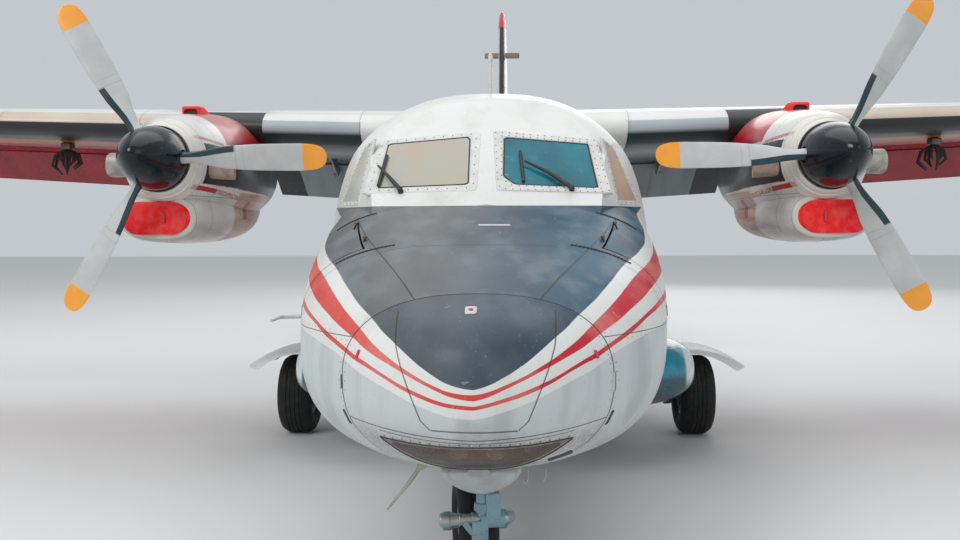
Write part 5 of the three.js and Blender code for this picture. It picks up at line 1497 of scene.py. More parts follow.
def wheel_pair(name: str, size: tuple[float, float, float], centre: Points) -> tuple[Piece, Piece]:
    """Builds a tyre with tread grooves and its rim about an axle along X.

    Args:
        name: The start of their names.
        size: The tyre's radius and width and the rim's radius.
        centre: The middle of the axle, in metres.

    Returns:
        The tyre and the rim.
    """
    radius, width, rim = size
    depth = radius - rim
    half = [(rim, 0.37), (rim + 0.06 * depth, 0.405), (rim + 0.2 * depth, 0.455),
        (rim + 0.4 * depth, 0.495), (rim + 0.6 * depth, 0.488), (rim + 0.8 * depth, 0.44),
        (rim + 0.92 * depth, 0.355), (rim + 0.985 * depth, 0.27)]
    tread = []
    for groove in (0.185, 0.065):
        tread += [(radius - 0.4, groove + 0.012), (radius - 7, groove + 0.009),
            (radius - 7, groove - 0.009), (radius - 0.4, groove - 0.012)]
    outline = [(r, s * width) for r, s in half + tread]
    outline += [(r, -s) for r, s in reversed(outline)]
    tyre = Bench.spun(f"{name}_tyre_ring", np.array(outline) * MM, centre, (1, 0, 0), (0, 0, 1), 96)
    outer = rim - 0.3
    face = [(39, 0.30), (0.30 * rim, 0.31), (0.36 * rim, 0.27), (0.5 * rim, 0.25), (0.72 * rim, 0.15),
        (0.86 * rim, 0.18), (outer - 14, 0.26), (outer - 9, 0.345), (outer - 3, 0.375), (outer, 0.36)]
    outline = [(r, s * width) for r, s in face]
    outline += [(r, -s) for r, s in reversed(outline)]
    wheel = Bench.spun(f"{name}_rim_disc", np.array(outline) * MM, centre, (1, 0, 0), (0, 0, 1), 72)
    bolts = []
    for k in range(10):
        turn = 2 * math.pi * k / 10
        for sign in (1, -1):
            at = centre + np.array([0, math.cos(turn), math.sin(turn)]) * 0.44 * rim * MM
            at[0] += sign * 0.262 * width * MM
            bolts.append(Bench.bar("wheel_bolt", at - [sign * 0.008, 0, 0], at + [sign * 0.011, 0, 0],
                0.0085, None, 6))
    wheel = Bench.together(f"{name}_rim_disc", [wheel, *bolts])
    return tyre, wheel


def aerofoil_line(ratio: float, camber: float, start: float = 0.0) -> Points:
    """An aerofoil's outline in chords, from its trailing edge over the top to the lower trailing edge.

    Args:
        ratio: Its thickness.
        camber: Its camber.
        start: The share of the chord where the outline starts.

    Returns:
        Pairs of share and height.
    """
    turn = np.linspace(0, np.pi, AEROFOIL_POINTS)
    share = start + (1 - start) * (1 + np.cos(turn)) / 2
    half = 5 * ratio * (0.2969 * np.sqrt(share) - 0.126 * share - 0.3516 * share ** 2 + 0.2843 * share ** 3
        - 0.1015 * share ** 4) + 0.0015 * share
    bow = camber * 4 * share * (1 - share)
    upper = np.stack([share, bow + half], axis=-1)
    lower = np.stack([share, bow - half], axis=-1)[::-1]
    return np.concatenate([upper, lower[1:] if start == 0 else lower])


@dataclass
class Wing:
    """The high wing with its lowered flaps, ailerons, brackets and hinges."""

    semi_span: float = 9740.0
    chords: tuple[float, float] = (2534.0, 1267.0)
    ratios: tuple[float, float] = (0.18, 0.12)
    root: tuple[float, float] = (4420.0, 2700.0)
    sweep: float = 0.03
    dihedral: float = math.tan(math.radians(1.75))
    incidence: float = math.radians(2)
    flap_start: float = 0.70
    flap_nose: float = 0.036
    flap_drop: float = math.radians(36)
    hinge_ends: tuple[float, float] = (1300.0, 6050.0)
    hinge_at: tuple[float, float] = (0.02, -0.10)
    flap_spans: tuple = ((1300.0, 2330.0), (2450.0, 6050.0))
    brackets: tuple = (1640.0, 3000.0, 5450.0)
    aileron_start: float = 0.73
    aileron_nose: float = 0.028
    aileron_span: tuple[float, float] = (6200.0, 9420.0)
    camber_lift: float = 0.012
    notch_gap: float = 0.008

    def chord(self, x: float) -> float:
        """The chord at x."""
        return self.chords[0] + (self.chords[1] - self.chords[0]) * abs(x) / self.semi_span

    def ratio(self, x: float) -> float:
        """The thickness ratio at x."""
        return self.ratios[0] + (self.ratios[1] - self.ratios[0]) * abs(x) / self.semi_span

    def point(self, x: float, share: Points, height: Points = 0.0) -> Points:
        """Points at x, a share of the chord and a height in chords, in metres."""
        share, height = np.broadcast_arrays(np.asarray(share, float), height)
        chord = self.chord(x)
        station = self.root[0] + self.sweep * abs(x) + chord * (share + height * math.sin(self.incidence))
        z = self.root[1] + self.dihedral * abs(x) + chord * (height * math.cos(self.incidence) - share
            * math.sin(self.incidence))
        return spot(x, station, z)

    def ring(self, x: float, scale: float = 1.0, start: float = 0.0) -> Points:
        """A section of the wing, its tip sections scaled down."""
        share, height = aerofoil_line(self.ratio(x), 0.02, start=start).T
        along = 0.5 + (share - 0.5) * (scale * 0.3 + 0.7) if start == 0 else share
        return self.point(x, along, height * scale)

    def nose(self, x: float, start: float, radius: float) -> tuple[Points, float]:
        """The middle and the radius, in metres, of a moving surface's round nose at x."""
        centre = self.point(x, start, self.camber_lift)
        reach = radius * self.chord(x)
        if start == self.flap_start:
            centre = centre + np.array([0, reach * MM, 0])
        return centre, reach * MM

    def moving_ring(self, x: float, start: float, radius: float) -> Points:
        """A section of a flap or aileron: the wing's rear end with a round nose."""
        centre, reach = self.nose(x, start, radius)
        angle = np.linspace(0.42 * np.pi, 1.58 * np.pi, 18)
        arc = centre + reach * np.stack([0 * angle, np.cos(angle), np.sin(angle)], axis=-1)
        return nosed(self.ring(x, start=start + 0.035), arc)

    def flap_axis(self) -> tuple[Points, Points]:
        """Both ends of the flaps' hinge line, in metres."""
        aft, height = self.hinge_at
        return tuple(self.point(x, self.flap_start + aft, height) for x in self.hinge_ends)

    def flap_turn(self) -> Matrix:
        """The turn that lowers the port flaps to where they stand."""
        a, b = map(Vector, self.flap_axis())
        turn = Matrix.Rotation(-self.flap_drop, 4, (b - a).normalized())
        return Matrix.Translation(a) @ turn @ Matrix.Translation(-a)

    def cutter(self, name: str, span: Sequence[float], start: float, radius: float) -> Piece:
        """The notch that a moving surface leaves in the wing."""
        gap, rings = self.notch_gap, []
        for x, out in zip(span, (-gap, gap)):
            centre, reach = self.nose(x, start, radius)
            rings.append(centre + np.array([[out, -reach - gap, -0.6], [out, 2.0, -0.6], [out, 2.0, 0.6],
                [out, -reach - gap, 0.6]]))
        return Bench.skin(name, rings)

    def panels(self, looks: Looks) -> None:
        """Builds the wing's centre and both outer panels."""
        xs = np.linspace(-1149.5, 1149.5, 15)
        centre = Bench.skin("wing_middle", [self.ring(x) for x in xs])
        dressed(centre, looks.wing, "white_paint", nodes=["wing_centre"])
        xs = np.concatenate([np.linspace(1150.5, 9550, 60), [9600, 9650, 9680, 9705, 9725, 9738]])
        scales = np.interp(xs, [9550, 9600, 9650, 9680, 9705, 9725, 9740],
            [1, 0.985, 0.93, 0.86, 0.74, 0.56, 0.3])
        panel = Bench.skin("port_wing_panel", [self.ring(x, k) for x, k in zip(xs, scales)])
        for k, span in enumerate(self.flap_spans):
            panel = Bench.merge(panel, self.cutter(f"flap_notch_{k}", span, self.flap_start,
                self.flap_nose), Solid.CUT)
        notch = self.cutter("aileron_notch", self.aileron_span, self.aileron_start, self.aileron_nose)
        panel = Bench.merge(panel, notch, Solid.CUT)
        both(panel, looks.wing, "white_paint", nodes=["port_wing"])

    def flaps(self, looks: Looks) -> None:
        """Builds the lowered flaps with their brackets and arms."""
        for name, (first, last) in zip(("inner_flap", "outer_flap"), self.flap_spans):
            xs = np.linspace(first, last, max(4, int((last - first) / 120)))
            rings = [self.moving_ring(x, self.flap_start, self.flap_nose) for x in xs]
            flap = Bench.skin(f"port_{name}_skin", rings)
            parts = [flap, *(self.arm(x) for x in self.brackets if first < x < last)]
            for part in parts:
                part.data.transform(self.flap_turn())
            flap = Bench.together(flap.name, parts)
            both(flap, looks.flap, "flap_paint", "port_flaps", [f"port_{name}"])
        for x in self.brackets:
            both(self.ear(x), looks.flap, "flap_paint")

    def axis_point(self, x: float) -> Points:
        """The point of the flap's hinge line at x, in metres."""
        (a, b), (first, last) = self.flap_axis(), self.hinge_ends
        return a + (b - a) * (x - first) / (last - first)

    def plate(self, name: str, outline: Points, x: float, thick: float) -> Piece:
        """A plate across the span with a bevelled rim.

        Args:
            name: The plate's name.
            outline: Its stations and heights.
            x: Its inner face.
            thick: Its thickness.

        Returns:
            The plate.
        """
        piece = Bench.skin(name, [spot(v, *np.asarray(outline, float).T) for v in (x, x + thick)])
        return Bench.blunted(piece, 0.0025)

    def ear(self, x: float) -> Piece:
        """The wing's bracket at x with its pin."""
        axle, chord = self.axis_point(x), self.chord(x)
        s, z = axle[1] / MM + LENGTH / 2, axle[2] / MM
        high = [self.point(x, self.flap_start - 0.28)[2] / MM, self.point(x, self.flap_start - 0.09)[2] / MM]
        outline = [(s - 0.30 * chord, high[0]), (s - 0.06 * chord, high[1]), (s + 24, z + 6),
            (s + 12, z - 24), (s - 24, z - 26)]
        ear = self.plate(f"port_flap_ear_{int(x)}", outline, x - 18, 18)
        way = np.array(self.axis_point(x + 100) - axle)
        way /= np.linalg.norm(way)
        pin = Bench.bar("flap_pin", axle - way * 0.024, axle + way * 0.040, 0.0108, bevel=0.002)
        return Bench.together(ear.name, [ear, pin])

    def arm(self, x: float) -> Piece:
        """The flap's arm at x, before the flap is lowered."""
        axle, chord = self.axis_point(x), self.chord(x)
        s, z = axle[1] / MM + LENGTH / 2, axle[2] / MM
        outline = [(s - 26, z - 22), (s + 22, z - 22), (s + 0.10 * chord,
            self.point(x, self.flap_start + 0.12)[2] / MM), (s + 0.03 * chord,
            self.point(x, self.flap_start + 0.05)[2] / MM), (s - 26, z + 26)]
        return self.plate(f"flap_arm_{int(x)}", outline, x + 4, 18)

    def ailerons(self, looks: Looks) -> None:
        """Builds both ailerons."""
        xs = np.linspace(*self.aileron_span, 28)
        rings = [self.moving_ring(x, self.aileron_start, self.aileron_nose) for x in xs]
        both(Bench.skin("port_aileron_skin", rings), looks.wing, "white_paint", "port_aileron",
            ["port_aileron"])

    def fittings(self, looks: Looks) -> None:
        """Builds the tip lamps and the tie-down rings with their bunches under the wings."""
        for side, sign in SIDES.items():
            tip = spot(sign * 9706, 5020, 2975)
            outline = np.array([(0.0, -60), (14, -52), (24, -30), (26, 0), (20, 34), (8, 58),
                (0.0, 64)]) * MM
            lamp = Bench.spun(f"{side}_tip_lamp", outline, tip, (0, 1, 0), (sign, 0, 0), 24)
            dressed(lamp, looks.tip_lamps[side], "lamp_glass")
            base = self.point(3900.0, 0.22, -0.078) * np.array([sign, 1, 1])
            hook = Bench.box(f"{side}_tiedown_block", base + [-0.045, -0.055, -0.030], base
                + [0.045, 0.055, 0.030], 0.012)
            ring = Bench.spun(f"{side}_tiedown_ring", np.array([(0.030 + 0.006 * math.cos(t), 0.006
                * math.sin(t)) for t in np.linspace(0, 2 * np.pi, 10)[:-1]]), base + [0, 0, -0.052],
                (0, 1, 0), (1, 0, 0), 24)
            piece = Bench.together(f"{side}_tiedown", [hook, ring])
            dressed(piece, looks.steel, "dark_steel")
            strands = []
            for k in range(11):
                turn, reach = 2.4 * k, 0.035 + 0.009 * (k % 5)
                drop = 0.14 + 0.016 * ((3 * k) % 7)
                away = np.array([math.cos(turn), 0.6 * math.sin(turn), 0.0])
                top = base + [0, 0, -0.02]
                path = [top, top + away * reach * 1.6 + [0, 0, -0.3 * drop], top + away * reach * 2
                    + [0, 0, -0.7 * drop], top + away * reach * 0.9 + [0, 0, -drop]]
                strands.append(Bench.tube(f"{side}_tiedown_strand", path, [0.012, 0.015, 0.013, 0.006], 7))
            dressed(Bench.together(f"{side}_tiedown_bunch", strands), looks.bunch, "dark_steel")


@dataclass
class Engine:
    """A nacelle with its cowl, intake, exhausts and scoop, and the propeller before it."""

    x: float = ENGINE_X
    z: float = ENGINE_Z
    cowling: tuple = ((3270, 272, 2655, 2100, 2380, 2), (3330, 300, 2688, 2070, 2380, 2.1),
        (3550, 355, 2740, 1990, 2360, 2.2), (3950, 405, 2800, 1940, 2350, 2.3),
        (4500, 420, 2850, 1930, 2340, 2.4), (5200, 370, 2760, 2030, 2380, 2.3),
        (5700, 240, 2700, 2260, 2460, 2.2), (5950, 110, 2660, 2420, 2540, 2))
    intake: tuple = ((3330, 232, 2110, 1800, 1955, 2.4), (3420, 262, 2150, 1776, 1960, 2.5),
        (3900, 330, 2200, 1766, 1990, 2.5), (4500, 330, 2200, 1790, 2000, 2.4),
        (5100, 240, 2220, 1900, 2060, 2.2), (5500, 90, 2240, 2080, 2160, 2))
    mouth: tuple = ((3300, 196, 2078, 1834, 1956, 2.4), (3480, 190, 2072, 1840, 1956, 2.4))
    scoop: tuple = ((3940, 68, 2846), (3955, 74, 2862), (4080, 70, 2872), (4420, 22, 2850))
    spinner_profile: tuple = ((2700, 0), (2704, 20), (2712, 38), (2732, 66), (2760, 92), (2800, 122),
        (2850, 150), (2905, 175), (2960, 194), (3020, 210), (3080, 222), (3125, 228), (3170, 230),
        (3210, 230), (3215, 227), (3215, 106), (2992, 106), (2992, 0))
    sections: tuple = ((70, 52, 52, 0), (200, 46, 42, 10), (250, 44, 26, 34), (343, 54, 20, 32),
        (520, 84, 15, 27), (790, 97, 11, 20), (1043, 98, 8, 15), (1160, 90, 6, 13), (1250, 42, 4, 12))
    station: float = 3120.0
    exhaust_radius: float = 98.0

    def cowl(self, looks: Looks) -> None:
        """Builds both nacelles with their intakes' mouths, exhaust niches and front rings."""
        form, lip = Lines(self.cowling, self.x), Lines(self.intake, self.x)
        stations = np.concatenate([[3266, 3268, 3272, 3280], np.linspace(3292, 5700, 60),
            np.linspace(5730, 5950, 8)])
        shell = form.rings(stations)
        for k, shrink in enumerate((0.955, 0.975, 0.99, 0.998)):
            centre = shell[k].mean(axis=0)
            shell[k] = centre + (form.rings([3285])[0] - form.rings([3285])[0].mean(axis=0)) * shrink
            shell[k][:, 1] = spot(0, stations[k], 0)[1]
        body = Bench.skin("port_cowl", shell)
        chin = lip.rings(np.concatenate([[3326, 3330, 3338, 3350], np.linspace(3370, 5500, 44)]), count=80)
        for ring in chin:
            out, aft = ring[:, 0] - self.x * MM, ring[0, 1] + (LENGTH / 2 - 3500) * MM
            fade = 0.42 * min(1.0, max(0.0, 1.0 - aft / 1.7))
            ring[:, 0] += np.where(out > 0, out * fade, 0.0)
        for k, shrink in enumerate((0.93, 0.965, 0.985, 0.997)):
            middle = chin[k].mean(axis=0)
            chin[k] = middle + (chin[k] - middle) * shrink
        body = Bench.merge(body, Bench.skin("intake_lip", chin), Solid.ADD)
        hollow = Bench.bar("shaft_hollow", spot(self.x, 3200, self.z), spot(self.x, 3420, self.z), 0.2385,
            0.2375, 64)
        body = Bench.merge(body, hollow, Solid.CUT)
        throat = Bench.skin("intake_throat", Lines(self.mouth, self.x).rings([3290, 3350, 3480], count=64))
        body = Bench.merge(body, throat, Solid.CUT)
        for side, front in ((1, 3450), (-1, 3372)):
            niche = Bench.box("exhaust_niche", spot(self.x + side * 215, front, 2222),
                spot(self.x + side * 640, 3655, 2462))
            body = Bench.merge(body, niche, Solid.CUT)
        both(body, looks.nacelle, "white_paint", nodes=["port_nacelle"], smooth=32)
        outline = np.array([(238, 3290), (238, 3219), (243, 3216), (252, 3222), (264, 3242), (273, 3272),
            (262, 3290)])
        ring = Bench.spun("port_cowl_ring", (outline - [0, LENGTH / 2]) * MM,
            spot(self.x, LENGTH / 2, self.z), (0, 1, 0), (1, 0, 0), 72)
        both(ring, looks.nacelle, "white_paint")

    def details(self, looks: Looks) -> None:
        """Builds the intake plugs, shaft housings, scoops and exhausts."""
        rings = Lines(self.mouth, self.x).rings([3322, 3324, 3345, 3479], -0.8, 64)
        middle = rings[0].mean(axis=0)
        rings[0] = middle + (rings[0] - middle) * 0.97
        plug = Bench.skin("port_plug", rings)
        x = self.x - 7
        handle = Bench.tube("port_plug_handle", trail((x, 3326, 1998), (x, 3296, 1990), (x, 3296, 1922),
            (x, 3326, 1914)), 0.010)
        face = rounded(480, 242, 115, 12)
        sizes = ((3326, 0.985), (3323, 1.0), (3311, 1.0), (3308, 0.985), (3307, 0.6))
        plate = Bench.skin("plug_plate", [spot(self.x + 68 + share * face[:, 0], station, 1953 + share
            * face[:, 1]) for station, share in sizes])
        plug = Bench.together("port_plug", [plug, plate])
        both(plug, looks.plug, "red_paint", nodes=["port_intake_plug"])
        both(handle, looks.red_tag, "red_paint")
        core = Bench.bar("port_gearbox", spot(self.x, 3302, self.z), spot(self.x, 3400, self.z), 0.2345,
            0.2345, 64, 0.004)
        shaft = Bench.bar("port_shaft", spot(self.x, 3000, self.z), spot(self.x, 3320, self.z), 0.0395,
            None, 40)
        housing = Bench.bar("port_shaft_boss", spot(self.x, 3222, self.z), spot(self.x, 3310, self.z),
            0.080, 0.120, 40, 0.004)
        core = Bench.together("port_gearbox", [core, shaft, housing])
        both(core, looks.white_part, "dark_steel", nodes=["port_engine"])
        inner = rounded(112, 64, 30, 8)
        hollow, mouth = (Bench.skin(name, [spot(self.x + inner[:, 0], s, 2806 + inner[:, 1]) for s in ends])
            for name, ends in (("scoop_hollow", (3930, 3975)), ("port_scoop_mouth", (3956, 3975))))
        both(Bench.merge(self.scoop_piece(), hollow, Solid.CUT), looks.plug, "red_paint")
        # The mouth is a dark sheet of painted shade inside the scoop's hollow
        both(mouth, looks.shadow, "dark_steel")
        for name, side, look in (("outer", 1, looks.pale_exhaust), ("inner", -1, looks.copper_exhaust)):
            both(self.exhaust(f"port_{name}_exhaust", side), look, "dark_steel")

    def scoop_piece(self) -> Piece:
        """The small scoop on top of the cowl, still solid."""
        rings = []
        for station, half, top in self.scoop:
            corner = rounded(2 * half, 120, min(half, 22) * 0.8, 5)
            rings.append(spot(self.x + corner[:, 0], station, top - 60 + corner[:, 1]))
        return Bench.skin("port_scoop", rings)

    def exhaust(self, name: str, side: float) -> Piece:
        """An exhaust stub that stands out sideways with a box-like rounded mouth."""
        inboard = side < 0
        a = np.array([self.x + side * 180, 3450 if inboard else 3550, 2338 if inboard else 2362.0])
        b = np.array([self.x + side * (478 if inboard else 505), 3510 if inboard else 3640, 2338 if inboard
            else 2370.0])
        way = (b - a) / np.linalg.norm(b - a)
        aft = np.cross(way, [0, 0, 1.0])
        aft /= np.linalg.norm(aft)
        up = np.cross(aft, way)
        profile = [(0.0, 0.90), (0.5, 0.94), (0.8, 0.985), (0.93, 1.0), (1.0, 1.0), (1.0, 0.93),
            (0.9, 0.90), (0.62, 0.86)]
        turn = np.linspace(0, 2 * np.pi, 56, endpoint=False)
        c, s = np.cos(turn), np.sin(turn)
        power = 2 / 2.6
        across = np.sign(c) * np.abs(c) ** power * self.exhaust_radius * 0.92
        over = np.sign(s) * np.abs(s) ** power * self.exhaust_radius * 0.95
        rings = []
        for share, size in profile:
            middle = a + (b - a) * share
            ring = middle + size * (np.outer(across, aft) + np.outer(over, up))
            rings.append(spot(*ring.T))
        return Bench.skin(name, rings)

    def propellers(self, looks: Looks) -> None:
        """Builds the spinners, hubs and blades of both propellers."""
        for side, sign in SIDES.items():
            body = f"{side}_propeller_unit"
            outline = np.array([(r, s - LENGTH / 2) for s, r in self.spinner_profile]) * MM
            spinner = Bench.spun(f"{side}_spinner_shell", outline, spot(sign * self.x, LENGTH / 2, self.z),
                (0, 1, 0), (1, 0, 0), 72)
            blades = []
            for k, degrees in enumerate(BLADE_TURNS[side]):
                angle = math.radians(degrees)
                way = np.array([math.cos(angle), 0, math.sin(angle)])
                middle = spot(sign * self.x, self.station, self.z)
                bore = Bench.bar("blade_hole", middle + way * 0.06, middle + way * 0.40, 0.0575, 0.0575, 40)
                spinner = Bench.merge(spinner, bore, Solid.CUT)
                blades.append(self.blade(f"{side}_blade_{k + 1}", middle, angle))
            dressed(spinner, looks.spinner, "navy_paint", body, [f"{side}_spinner"])
            hub = Bench.bar(f"{side}_hub", spot(sign * self.x, 2995, self.z),
                spot(sign * self.x, 3210, self.z), 0.1045, 0.1045, 48, 0.004)
            dressed(hub, looks.steel, "dark_steel", body)
            for k, blade in enumerate(blades):
                nodes = [f"{side}_propeller"] if k == 0 else []
                dressed(blade, looks.blades[side], "blade_paint", body, nodes)

    def blade(self, name: str, centre: Points, angle: float) -> Piece:
        """Builds one blade with a sharp leading and trailing edge.

        Args:
            name: The blade's name.
            centre: The middle of the hub, in metres.
            angle: The way it points, from port, in radians.

        Returns:
            The blade.
        """
        out = np.array([math.cos(angle), 0, math.sin(angle)])
        ahead = np.array([-math.sin(angle), 0, math.cos(angle)])
        table = np.array(self.sections, float)
        radii = np.concatenate([np.linspace(70, 225, 5), np.linspace(240, 1150, 34),
            [1165, 1180, 1195, 1210, 1223, 1234, 1242, 1247.5, 1250]])
        values = eased(radii, table[:, 0], table[:, 1:])
        values[-9:, 0] = [88, 85, 80, 73, 64, 53, 40, 25, 12]
        turn = np.linspace(0, 2 * np.pi, 28, endpoint=False)
        rings = []
        for radius, (half, thick, pitch) in zip(radii, values):
            tilt = math.radians(pitch)
            edge = ahead * math.cos(tilt) - np.array([0, 1, 0]) * math.sin(tilt)
            side = ahead * math.sin(tilt) + np.array([0, 1, 0]) * math.cos(tilt)
            flat = min(1.0, max(0.0, (radius - 200) / 80))
            c, s = np.cos(turn), np.sin(turn)
            taper = 1 - flat * 0.35 * (1 - c) * 0.5
            across, over = half * c, thick * s * taper
            rings.append(centre + MM * (radius * out + np.outer(across, edge) + np.outer(over, side)))
        return Bench.skin(name, rings)


@dataclass
class MainGear:
    """The fairings on the fuselage's sides with the main legs, wheels and wheel covers."""

    sponson: tuple = ((3700, 120, 640, 560, 600, 2), (3850, 370, 830, 480, 640, 2.1),
        (4150, 655, 960, 420, 670, 2.4), (4500, 735, 1000, 395, 690, 2.8), (4740, 640, 1000, 395, 690, 2.8),
        (5100, 600, 975, 395, 690, 2.7), (5600, 500, 900, 430, 690, 2.4), (6100, 330, 820, 520, 690, 2.2),
        (6450, 130, 740, 610, 680, 2))
    x: float = 960.0
    station: float = 5170.0
    track: float = 1820.0
    tyre: tuple[float, float, float] = (360.0, 310.0, 190.0)
    axle: float = 356.92
    cover: tuple = ((1500, 806), (1640, 814), (1800, 816), (1960, 794), (2100, 744), (2240, 664))
    cover_thick: float = 22.0

    def fairing(self, looks: Looks) -> None:
        """Builds the teal fairings with their sockets for the legs."""
        form = Lines(self.sponson, self.x)
        stations = np.concatenate([np.linspace(3700, 3900, 14), np.linspace(3930, 6450, 50)])
        body = Bench.skin("port_fairing", form.rings(stations, count=80))
        socket = Bench.bar("leg_socket", spot(1290, 4970, 642), spot(1700, 5000, 572), 0.070, 0.070, 40)
        body = Bench.merge(body, socket, Solid.CUT)
        both(body, looks.teal_fairing, "blue_grey_paint", nodes=["port_gear_fairing"])

    def leg(self, looks: Looks) -> None:
        """Builds the main legs with their axles, hubs and brake pipes."""
        s = self.station
        knee = spot(1535, 4990, 600)
        pieces = [Bench.bar("port_leg_arm", spot(1300, 4970, 640), knee, 0.062, 0.060, 36, 0.006),
            Bench.bar("port_leg_foot", knee, spot(1572, s, self.axle), 0.055, 0.048, 36, 0.006),
            Bench.bar("port_axle", spot(1545, s, self.axle), spot(1905, s, self.axle), 0.038, 0.038, 36,
            0.003), Bench.bar("port_leg_elbow", spot(1500, 4986, 606), spot(1575, 4996, 590), 0.074, 0.070,
            36, 0.010), Bench.bar("port_leg_hub", spot(1548, s, self.axle), spot(1622, s, self.axle), 0.092,
            0.085, 36, 0.010), Bench.tube("port_brake_pipe", trail((1420, 4930, 650), (1530, 4925, 560),
            (1585, 5010, 470), (1600, 5085, 400)), 0.009)]
        both(Bench.together("port_leg", pieces), looks.leg_steel, "dark_steel", nodes=["port_main_leg"])

    def wheels(self, looks: Looks) -> None:
        """Builds the main tyres and rims."""
        tyre, rim = wheel_pair("port_main", self.tyre, spot(self.track, self.station, self.axle))
        both(tyre, looks.tyre, "tyre_rubber", "port_main_wheel", ["port_main_tyre"])
        both(rim, looks.alloy, "wheel_alloy", "port_main_wheel", ["port_main_rim"])

    def covers(self, looks: Looks) -> None:
        """Builds the curved covers over the main wheels with their rods."""
        xs, zs = np.array(self.cover, float).T
        fine = np.linspace(1500, 2240, 44)
        slim = 1 - 0.7 * np.clip((fine - 1850) / 390, 0, 1)
        web = 70 * np.clip((1660 - fine) / 160, 0, 1) ** 1.5
        line = eased(fine, xs, zs[:, None])[:, 0]
        rings = []
        for station in np.concatenate([[4810, 4814, 4825], np.linspace(4850, 5490, 20), [5515, 5526, 5530]]):
            away = abs(station - self.station)
            ease = eased(np.array([away]), [0, 200, 300, 360], np.array([[1.0, 0.0], [1.0, 4.0],
                [0.96, 12.0], [0.86, 32.0]]))[0]
            end = 0.55 + 0.45 * min(1.0, (360 - away) / 12)
            x = 1500 + (fine - 1500) * ease[0]
            half = self.cover_thick / 2 * end * slim
            mid = line - ease[1] - self.cover_thick / 2
            low = mid - half - web * (away < 260)
            rings.append(np.concatenate([spot(x, station, mid + half), spot(x[::-1], station, low[::-1])]))
        both(Bench.skin("port_wheel_guard", rings), looks.cover, "white_paint", nodes=["port_wheel_cover"])
        path = trail((1612, 5180, 420), (1608, 5150, 620), (1640, 5130, 842))
        both(Bench.tube("port_guard_rod", path, 0.014), looks.steel, "dark_steel")


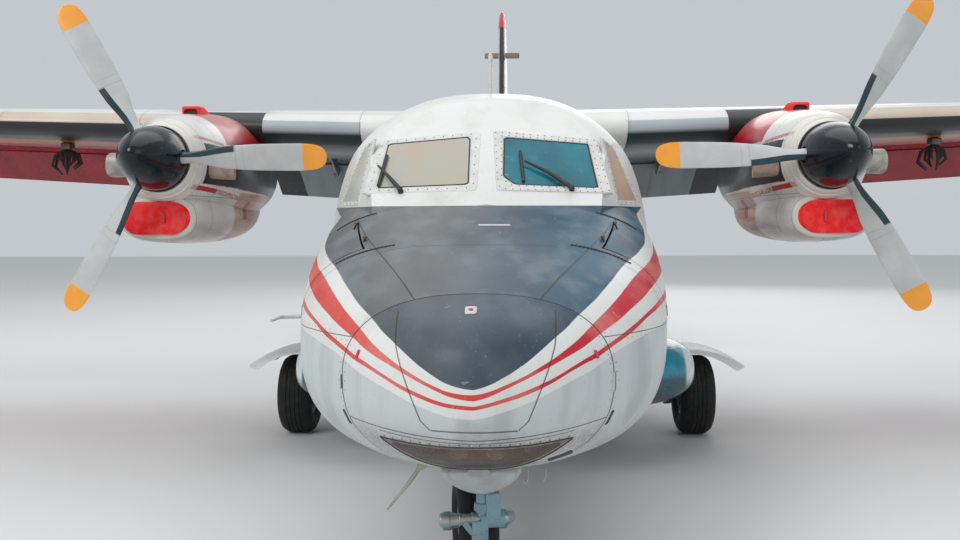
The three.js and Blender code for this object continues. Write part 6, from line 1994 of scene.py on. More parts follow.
@dataclass
class Tail:
    """The fin with its rudder, the tailplane with its elevators, and the ventral fin."""

    fin_rows: tuple = ((2280, 11340, 14300, 0.6), (2620, 11560, 14424, 0.68), (5560, 13060, 14380, 1.0),
        (5740, 13190, 14340, 0.8), (5830, 13420, 14230, 0.3))
    rudder_line: tuple = ((2700, 13480), (5480, 13900))
    rudder_noses: tuple[float, float] = (46.0, 42.0)
    plane_z: float = 3480.0
    plane_rise: float = math.tan(math.radians(7))
    plane_half: float = 3370.0
    plane_leads: tuple[float, float] = (12330.0, 12750.0)
    plane_chords: tuple[float, float] = (1640.0, 950.0)
    gap: float = 8.0
    elevator_span: tuple[float, float] = (330.0, 3180.0)
    elevator_noses: tuple[float, float] = (44.0, 34.0)

    def fin_row(self, z: float) -> tuple[float, float, float]:
        """The leading edge, the trailing edge and the thickness share of the fin at a height."""
        table = np.array(self.fin_rows, float)
        return tuple(float(np.interp(z, table[:, 0], table[:, k])) for k in (1, 2, 3))

    def fin_ring(self, z: float, start: float = 0.0) -> Points:
        """A section of the fin, or of its part behind a share of the chord."""
        lead, trail, scale = self.fin_row(z)
        share, height = aerofoil_line(0.105 * scale, 0.0, start=start).T
        return spot(height * (trail - lead), lead + share * (trail - lead), z)

    def rudder_place(self, z: float) -> tuple[float, float]:
        """The station of the rudder's hinge and the radius of its nose at a height."""
        (z0, s0), (z1, s1) = self.rudder_line
        share = (z - z0) / (z1 - z0)
        return s0 + (s1 - s0) * share, self.rudder_noses[0] + (self.rudder_noses[1]
            - self.rudder_noses[0]) * share

    def fin(self, looks: Looks) -> None:
        """Builds the fin with its dorsal strip, crossbar and beacon, and the rudder."""
        heights = np.concatenate([np.linspace(2280, 5560, 40), [5600, 5650, 5700, 5740, 5775, 5805, 5828]])
        fin = Bench.skin("fin_panel", [self.fin_ring(z) for z in heights])
        rings = []
        for (z, _), out in zip(self.rudder_line, (-self.gap, self.gap)):
            station, radius = self.rudder_place(z)
            front = -radius - self.gap
            rings.append(spot(np.array([-600, 600, 600, -600]), station
                + np.array([front, front, 2000, 2000]), z + out))
        fin = Bench.merge(fin, Bench.skin("rudder_notch", rings), Solid.CUT)
        strip = []
        for station in np.linspace(9900, 11880, 40):
            top = np.interp(station, [9900, 11300, 11900], [2715, 2900, 3060])
            half = 30 * min(1.0, (station - 9860) / 500)
            strip.append(spot(np.array([-half, -half * 0.85, -half * 0.4, half * 0.4, half * 0.85, half]),
                station, np.array([2640, top - 26, top, top, top - 26, 2640])))
        strip = Bench.skin("dorsal_strip", strip)
        dressed(fin, looks.fin, "white_paint", nodes=["fin"])
        dressed(strip, looks.hull, "white_paint")
        bar = Bench.box("fin_crossbar", spot(-300, 12890, 4895), spot(300, 12941, 4990), 0.016)
        dressed(bar, looks.crossbar, "white_paint")
        heights = np.linspace(2700, 5480, 36)
        rings = []
        for z in heights:
            station, radius = self.rudder_place(z)
            lead, trail, _ = self.fin_row(z)
            rear = self.fin_ring(z, (station + 0.75 * radius - lead) / (trail - lead))
            angle = np.linspace(0.36 * np.pi, 1.64 * np.pi, 18)
            rings.append(nosed(rear, spot(radius * np.sin(angle), station + radius * np.cos(angle), z)))
        rudder = Bench.skin("rudder_skin", rings)
        dressed(rudder, looks.fin, "white_paint", "rudder", ["rudder"])
        beacon = Bench.bar("fin_beacon", spot(0, 13830, 5822), spot(0, 13830, 5829), 0.020, 0.017, 24, 0.002)
        dressed(beacon, looks.red_lens, "lamp_glass")

    def plane_row(self, x: float) -> tuple[float, float]:
        """The leading edge and the chord of the tailplane at x."""
        share = x / self.plane_half
        return tuple(root + (tip - root) * share for root, tip in (self.plane_leads, self.plane_chords))

    def plane_ring(self, x: float, start: float = 0.0, scale: float = 1.0) -> Points:
        """A section of the tailplane at x, or of its part behind a share of the chord."""
        along, height = aerofoil_line(0.10 * scale, 0.0, start=start).T
        lead, chord = self.plane_row(x)
        return spot(x, lead + along * chord, self.plane_z + self.plane_rise * x + height * chord)

    def hinge_at(self, x: float) -> tuple[float, float, float]:
        """The station, height and nose radius of the elevator's hinge at x."""
        share = (x - self.elevator_span[0]) / (self.elevator_span[1] - self.elevator_span[0])
        radius = self.elevator_noses[0] + (self.elevator_noses[1] - self.elevator_noses[0]) * share
        return 13396 - 60 * x / self.plane_half, self.plane_z + self.plane_rise * x, radius

    def planes(self, looks: Looks) -> None:
        """Builds the tailplane and the elevators."""
        xs = np.concatenate([np.linspace(25, 3310, 34), [3335, 3352, 3364, 3369]])
        scales = np.interp(xs, [3310, 3335, 3352, 3364, 3370], [1, 0.9, 0.75, 0.52, 0.3])
        port = Bench.skin("port_tailplane_panel", [self.plane_ring(x, 0, k) for x, k in zip(xs, scales)])
        rings = []
        for x, out in zip(self.elevator_span, (-self.gap, self.gap)):
            station, z, radius = self.hinge_at(x)
            front = -radius - self.gap
            rings.append(spot(x + out, station + np.array([front, 2000, 2000, front]), z
                + np.array([-600, -600, 600, 600])))
        port = Bench.merge(port, Bench.skin("elevator_notch", rings), Solid.CUT)
        relief = Bench.box("root_relief", spot(-100, 13440, 3000), spot(350, 14400, 4000))
        port = Bench.merge(port, relief, Solid.CUT)
        both(port, looks.tailplane, "white_paint", nodes=["port_tailplane"])
        rings = []
        for x in np.linspace(*self.elevator_span, 26):
            station, z, radius = self.hinge_at(x)
            lead, chord = self.plane_row(x)
            rear = self.plane_ring(x, (station + 0.75 * radius - lead) / chord)
            angle = np.linspace(0.36 * np.pi, 1.64 * np.pi, 18)
            rings.append(nosed(rear, spot(x, station + radius * np.cos(angle), z + radius * np.sin(angle))))
        port = Bench.skin("port_elevator_skin", rings)
        both(port, looks.tailplane, "white_paint", "port_elevator", ["port_elevator"])

    def ventral(self, looks: Looks) -> None:
        """Builds the fin under the tail."""
        rings = []
        for station in np.linspace(11500, 13440, 36):
            low = np.interp(station, [11500, 12700, 13450], [1485, 1422, 1700])
            high = np.interp(station, [11500, 13300, 13450], [1520, 2000, 1730])
            half = 22 * min(1.0, (station - 11470) / 260, (13480 - station) / 140)
            rings.append(spot(half * np.array([-1, -0.9, -0.3, 0.3, 0.9, 1]), station,
                np.array([high, low + 20, low, low, low + 20, high])))
        keel = Bench.skin("ventral_keel", rings)
        dressed(keel, looks.hull, "white_paint", nodes=["ventral_fin"])


BLACK_EDGE = ((0, 1.228), (0.05, 1.237), (0.14, 1.263), (0.26, 1.306), (0.46, 1.374), (0.73, 1.438),
    (1.05, 1.504), (1.41, 1.581), (1.84, 1.661), (2.3, 1.722), (2.7, 1.778), (3.0, 1.836), (3.35, 1.912),
    (3.68, 1.99), (4, 2.1))
WIDE_TOP = ((0, 1.209), (0.05, 1.214), (0.21, 1.251), (0.40, 1.303), (0.62, 1.357), (0.95, 1.430),
    (1.32, 1.512), (1.78, 1.601), (2.44, 1.683), (2.8, 1.73), (3.2, 1.785), (4, 1.84))
WIDE_LOW = ((0, 1.184), (0.05, 1.193), (0.22, 1.239), (0.45, 1.296), (0.74, 1.348), (1.10, 1.411),
    (1.50, 1.482), (2.03, 1.557), (2.45, 1.595), (3.2, 1.63), (4, 1.63))
THIN_TOP = ((0, 1.163), (0.17, 1.189), (0.37, 1.230), (0.65, 1.289), (1.02, 1.345), (1.36, 1.403),
    (1.78, 1.466), (2.24, 1.507), (2.8, 1.53), (4, 1.53))
THIN_LOW = ((0, 1.147), (0.17, 1.172), (0.34, 1.206), (0.60, 1.265), (0.94, 1.313), (1.31, 1.375),
    (1.66, 1.433), (2.23, 1.476), (2.8, 1.49), (4, 1.49))
GREY_EDGE = ((0, 1.108), (0.13, 1.127), (0.29, 1.161), (0.52, 1.213), (0.83, 1.263), (1.23, 1.329),
    (1.80, 1.375), (2.8, 1.40), (4, 1.40))


@dataclass(frozen=True)
class Painted(Finish):
    """A plain paint with stains, chips and a fine surface."""

    name: str
    colour: str
    stain: str = Tone.GRIME
    rough: float = 0.4
    metal: float = 0.0
    dirt: float = 0.35
    chips: float = 0.05
    scale: float = 4.0

    def build(self, sheet: Sheet) -> bpy.types.Material:
        """Draws the paint on its sheet."""
        cloud = sheet.noise(self.scale, 5)
        fine = sheet.noise(self.scale * 14, 3, at=3.0)
        sheet.base = sheet.blend((cloud - 0.38) * 1.6 * self.dirt, self.colour, self.stain)
        sheet.lay(fine.over(0.56, 0.3) * 0.07, (0.9, 0.9, 0.88))
        spots = sheet.patches(self.scale * 9, self.chips, 0.03, at=7.0)
        sheet.lay(spots * 0.6, self.stain)
        rough = self.rough + (cloud - 0.5) * 0.3 + spots * 0.15
        sheet.bump(fine * 0.4 + spots * -0.6, 0.0012, 0.35)
        return sheet.finish(sheet.base, rough, self.metal)


@dataclass(frozen=True)
class Metal(Finish):
    """Bare or dulled metal with grease and scratches."""

    name: str
    colour: str
    rough: float = 0.38
    stain: str = Tone.RUST
    dirt: float = 0.5
    metal: float = 0.85

    def build(self, sheet: Sheet) -> bpy.types.Material:
        """Draws the metal on its sheet."""
        cloud = sheet.noise(9, 5)
        scratch = sheet.noise(60, 2, (1, 1, 7), at=2.0)
        dirt = sheet.patches(14, 0.3, 0.2, at=5.0) * self.dirt
        sheet.base = sheet.blend(cloud * 0.5, self.colour, tuple(0.5 * c for c in srgb(self.colour)))
        sheet.lay(dirt, self.stain)
        sheet.bump(scratch * 0.5 + dirt * 0.4, 0.0008, 0.4)
        return sheet.finish(sheet.base, self.rough + (cloud - 0.5) * 0.35 + dirt * 0.25, self.metal - dirt
            * 0.7)


class HullLivery(Finish):
    """The white fuselage with its dark deck, red stripes, blue-grey belly, seams and rivets."""

    name = "hull_livery"

    def seams(self, sheet: Sheet) -> None:
        """Draws the panel seams and the rows of rivets beside them."""
        s, z, side = sheet.s, sheet.z, sheet.side
        hoops = Rivets(0.038, 0.0032, 0.02, both=True)
        sheet.joints(s, (0.45,), z, hoops, 0.004)
        sheet.joints(s, (1.13, 3.0, 3.55, 4.36, 6.30, 7.02, 7.80, 9.30, 10.2, 11.15, 12.1), z, hoops)
        for height, first, last in ((1.383, 0.45, 1.20), (2.43, 3.0, 13.2), (1.08, 1.13, 12.0),
                (1.60, 9.3, 13.5)):
            span = s.within(first, last)
            sheet.joints(z, (height,), s, Rivets(0.038, 0.003, 0.016, both=True), 0.002, span, span)
        edge = sheet.curve(z.maths("MINIMUM", 3.9), ((0, 0.0), (1.055, 0.17), (1.09, 0.21), (1.19, 0.25),
            (1.29, 0.29), (1.38, 0.32), (1.46, 0.33), (4.0, 0.33)))
        hatch = sheet.seam(side, edge, 0.003) * z.within(1.055, 1.50) * s.under(0.45)
        hatch = hatch.either(sheet.seam(z, 1.055, 0.003) * side.under(0.17) * s.under(0.45))
        sheet.lines = sheet.lines.either(hatch)

    def locker_gap(self, sheet: Sheet) -> Value:
        """The long seams on the deck beside the lockers."""
        line = sheet.curve(sheet.s.maths("MINIMUM", 3.9), ((0, 0.20), (0.445, 0.267), (1.132, 0.516),
            (1.462, 0.632), (1.896, 0.748), (4.0, 1.3)))
        return sheet.seam(sheet.side, line, 0.0035) * sheet.s.within(0.45, 1.92) * sheet.z.over(1.5)

    def build(self, sheet: Sheet) -> bpy.types.Material:
        """Draws the livery on its sheet."""
        s, z, side = sheet.s, sheet.z, sheet.side
        # A wide fade across the nose from starboard to port; where colours are split by it, the starboard one
        # carries a painted sheen of the light on that side
        port = sheet.x.over(0.08, 0.7)
        lean = (sheet.x * 0.08).maths("MINIMUM", 0.009).maths("MAXIMUM", -0.009)
        height = z - lean + (sheet.noise(9, 2) - 0.5) * 0.003
        across = (side + s).maths("MINIMUM", 3.98)
        bands = [sheet.curve(across, line, "AUTO") for line in (BLACK_EDGE, WIDE_TOP, WIDE_LOW, THIN_TOP,
            THIN_LOW, GREY_EDGE)]
        black_at, wide_top, wide_low, thin_top, thin_low, grey_at = bands
        brink = z - (side - 0.7).maths("MAXIMUM", 0.0) * 0.05
        deck = height.over(black_at, 0.003) * brink.under(1.991, 0.002) * s.under(2.95)
        wide = height.within(wide_low, wide_top, 0.003)
        thin = height.within(thin_low, thin_top, 0.003)
        grey = height.under(grey_at, 0.003)
        cloud, fine = sheet.noise(2.2, 6), sheet.noise(55, 4, at=4.0)
        streak = sheet.noise(5, 5, (1, 1, 0.16), at=9.0)
        white = sheet.blend(cloud.over(0.5, 0.5) * 0.22, Tone.WHITE, "b9b9b2")
        white = sheet.blend(streak.over(0.62, 0.2) * 0.22, white, "a39c8e")
        pale = sheet.blend(cloud.over(0.52, 0.4) * 0.5, Tone.BLUE_GREY, "c4c9c9")
        pale = sheet.blend(streak.over(0.58, 0.2) * 0.4, pale, "7e8587")
        low = height.under(0.98, 0.3) * sheet.noise(7, 5, at=1.5).over(0.5, 0.3)
        pale = sheet.blend(low * 0.45, pale, Tone.GRIME)
        # The stripes are full red on port and paler on starboard, a painted sheen of the light on that side
        red = sheet.blend(port, Tone.FADED, Tone.RED)
        faded = sheet.patches(2.6, 0.35, 0.2, at=2.2)
        red = sheet.blend(faded * 0.55, red, "dd8a80")
        red = sheet.blend(sheet.patches(48, -0.04, 0.05, at=6.0) * 0.3, red, Tone.WHITE)
        sheet.base = sheet.blend(grey, white, pale)
        sheet.lay(thin.either(wide), red)
        # The deck is its own dark teal on port and painted grey with a painted sheen on the lit starboard
        # side; its scuffs take the same split
        shade = sheet.blend(port, Tone.CHARCOAL, Tone.DEEP)
        scuff = sheet.noise(3.0, 6, (1, 0.35, 1), at=12.0).over(0.5, 0.35)
        dusk = sheet.blend(scuff * 0.5, shade, sheet.blend(port, "85847f", "0e5871"))
        haze = sheet.noise(5.5, 7, (1, 0.6, 1), at=21.0).over(0.54, 0.16)
        dusk = sheet.blend(haze * 0.3, dusk, "7f8c92")
        scratch = sheet.noise(26, 5, (1, 0.12, 1), at=8.0).over(0.74, 0.05) * s.over(0.45, 0.2)
        chips = sheet.patches(26, -0.08, 0.03, at=5.0) * s.under(0.45, 0.2) * side.under(0.30, 0.2)
        dusk = sheet.blend(scratch * 0.55, dusk, "9aa5a8")
        dusk = sheet.blend(chips * 0.7, dusk, "aeb6b6")
        strip = abs(sheet.x - 0.055).under(0.085) * abs(s - 1.48).under(0.012) * z.over(1.8)
        dusk = sheet.blend(strip * 0.9, dusk, "cfd2cf")
        # The nose cap's paint, also paler on starboard with a painted sheen
        cap = s.under(0.449)
        dusk = sheet.blend(cap * 0.5, dusk, sheet.blend(port, "323e4c", "001f30"))
        sheet.lay(deck, dusk)
        self.seams(sheet)
        brow = sheet.seam(z - side * 0.047, 1.016, 0.0022) * s.under(0.45)
        sill = sheet.seam(z - side * 0.047, 1.000, 0.0016) * s.under(0.45) * side.under(0.40)
        joints, dots = sheet.lines.either(brow, sill, self.locker_gap(sheet) * deck), sheet.dots
        sheet.lay(dots * sheet.noise(11, 2).over(0.42, 0.3) * 0.75, "4a4640")
        sheet.lay(joints * 0.8, "26231f")
        stain = abs(z - 0.965).under(0.05, 0.08) * s.under(0.5, 0.1) * fine.over(0.45, 0.2)
        sheet.lay(stain * 0.4, Tone.RUST)
        sheet.lay(fine.over(0.68, 0.08) * 0.18, "8a857a")
        exhaust = s.within(3.6, 7.5, 1.6) * side.over(0.9, 0.1) * z.over(1.9, 0.3) * cloud.over(0.4, 0.3)
        sheet.lay(exhaust * 0.22, Tone.SOOT)
        rough = 0.36 + (cloud - 0.5) * 0.3 + deck * 0.14 + scratch * deck * 0.2 + dots * 0.2
        sheet.bump(dots * 0.8 - joints * 1.5 + fine * 0.10 + cloud * 0.6, 0.0022, 0.55)
        return sheet.finish(sheet.base, rough, 0.0, Specular_IOR_Level=0.38, Coat_Weight=0.08,
            Coat_Roughness=0.15)


class WingPaint(Finish):
    """The white wing with its coloured leading edge, dark deicing boots and red underside."""

    name = "wing_paint"

    def build(self, sheet: Sheet) -> bpy.types.Material:
        """Draws the wing's paint on its sheet."""
        side, z, s = sheet.side, sheet.z, sheet.s
        lead = 4.420 + side * 0.03
        aft = s - lead
        rise = z - (2.7 + side * math.tan(math.radians(1.75))) + aft * math.sin(math.radians(2))
        under = rise.under(0.0, 0.02)
        cloud, streak = sheet.noise(2.0, 6), sheet.noise(4, 5, (1, 0.12, 1), at=3.0)
        fine = sheet.noise(50, 3, at=1.0)
        white = sheet.blend(cloud.over(0.5, 0.5) * 0.3, Tone.WHITE, "b4b3ab")
        red = sheet.blend(streak.over(0.5, 0.3) * 0.45, "9c0c22", "62101a")
        red = sheet.blend(sheet.patches(5, 0.2, 0.1, at=8.0) * 0.4, red, "ab2630")
        olive = sheet.blend(streak.over(0.48, 0.3) * 0.6, "2b3130", "171d1f")
        inboard = side.under(2.40)
        belly = sheet.blend(inboard, red, olive)
        sheet.base = sheet.blend(under, white, belly)
        low_side = rise.under(-0.004, 0.006)
        outer = side.over(2.6)
        tan = sheet.blend(cloud.over(0.5, 0.5) * 0.5, "c9b8a4", "a08e7c")
        sheet.lay(aft.under(0.10, 0.02) * rise.over(0.0) * outer * 0.8, tan)
        sheet.lay(aft.under(0.35, 0.01) * side.under(1.13), white)
        # Painted reflection of the ground: an orange-brown band on the red underside behind the leading edge,
        # outboard
        ground_reflection = sheet.blend(streak.over(0.5, 0.3) * 0.5, "a85212", "7f3814")
        sheet.lay(aft.under(0.60, 0.01) * low_side * outer, ground_reflection)
        # Painted shade: a dark brown band on the underside just behind the leading edge, outboard
        dark = sheet.blend(streak.over(0.5, 0.3) * 0.5, "2e241d", "161412")
        sheet.lay(aft.under(0.30, 0.02) * low_side * outer, dark)
        front = aft.under(0.16, 0.003) * side.over(1.13)
        boot = front * low_side.either(side.under(2.6)) * (rise.under(0.055).either(side.over(1.98)))
        black = sheet.blend(cloud.over(0.45, 0.4) * 0.4, "15171a", "2b2f33")
        inner = sheet.blend(cloud.over(0.5, 0.4) * 0.4, "a9b4b9", "8c979c")
        # The inner boot's lower part turns dark teal, painted shade below the leading edge
        inner = sheet.blend(rise.under(-0.045, 0.03), inner, "1a2a2e")
        inner = sheet.blend(side.over(1.98), inner, black)
        sheet.lay(boot, sheet.blend(outer, inner, black))
        rows = Rivets(0.045, 0.0035, 0.02, both=True)
        sheet.joints(side, (1.14, 1.98, 3.05, 4.30, 5.60, 6.85, 8.10, 9.30), aft, rows, 0.0025)
        sheet.joints(aft, (0.16, 0.62, 1.05), side, rows, 0.0025, dot_area=aft.over(0.2))
        lines, dots = sheet.lines, sheet.dots
        sheet.lay(lines * 0.6, "241f1c")
        sheet.lay(dots * 0.5, "4a433c")
        soot = abs(side - ENGINE_X * MM).under(0.46, 0.2) * aft.over(0.2, 0.4) * cloud.over(0.42, 0.3)
        sheet.lay(soot * 0.5, Tone.SOOT)
        rough = 0.4 + (cloud - 0.5) * 0.3 + boot * 0.15
        sheet.bump(dots * 0.6 - lines * 1.2 + fine * 0.12, 0.002, 0.5)
        return sheet.finish(sheet.base, rough, 0.0, Coat_Weight=0.15, Coat_Roughness=0.2)


class FlapPaint(Finish):
    """The flaps: pale grey at the root, dark behind the engines, red further out."""

    name = "flap_paint"

    def build(self, sheet: Sheet) -> bpy.types.Material:
        """Draws the flaps' paint on its sheet."""
        side = sheet.side
        cloud, streak = sheet.noise(3, 6), sheet.noise(5, 5, (1, 0.15, 0.15), at=3.0)
        pale = sheet.blend(streak.over(0.5, 0.3) * 0.5, "8d979a", "5b6466")
        dark = sheet.blend(streak.over(0.5, 0.3) * 0.5, "15181a", "2d3234")
        red = sheet.blend(streak.over(0.5, 0.3) * 0.5, "9c0a1e", "640f18")
        sheet.base = sheet.blend(side.over(2.07), pale, dark)
        sheet.lay(side.over(2.44), red)
        first, *others = [sheet.seam(side, at, 0.002) for at in (1.62, 2.07, 3.00, 3.90, 4.80, 5.45)]
        lines = first.either(*others)
        sheet.lay(lines * 0.6, "1a1817")
        sheet.lay(sheet.patches(30, 0.1, 0.05, at=6.0) * 0.12, "9a968c")
        sheet.bump(cloud * 0.4 - lines, 0.002, 0.4)
        return sheet.finish(sheet.base, 0.45 + (cloud - 0.5) * 0.35, 0.0)


class NacellePaint(Finish):
    """The white nacelle with its red stripes, oily underside and brown tail."""

    name = "nacelle_paint"

    def build(self, sheet: Sheet) -> bpy.types.Material:
        """Draws the nacelle's paint on its sheet."""
        s, z = sheet.s, sheet.z
        off = sheet.side - ENGINE_X * MM
        cloud, streak = sheet.noise(4, 6), sheet.noise(6, 5, (1, 0.14, 1), at=3.0)
        fine = sheet.noise(60, 3, at=1.0)
        sheet.base = sheet.blend(cloud.over(0.48, 0.45) * 0.35, Tone.WHITE, "b6b2a8")
        grime = z.under(2.02, 0.35) * streak.over(0.42, 0.3)
        sheet.lay(grime * 0.5, "8d8478")
        worn = (fine - 0.5) * 0.02 + (cloud - 0.5) * 0.02
        drop = (s - 3.28) * 0.085
        stripe = abs(z - 2.553 + drop).under(0.012, 0.003) * s.within(3.30, 3.66)
        lower = abs(z - 2.186 + drop).under(0.017, 0.003)
        sheet.lay(stripe * 0.75, "a84f50")
        sheet.lay(lower * s.within(3.30, 3.57), "b40f22")
        sheet.lay(lower * s.within(3.57, 4.0) * fine.over(0.44, 0.1), "b5766c")
        top = sheet.blend(z.over(2.68, 0.12), "b4001a", "c06c64")
        rear = s.over(3.715, 0.005) * (z + worn).over(2.53, 0.004)
        sheet.lay(rear, top)
        brown = sheet.blend(fine.over(0.4, 0.5) * streak.over(0.42, 0.3), "c2a08e", "8a4634")
        sheet.lay((s + worn).over(4.0, 0.01) * z.under(2.17, 0.01), brown)
        sheet.lay(s.within(4.23, 4.34, 0.004) * z.within(1.96, 2.11, 0.004), "8e1220")
        black = sheet.blend(streak.over(0.5, 0.3) * 0.5, "07161b", "13272c")
        panel = (z + worn + drop * 0.3).within(2.213, 2.515, 0.006) * s.over(3.37) * abs(off).over(0.16)
        sheet.joints(s, (3.345, 3.55, 3.97, 4.40, 5.05), z, Rivets(0.034, 0.003, 0.018))
        sheet.joints(z, (2.12, 2.50), s, Rivets(0.034, 0.003, 0.016), 0.002, s.over(3.345), s.over(3.36))
        lines, dots = sheet.lines.either(sheet.seam(off, 0.0, 0.0022) * s.over(3.345)), sheet.dots
        sheet.lay(lines * 0.7, "2c2723")
        sheet.lay(dots * 0.6, "4c463f")
        ring = s.under(3.345)
        sheet.lay(ring * 0.5, "d6d0c2")
        soot = s.within(3.62, 5.4, 0.5) * abs(z - 2.40).under(0.13, 0.16) * abs(off).over(0.26, 0.08)
        sheet.lay(soot * (0.45 + streak * 0.5), Tone.SOOT)
        sheet.lay(panel, black)
        oil = streak.over(0.6, 0.1) * s.over(3.5, 0.4) * z.under(2.3, 0.3)
        sheet.lay(oil * 0.35, "4b3a2c")
        sheet.bump(dots * 0.6 - lines * 1.3 + fine * 0.12, 0.002, 0.5)
        return sheet.finish(sheet.base, 0.33 + (cloud - 0.5) * 0.3 + grime * 0.2, 0.0, Coat_Weight=0.3,
            Coat_Roughness=0.12)


@dataclass(frozen=True)
class BladePaint(Finish):
    """Grey propeller blades with orange tips and dark boots on their leading edges."""

    name: str
    sign: float
    turns: tuple

    def build(self, sheet: Sheet) -> bpy.types.Material:
        """Draws the blades' paint on its sheet."""
        dx, dz = sheet.x - self.sign * ENGINE_X * MM, sheet.z - ENGINE_Z * MM
        reach, ahead = None, None
        for degrees in self.turns:
            angle = math.radians(degrees)
            along = dx * math.cos(angle) + dz * math.sin(angle)
            across = dx * -math.sin(angle) + dz * math.cos(angle)
            mine = along.over(0.0) * abs(across).under(0.17)
            ahead = across * mine if ahead is None else ahead + across * mine
            reach = along * mine if reach is None else reach.either(along * mine)
        cloud, fine = sheet.noise(6, 5), sheet.noise(70, 3, at=2.0)
        sheet.base = sheet.blend(cloud.over(0.45, 0.4) * 0.5, "c3c5c4", "a09f9c")
        sheet.lay(fine.over(0.66, 0.1) * 0.1, "77797a")
        tip = sheet.blend(cloud.over(0.5, 0.3) * 0.4, Tone.ORANGE, "e08a24")
        sheet.lay(reach.over(1.08, 0.004), tip)
        edge = sheet.curve(reach, ((0, 0.0), (0.25, 0.0), (0.343, 0.003), (0.52, 0.029), (0.60, 0.038),
            (4, 0.04)))
        front = ahead.over(edge, 0.003) * reach.within(0.20, 0.595, 0.008)
        sheet.lay(front, sheet.blend(cloud.over(0.5, 0.3) * 0.5, "072a33", "123a42"))
        line = sheet.seam(reach, 0.60, 0.004).either(sheet.seam(reach, 0.655, 0.003))
        sheet.lay(line * 0.35, "8a8c8c")
        sheet.bump(fine * 0.1 + front * 0.8, 0.001, 0.4)
        return sheet.finish(sheet.base, 0.36 + (cloud - 0.5) * 0.3, 0.0, Coat_Weight=0.2,
            Coat_Roughness=0.15)


class FinPaint(Finish):
    """The white fin with a dark leading edge and a red cap."""

    name = "fin_paint"

    def build(self, sheet: Sheet) -> bpy.types.Material:
        """Draws the fin's paint on its sheet."""
        s, z = sheet.s, sheet.z
        cloud, streak = sheet.noise(2.5, 6), sheet.noise(5, 5, (1, 1, 0.15), at=3.0)
        sheet.base = sheet.blend(cloud.over(0.48, 0.45) * 0.35, Tone.WHITE, "b4b4ae")
        sheet.lay(streak.over(0.6, 0.2) * 0.25, "8f897e")
        # The cap is full red on port and paler on starboard, a painted sheen of the light on that side
        red = sheet.blend(sheet.x.over(0.0, 0.06), "c42a38", Tone.RED)
        sheet.lay(z.over(5.46, 0.004), red)
        lead = sheet.curve((z - 2.2).maths("MINIMUM", 3.9), ((0, 0.60), (0.42, 0.86), (3.36, 2.36),
            (3.54, 2.49), (3.66, 2.80), (4, 2.9)))
        front = (s - 10.7 - lead).under(0.075, 0.004) * z.within(2.9, 5.46)
        sheet.lay(front, "1c1e20")
        sheet.joints(z, (3.10, 3.70, 4.30, 4.90, 5.40), s, Rivets(0.045, 0.0032, 0.018))
        lines, dots = sheet.lines, sheet.dots
        sheet.lay(lines * 0.6, "35312d")
        sheet.lay(dots * 0.5, "55504a")
        sheet.bump(dots * 0.5 - lines + cloud * 0.4, 0.002, 0.45)
        return sheet.finish(sheet.base, 0.36 + (cloud - 0.5) * 0.3, 0.0, Coat_Weight=0.2,
            Coat_Roughness=0.15)


class Spinner(Finish):
    """Gloss navy-black spinner paint with worn spots."""

    name = "spinner_navy"

    def build(self, sheet: Sheet) -> bpy.types.Material:
        """Draws the spinner's paint on its sheet."""
        cloud, fine = sheet.noise(7, 5), sheet.noise(70, 4, at=2.0)
        sheet.base = sheet.blend(cloud.over(0.5, 0.4) * 0.5, "02080c", "052232")
        worn = sheet.patches(34, -0.06, 0.04, at=4.0)
        sheet.lay(worn * 0.4, "4d5b5e")
        ring = sheet.seam(sheet.s, 3.05, 0.003).either(sheet.seam(sheet.s, 3.19, 0.003))
        sheet.lay(ring * 0.5, "3a4348")
        sheet.bump(worn * -0.5 - ring + fine * 0.15, 0.001, 0.4)
        return sheet.finish(sheet.base, 0.2 + worn * 0.2 + (cloud - 0.5) * 0.12, 0.0,
            Specular_IOR_Level=0.3, Coat_Weight=0.2, Coat_Roughness=0.05)


@dataclass(frozen=True)
class Pane(Finish):
    """An opaque or dark window pane with its own wear."""

    name: str
    colour: str
    other: str
    rough: float
    cracks: float

    def build(self, sheet: Sheet) -> bpy.types.Material:
        """Draws the pane on its sheet."""
        cloud, fine = sheet.noise(4, 5), sheet.noise(24, 5, (1, 1, 0.3), at=2.0)
        sheet.base = sheet.blend(cloud.over(0.5, 0.4) * 0.8, self.colour, self.other)
        lines = sheet.noise(16, 4, (0.25, 1, 1), at=11.0).over(0.66, 0.06) * sheet.x.under(0.34,
            0.14) * self.cracks
        sheet.lay(lines * 0.55, "9fb5bb")
        sheet.lay(fine.over(0.66, 0.1) * 0.10, "b9bfba")
        sheet.bump(lines * -0.6 + cloud * 0.3, 0.001, 0.2)
        rough = self.rough + fine.over(0.6, 0.2) * 0.15 + lines * 0.3
        return sheet.finish(sheet.base, rough, 0.0, Specular_IOR_Level=0.3, Coat_Weight=0.1,
            Coat_Roughness=0.06)


class LampGlass(Finish):
    """Brown translucent plastic over the landing lights."""

    name = "landing_light_plastic"

    def build(self, sheet: Sheet) -> bpy.types.Material:
        """Draws the plastic on its sheet."""
        cloud, fine = sheet.noise(8, 5), sheet.noise(60, 4, at=2.0)
        sheet.base = sheet.blend(cloud.over(0.45, 0.4) * 0.7, "74523a", "38291f")
        sheet.lay(fine.over(0.66, 0.1) * 0.12, "a59882")
        alpha = 0.42 + (cloud - 0.5) * 0.5 + fine.over(0.66, 0.2) * 0.1
        sheet.bump(fine * 0.4, 0.0008, 0.3)
        return sheet.finish(sheet.base, 0.14 + fine * 0.2, 0.0, Alpha=alpha.maths("MINIMUM", 0.95),
            Coat_Weight=0.25, Coat_Roughness=0.05)


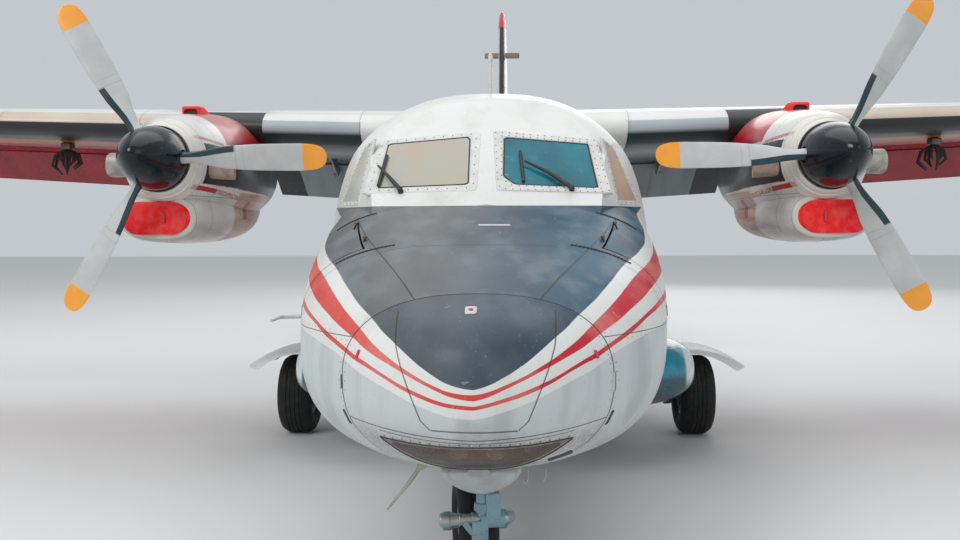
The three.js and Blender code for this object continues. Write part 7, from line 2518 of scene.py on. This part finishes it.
class FairingPaint(Finish):
    """Glossy teal paint with a white crown and seams."""

    name = "teal_fairing_paint"

    def build(self, sheet: Sheet) -> bpy.types.Material:
        """Draws the fairing's paint on its sheet."""
        s, z = sheet.s, sheet.z
        cloud, fine = sheet.noise(4, 5), sheet.noise(50, 3, at=2.0)
        sheet.base = sheet.blend(cloud.over(0.5, 0.4) * 0.4, "0890a8", "0b7187")
        # Painted shade: the lower part is a darker teal
        sheet.lay((z + (cloud - 0.5) * 0.04).under(0.70, 0.05), "044655")
        rim = (sheet.side + (cloud - 0.5) * 0.03).over(1.56, 0.02).either((z + (cloud - 0.5)
            * 0.03).over(0.91, 0.02))
        sheet.lay(rim * z.over(0.62, 0.1), "d3d8d6")
        lines = sheet.seam(s, 4.45, 0.003).either(sheet.seam(s, 5.6, 0.003), sheet.seam(z, 0.90, 0.002))
        dots = sheet.rivets(abs(abs(s - 4.45) - 0.02), z, 0.04, 0.0035)
        sheet.lay(lines.either(dots) * 0.6, "1d2a2d")
        sheet.lay(fine.over(0.66, 0.06) * 0.25, "9fb0b0")
        sheet.bump(dots * 0.6 - lines + fine * 0.15, 0.002, 0.45)
        return sheet.finish(sheet.base, 0.26 + (cloud - 0.5) * 0.2, 0.0, Coat_Weight=0.5,
            Coat_Roughness=0.08)


class Tyre(Finish):
    """Black rubber, dusty and scuffed."""

    name = "tyre_rubber"

    def build(self, sheet: Sheet) -> bpy.types.Material:
        """Draws the rubber on its sheet."""
        cloud, fine = sheet.noise(8, 5), sheet.noise(90, 4, at=2.0)
        sheet.base = sheet.blend(cloud.over(0.5, 0.3) * 0.5, "0c0d0f", "191a1a")
        dust = sheet.patches(18, 0.3, 0.2, at=3.0)
        sheet.lay(dust * 0.14, "6b6459")
        sheet.bump(fine * 0.7 + cloud * 0.3, 0.002, 0.6)
        return sheet.finish(sheet.base, 0.78 + dust * 0.15, 0.0)


class Floor(Finish):
    """A plain pale floor."""

    name = "studio_floor"

    def build(self, sheet: Sheet) -> bpy.types.Material:
        """Draws the floor on its sheet."""
        cloud = sheet.noise(0.6, 4)
        sheet.base = sheet.blend(cloud * 0.25, (0.72, 0.72, 0.71), (0.66, 0.66, 0.65))
        return sheet.finish(sheet.base, 0.75, 0.0)


class Looks:
    """All the finishes, by what they are for."""

    def __init__(self) -> None:
        """Names each finish once."""
        self.hull, self.wing, self.flap, self.nacelle = HullLivery(), WingPaint(), FlapPaint(), NacellePaint()
        self.fin, self.spinner, self.tyre = FinPaint(), Spinner(), Tyre()
        self.lamp_glass, self.floor = LampGlass(), Floor()
        self.tailplane = Painted("tailplane_paint", Tone.WHITE, "8b8478", 0.4, dirt=0.5)
        # Black paint for hinges and straps, and a dark sheet of painted shade in the nose's slits and the
        # scoops' mouths
        self.shadow = Painted("black_gap_paint", "0d1011", "2a2d2d", 0.6, scale=12)
        self.bunch = Painted("tiedown_rope_paint", "1d120f", "3a2a22", 0.9, scale=40)
        self.blades = {side: BladePaint(f"{side}_blade_paint", sign, BLADE_TURNS[side]) for side,
            sign in SIDES.items()}
        self.window_frame = Painted("window_frame_paint", "d4d4d0", "8a847d", 0.45, dirt=0.5, chips=0.06,
            scale=14)
        self.white_part = Painted("white_part_paint", "d4d2cc", "857d70", 0.45, dirt=0.6, scale=10)
        self.cover = Painted("wheel_cover_paint", "e6e8e8", "a39e95", 0.35, dirt=0.25, chips=0.0, scale=5)
        self.plug = Painted("plug_red", "ee0004", "cf0008", 0.6, dirt=0.1, chips=-0.2, scale=1.2)
        self.red_tag = Painted("red_tag_paint", "d0222a", "6d1512", 0.45, scale=30)
        self.latch_plate = Painted("latch_plate_paint", "c9ccca", "6d675d", 0.5, dirt=0.7, scale=25)
        self.beige_fitting = Painted("beige_fitting_paint", "a8a294", "5d574c", 0.5, dirt=0.7, scale=12)
        self.crossbar = Painted("crossbar_paint", "7d6f66", "4a4039", 0.5, dirt=0.6, scale=10)
        self.teal_fairing = FairingPaint()
        self.blue_steel = Painted("blue_gear_paint", "7d9fae", "3f4c50", 0.42, metal=0.1, dirt=0.8,
            chips=0.04, scale=9)
        self.silver = Metal("silver_barrel_steel", "b9bbb8", 0.34, stain="5e574e", dirt=0.4)
        self.leg_steel = Metal("main_leg_steel", "8d959a", 0.42)
        self.steel = Metal("dark_steel", Tone.STEEL, 0.42)
        self.dark_rivet = Metal("rivet_steel", "5b564f", 0.5)
        self.alloy = Metal("wheel_alloy", "a8acae", 0.4, stain="3d3832")
        self.interior = Painted("interior_primer", "8b9484", "4c5148", 0.6, dirt=0.6, scale=6)
        self.pale_exhaust = Metal("pale_exhaust_steel", "b5b2aa", 0.45, stain="4a3a2e", dirt=0.4)
        self.copper_exhaust = Metal("copper_exhaust_steel", "b39a8b", 0.5, stain="6a4a3a", dirt=0.5,
            metal=0.4)
        self.reflector = Metal("lamp_reflector", "d5d6d4", 0.16, dirt=0.15, metal=1.0)
        self.black_rubber = Painted("black_rubber", "1a1b1c", "4a4742", 0.65, scale=20)
        self.lens = Pane("lamp_lens", "c9cbc4", "a7a596", 0.12, 0.0)
        self.cream_pane = Pane("starboard_windscreen_cream", "a9aca0", "b9a48f", 0.4, 0.0)
        # The port windscreen is opaque teal, a painted reflection of the sky over the dark cockpit behind it
        self.teal_reflection_pane = Pane("port_windscreen_teal", "007484", "00505e", 0.24, 1.0)
        self.quarter_panes = {"port": Pane("port_quarter_peach", "d0a78d", "9a9a90", 0.3, 0.3),
            "starboard": Pane("starboard_quarter_pale", "c3c6bf", "9aa09b", 0.3, 0.3)}
        self.cabin_glass = Pane("cabin_window_dark", "1b2328", "36424a", 0.12, 0.2)
        self.tip_lamps = {"port": Pane("red_lamp", "a3161a", "6b0d12", 0.15, 0.0),
            "starboard": Pane("green_lamp", "14713f", "0c4a2a", 0.15, 0.0)}
        self.red_lens = Pane("beacon_lens", "b31a1c", "7a0f12", 0.15, 0.0)


@dataclass
class Studio:
    """The floor, the lights and the camera at the photograph's angle."""

    eye: tuple[float, float, float] = (0.1416, -3.571, 1.81)
    focal_pixels: float = 945.36
    width: float = 960.0
    sensor: float = 36.0
    view_end: float = 500.0
    yaw: float = -0.0323
    pitch: float = 0.0349
    roll: float = -0.0026
    floor_size: float = 160.0

    def camera(self) -> None:
        """Sets the camera where the photograph was taken."""
        cy, sy, cp, sp = math.cos(self.yaw), math.sin(self.yaw), math.cos(self.pitch), math.sin(self.pitch)
        forward, right = Vector((sy * cp, cy * cp, -sp)), Vector((cy, -sy, 0))
        up = right.cross(forward)
        cr, sr = math.cos(self.roll), math.sin(self.roll)
        across, over = right * cr + up * sr, up * cr - right * sr
        turn = Matrix((across, over, -forward)).transposed().to_4x4()
        data = bpy.data.cameras.new("photo_camera")
        data.sensor_width = self.sensor
        data.lens = self.focal_pixels / self.width * self.sensor
        data.clip_end = self.view_end
        eye = Vector((self.eye[0], self.eye[1] - LENGTH / 2 * MM, self.eye[2]))
        camera = bpy.data.objects.new("photo_camera", data)
        camera.matrix_world = Matrix.Translation(eye) @ turn
        bpy.context.scene.collection.objects.link(camera)
        bpy.context.scene.camera = camera

    def floor(self, looks: Looks) -> None:
        """Lays the floor."""
        Bench.take()
        bpy.ops.mesh.primitive_plane_add(size=self.floor_size, location=(0, 0, -0.002))
        floor = Bench.fresh("studio_floor")
        with Bench.editing(floor):
            bpy.ops.mesh.subdivide(number_cuts=3)
        floor.data.materials.append(looks.floor.material)

    def light(self, name: str, place: Sequence[float], target: Sequence[float], size: float,
            power: float) -> None:
        """Adds a soft lamp.

        Args:
            name: The lamp's name.
            place: Where it stands.
            target: What it points at.
            size: The side of its face.
            power: Its strength in watts.
        """
        data = bpy.data.lights.new(name, "AREA")
        data.size, data.energy = size, power
        lamp = bpy.data.objects.new(name, data)
        way = Vector(target) - Vector(place)
        lamp.matrix_world = Matrix.Translation(place) @ way.to_track_quat("-Z", "Y").to_matrix().to_4x4()
        bpy.context.scene.collection.objects.link(lamp)

    def lights(self) -> None:
        """Sets the key, the fill and the pale surroundings."""
        self.light("key", (-12, -20, 16), (0, -3, 1.5), 10, 2300)
        self.light("fill", (14, -18, 9), (0, -3, 1.5), 12, 350)
        self.light("top", (0, 0, 20), (0, 0, 1), 22, 1700)
        self.light("rim", (6, 20, 12), (0, 2, 2), 14, 900)
        world = bpy.data.worlds.new("studio")
        world.use_nodes = True
        sky = world.node_tree.nodes["Background"]
        sky.inputs["Color"].default_value = (0.83, 0.88, 0.93, 1)
        sky.inputs["Strength"].default_value = 0.66
        bpy.context.scene.world = world
        bpy.context.scene.view_settings.view_transform = "Standard"


def main() -> None:
    """Builds the whole aircraft piece by piece."""
    logging.basicConfig(level=logging.INFO, format="%(message)s")
    looks, studio = Looks(), Studio()
    studio.camera()
    studio.floor(looks)
    studio.lights()
    nose, cabin, chin, wing = Nose(), Cabin(), ChinGear(), Wing()
    engine, gear, tail = Engine(), MainGear(), Tail()
    steps = (nose.radome, nose.skin, nose.locker_doors, nose.windows, nose.wipers, nose.fittings,
        cabin.shell, cabin.tail_shell, cabin.doors, cabin.windows, cabin.roof, chin.house, chin.fork,
        chin.wheel, wing.panels, wing.flaps, wing.ailerons, wing.fittings, engine.cowl, engine.details,
        engine.propellers, gear.fairing, gear.leg, gear.wheels, gear.covers, tail.fin, tail.planes,
        tail.ventral)
    for step in steps:
        step(looks)
        LOG.info("made %s", step.__qualname__)


if __name__ == "__main__":
    main()
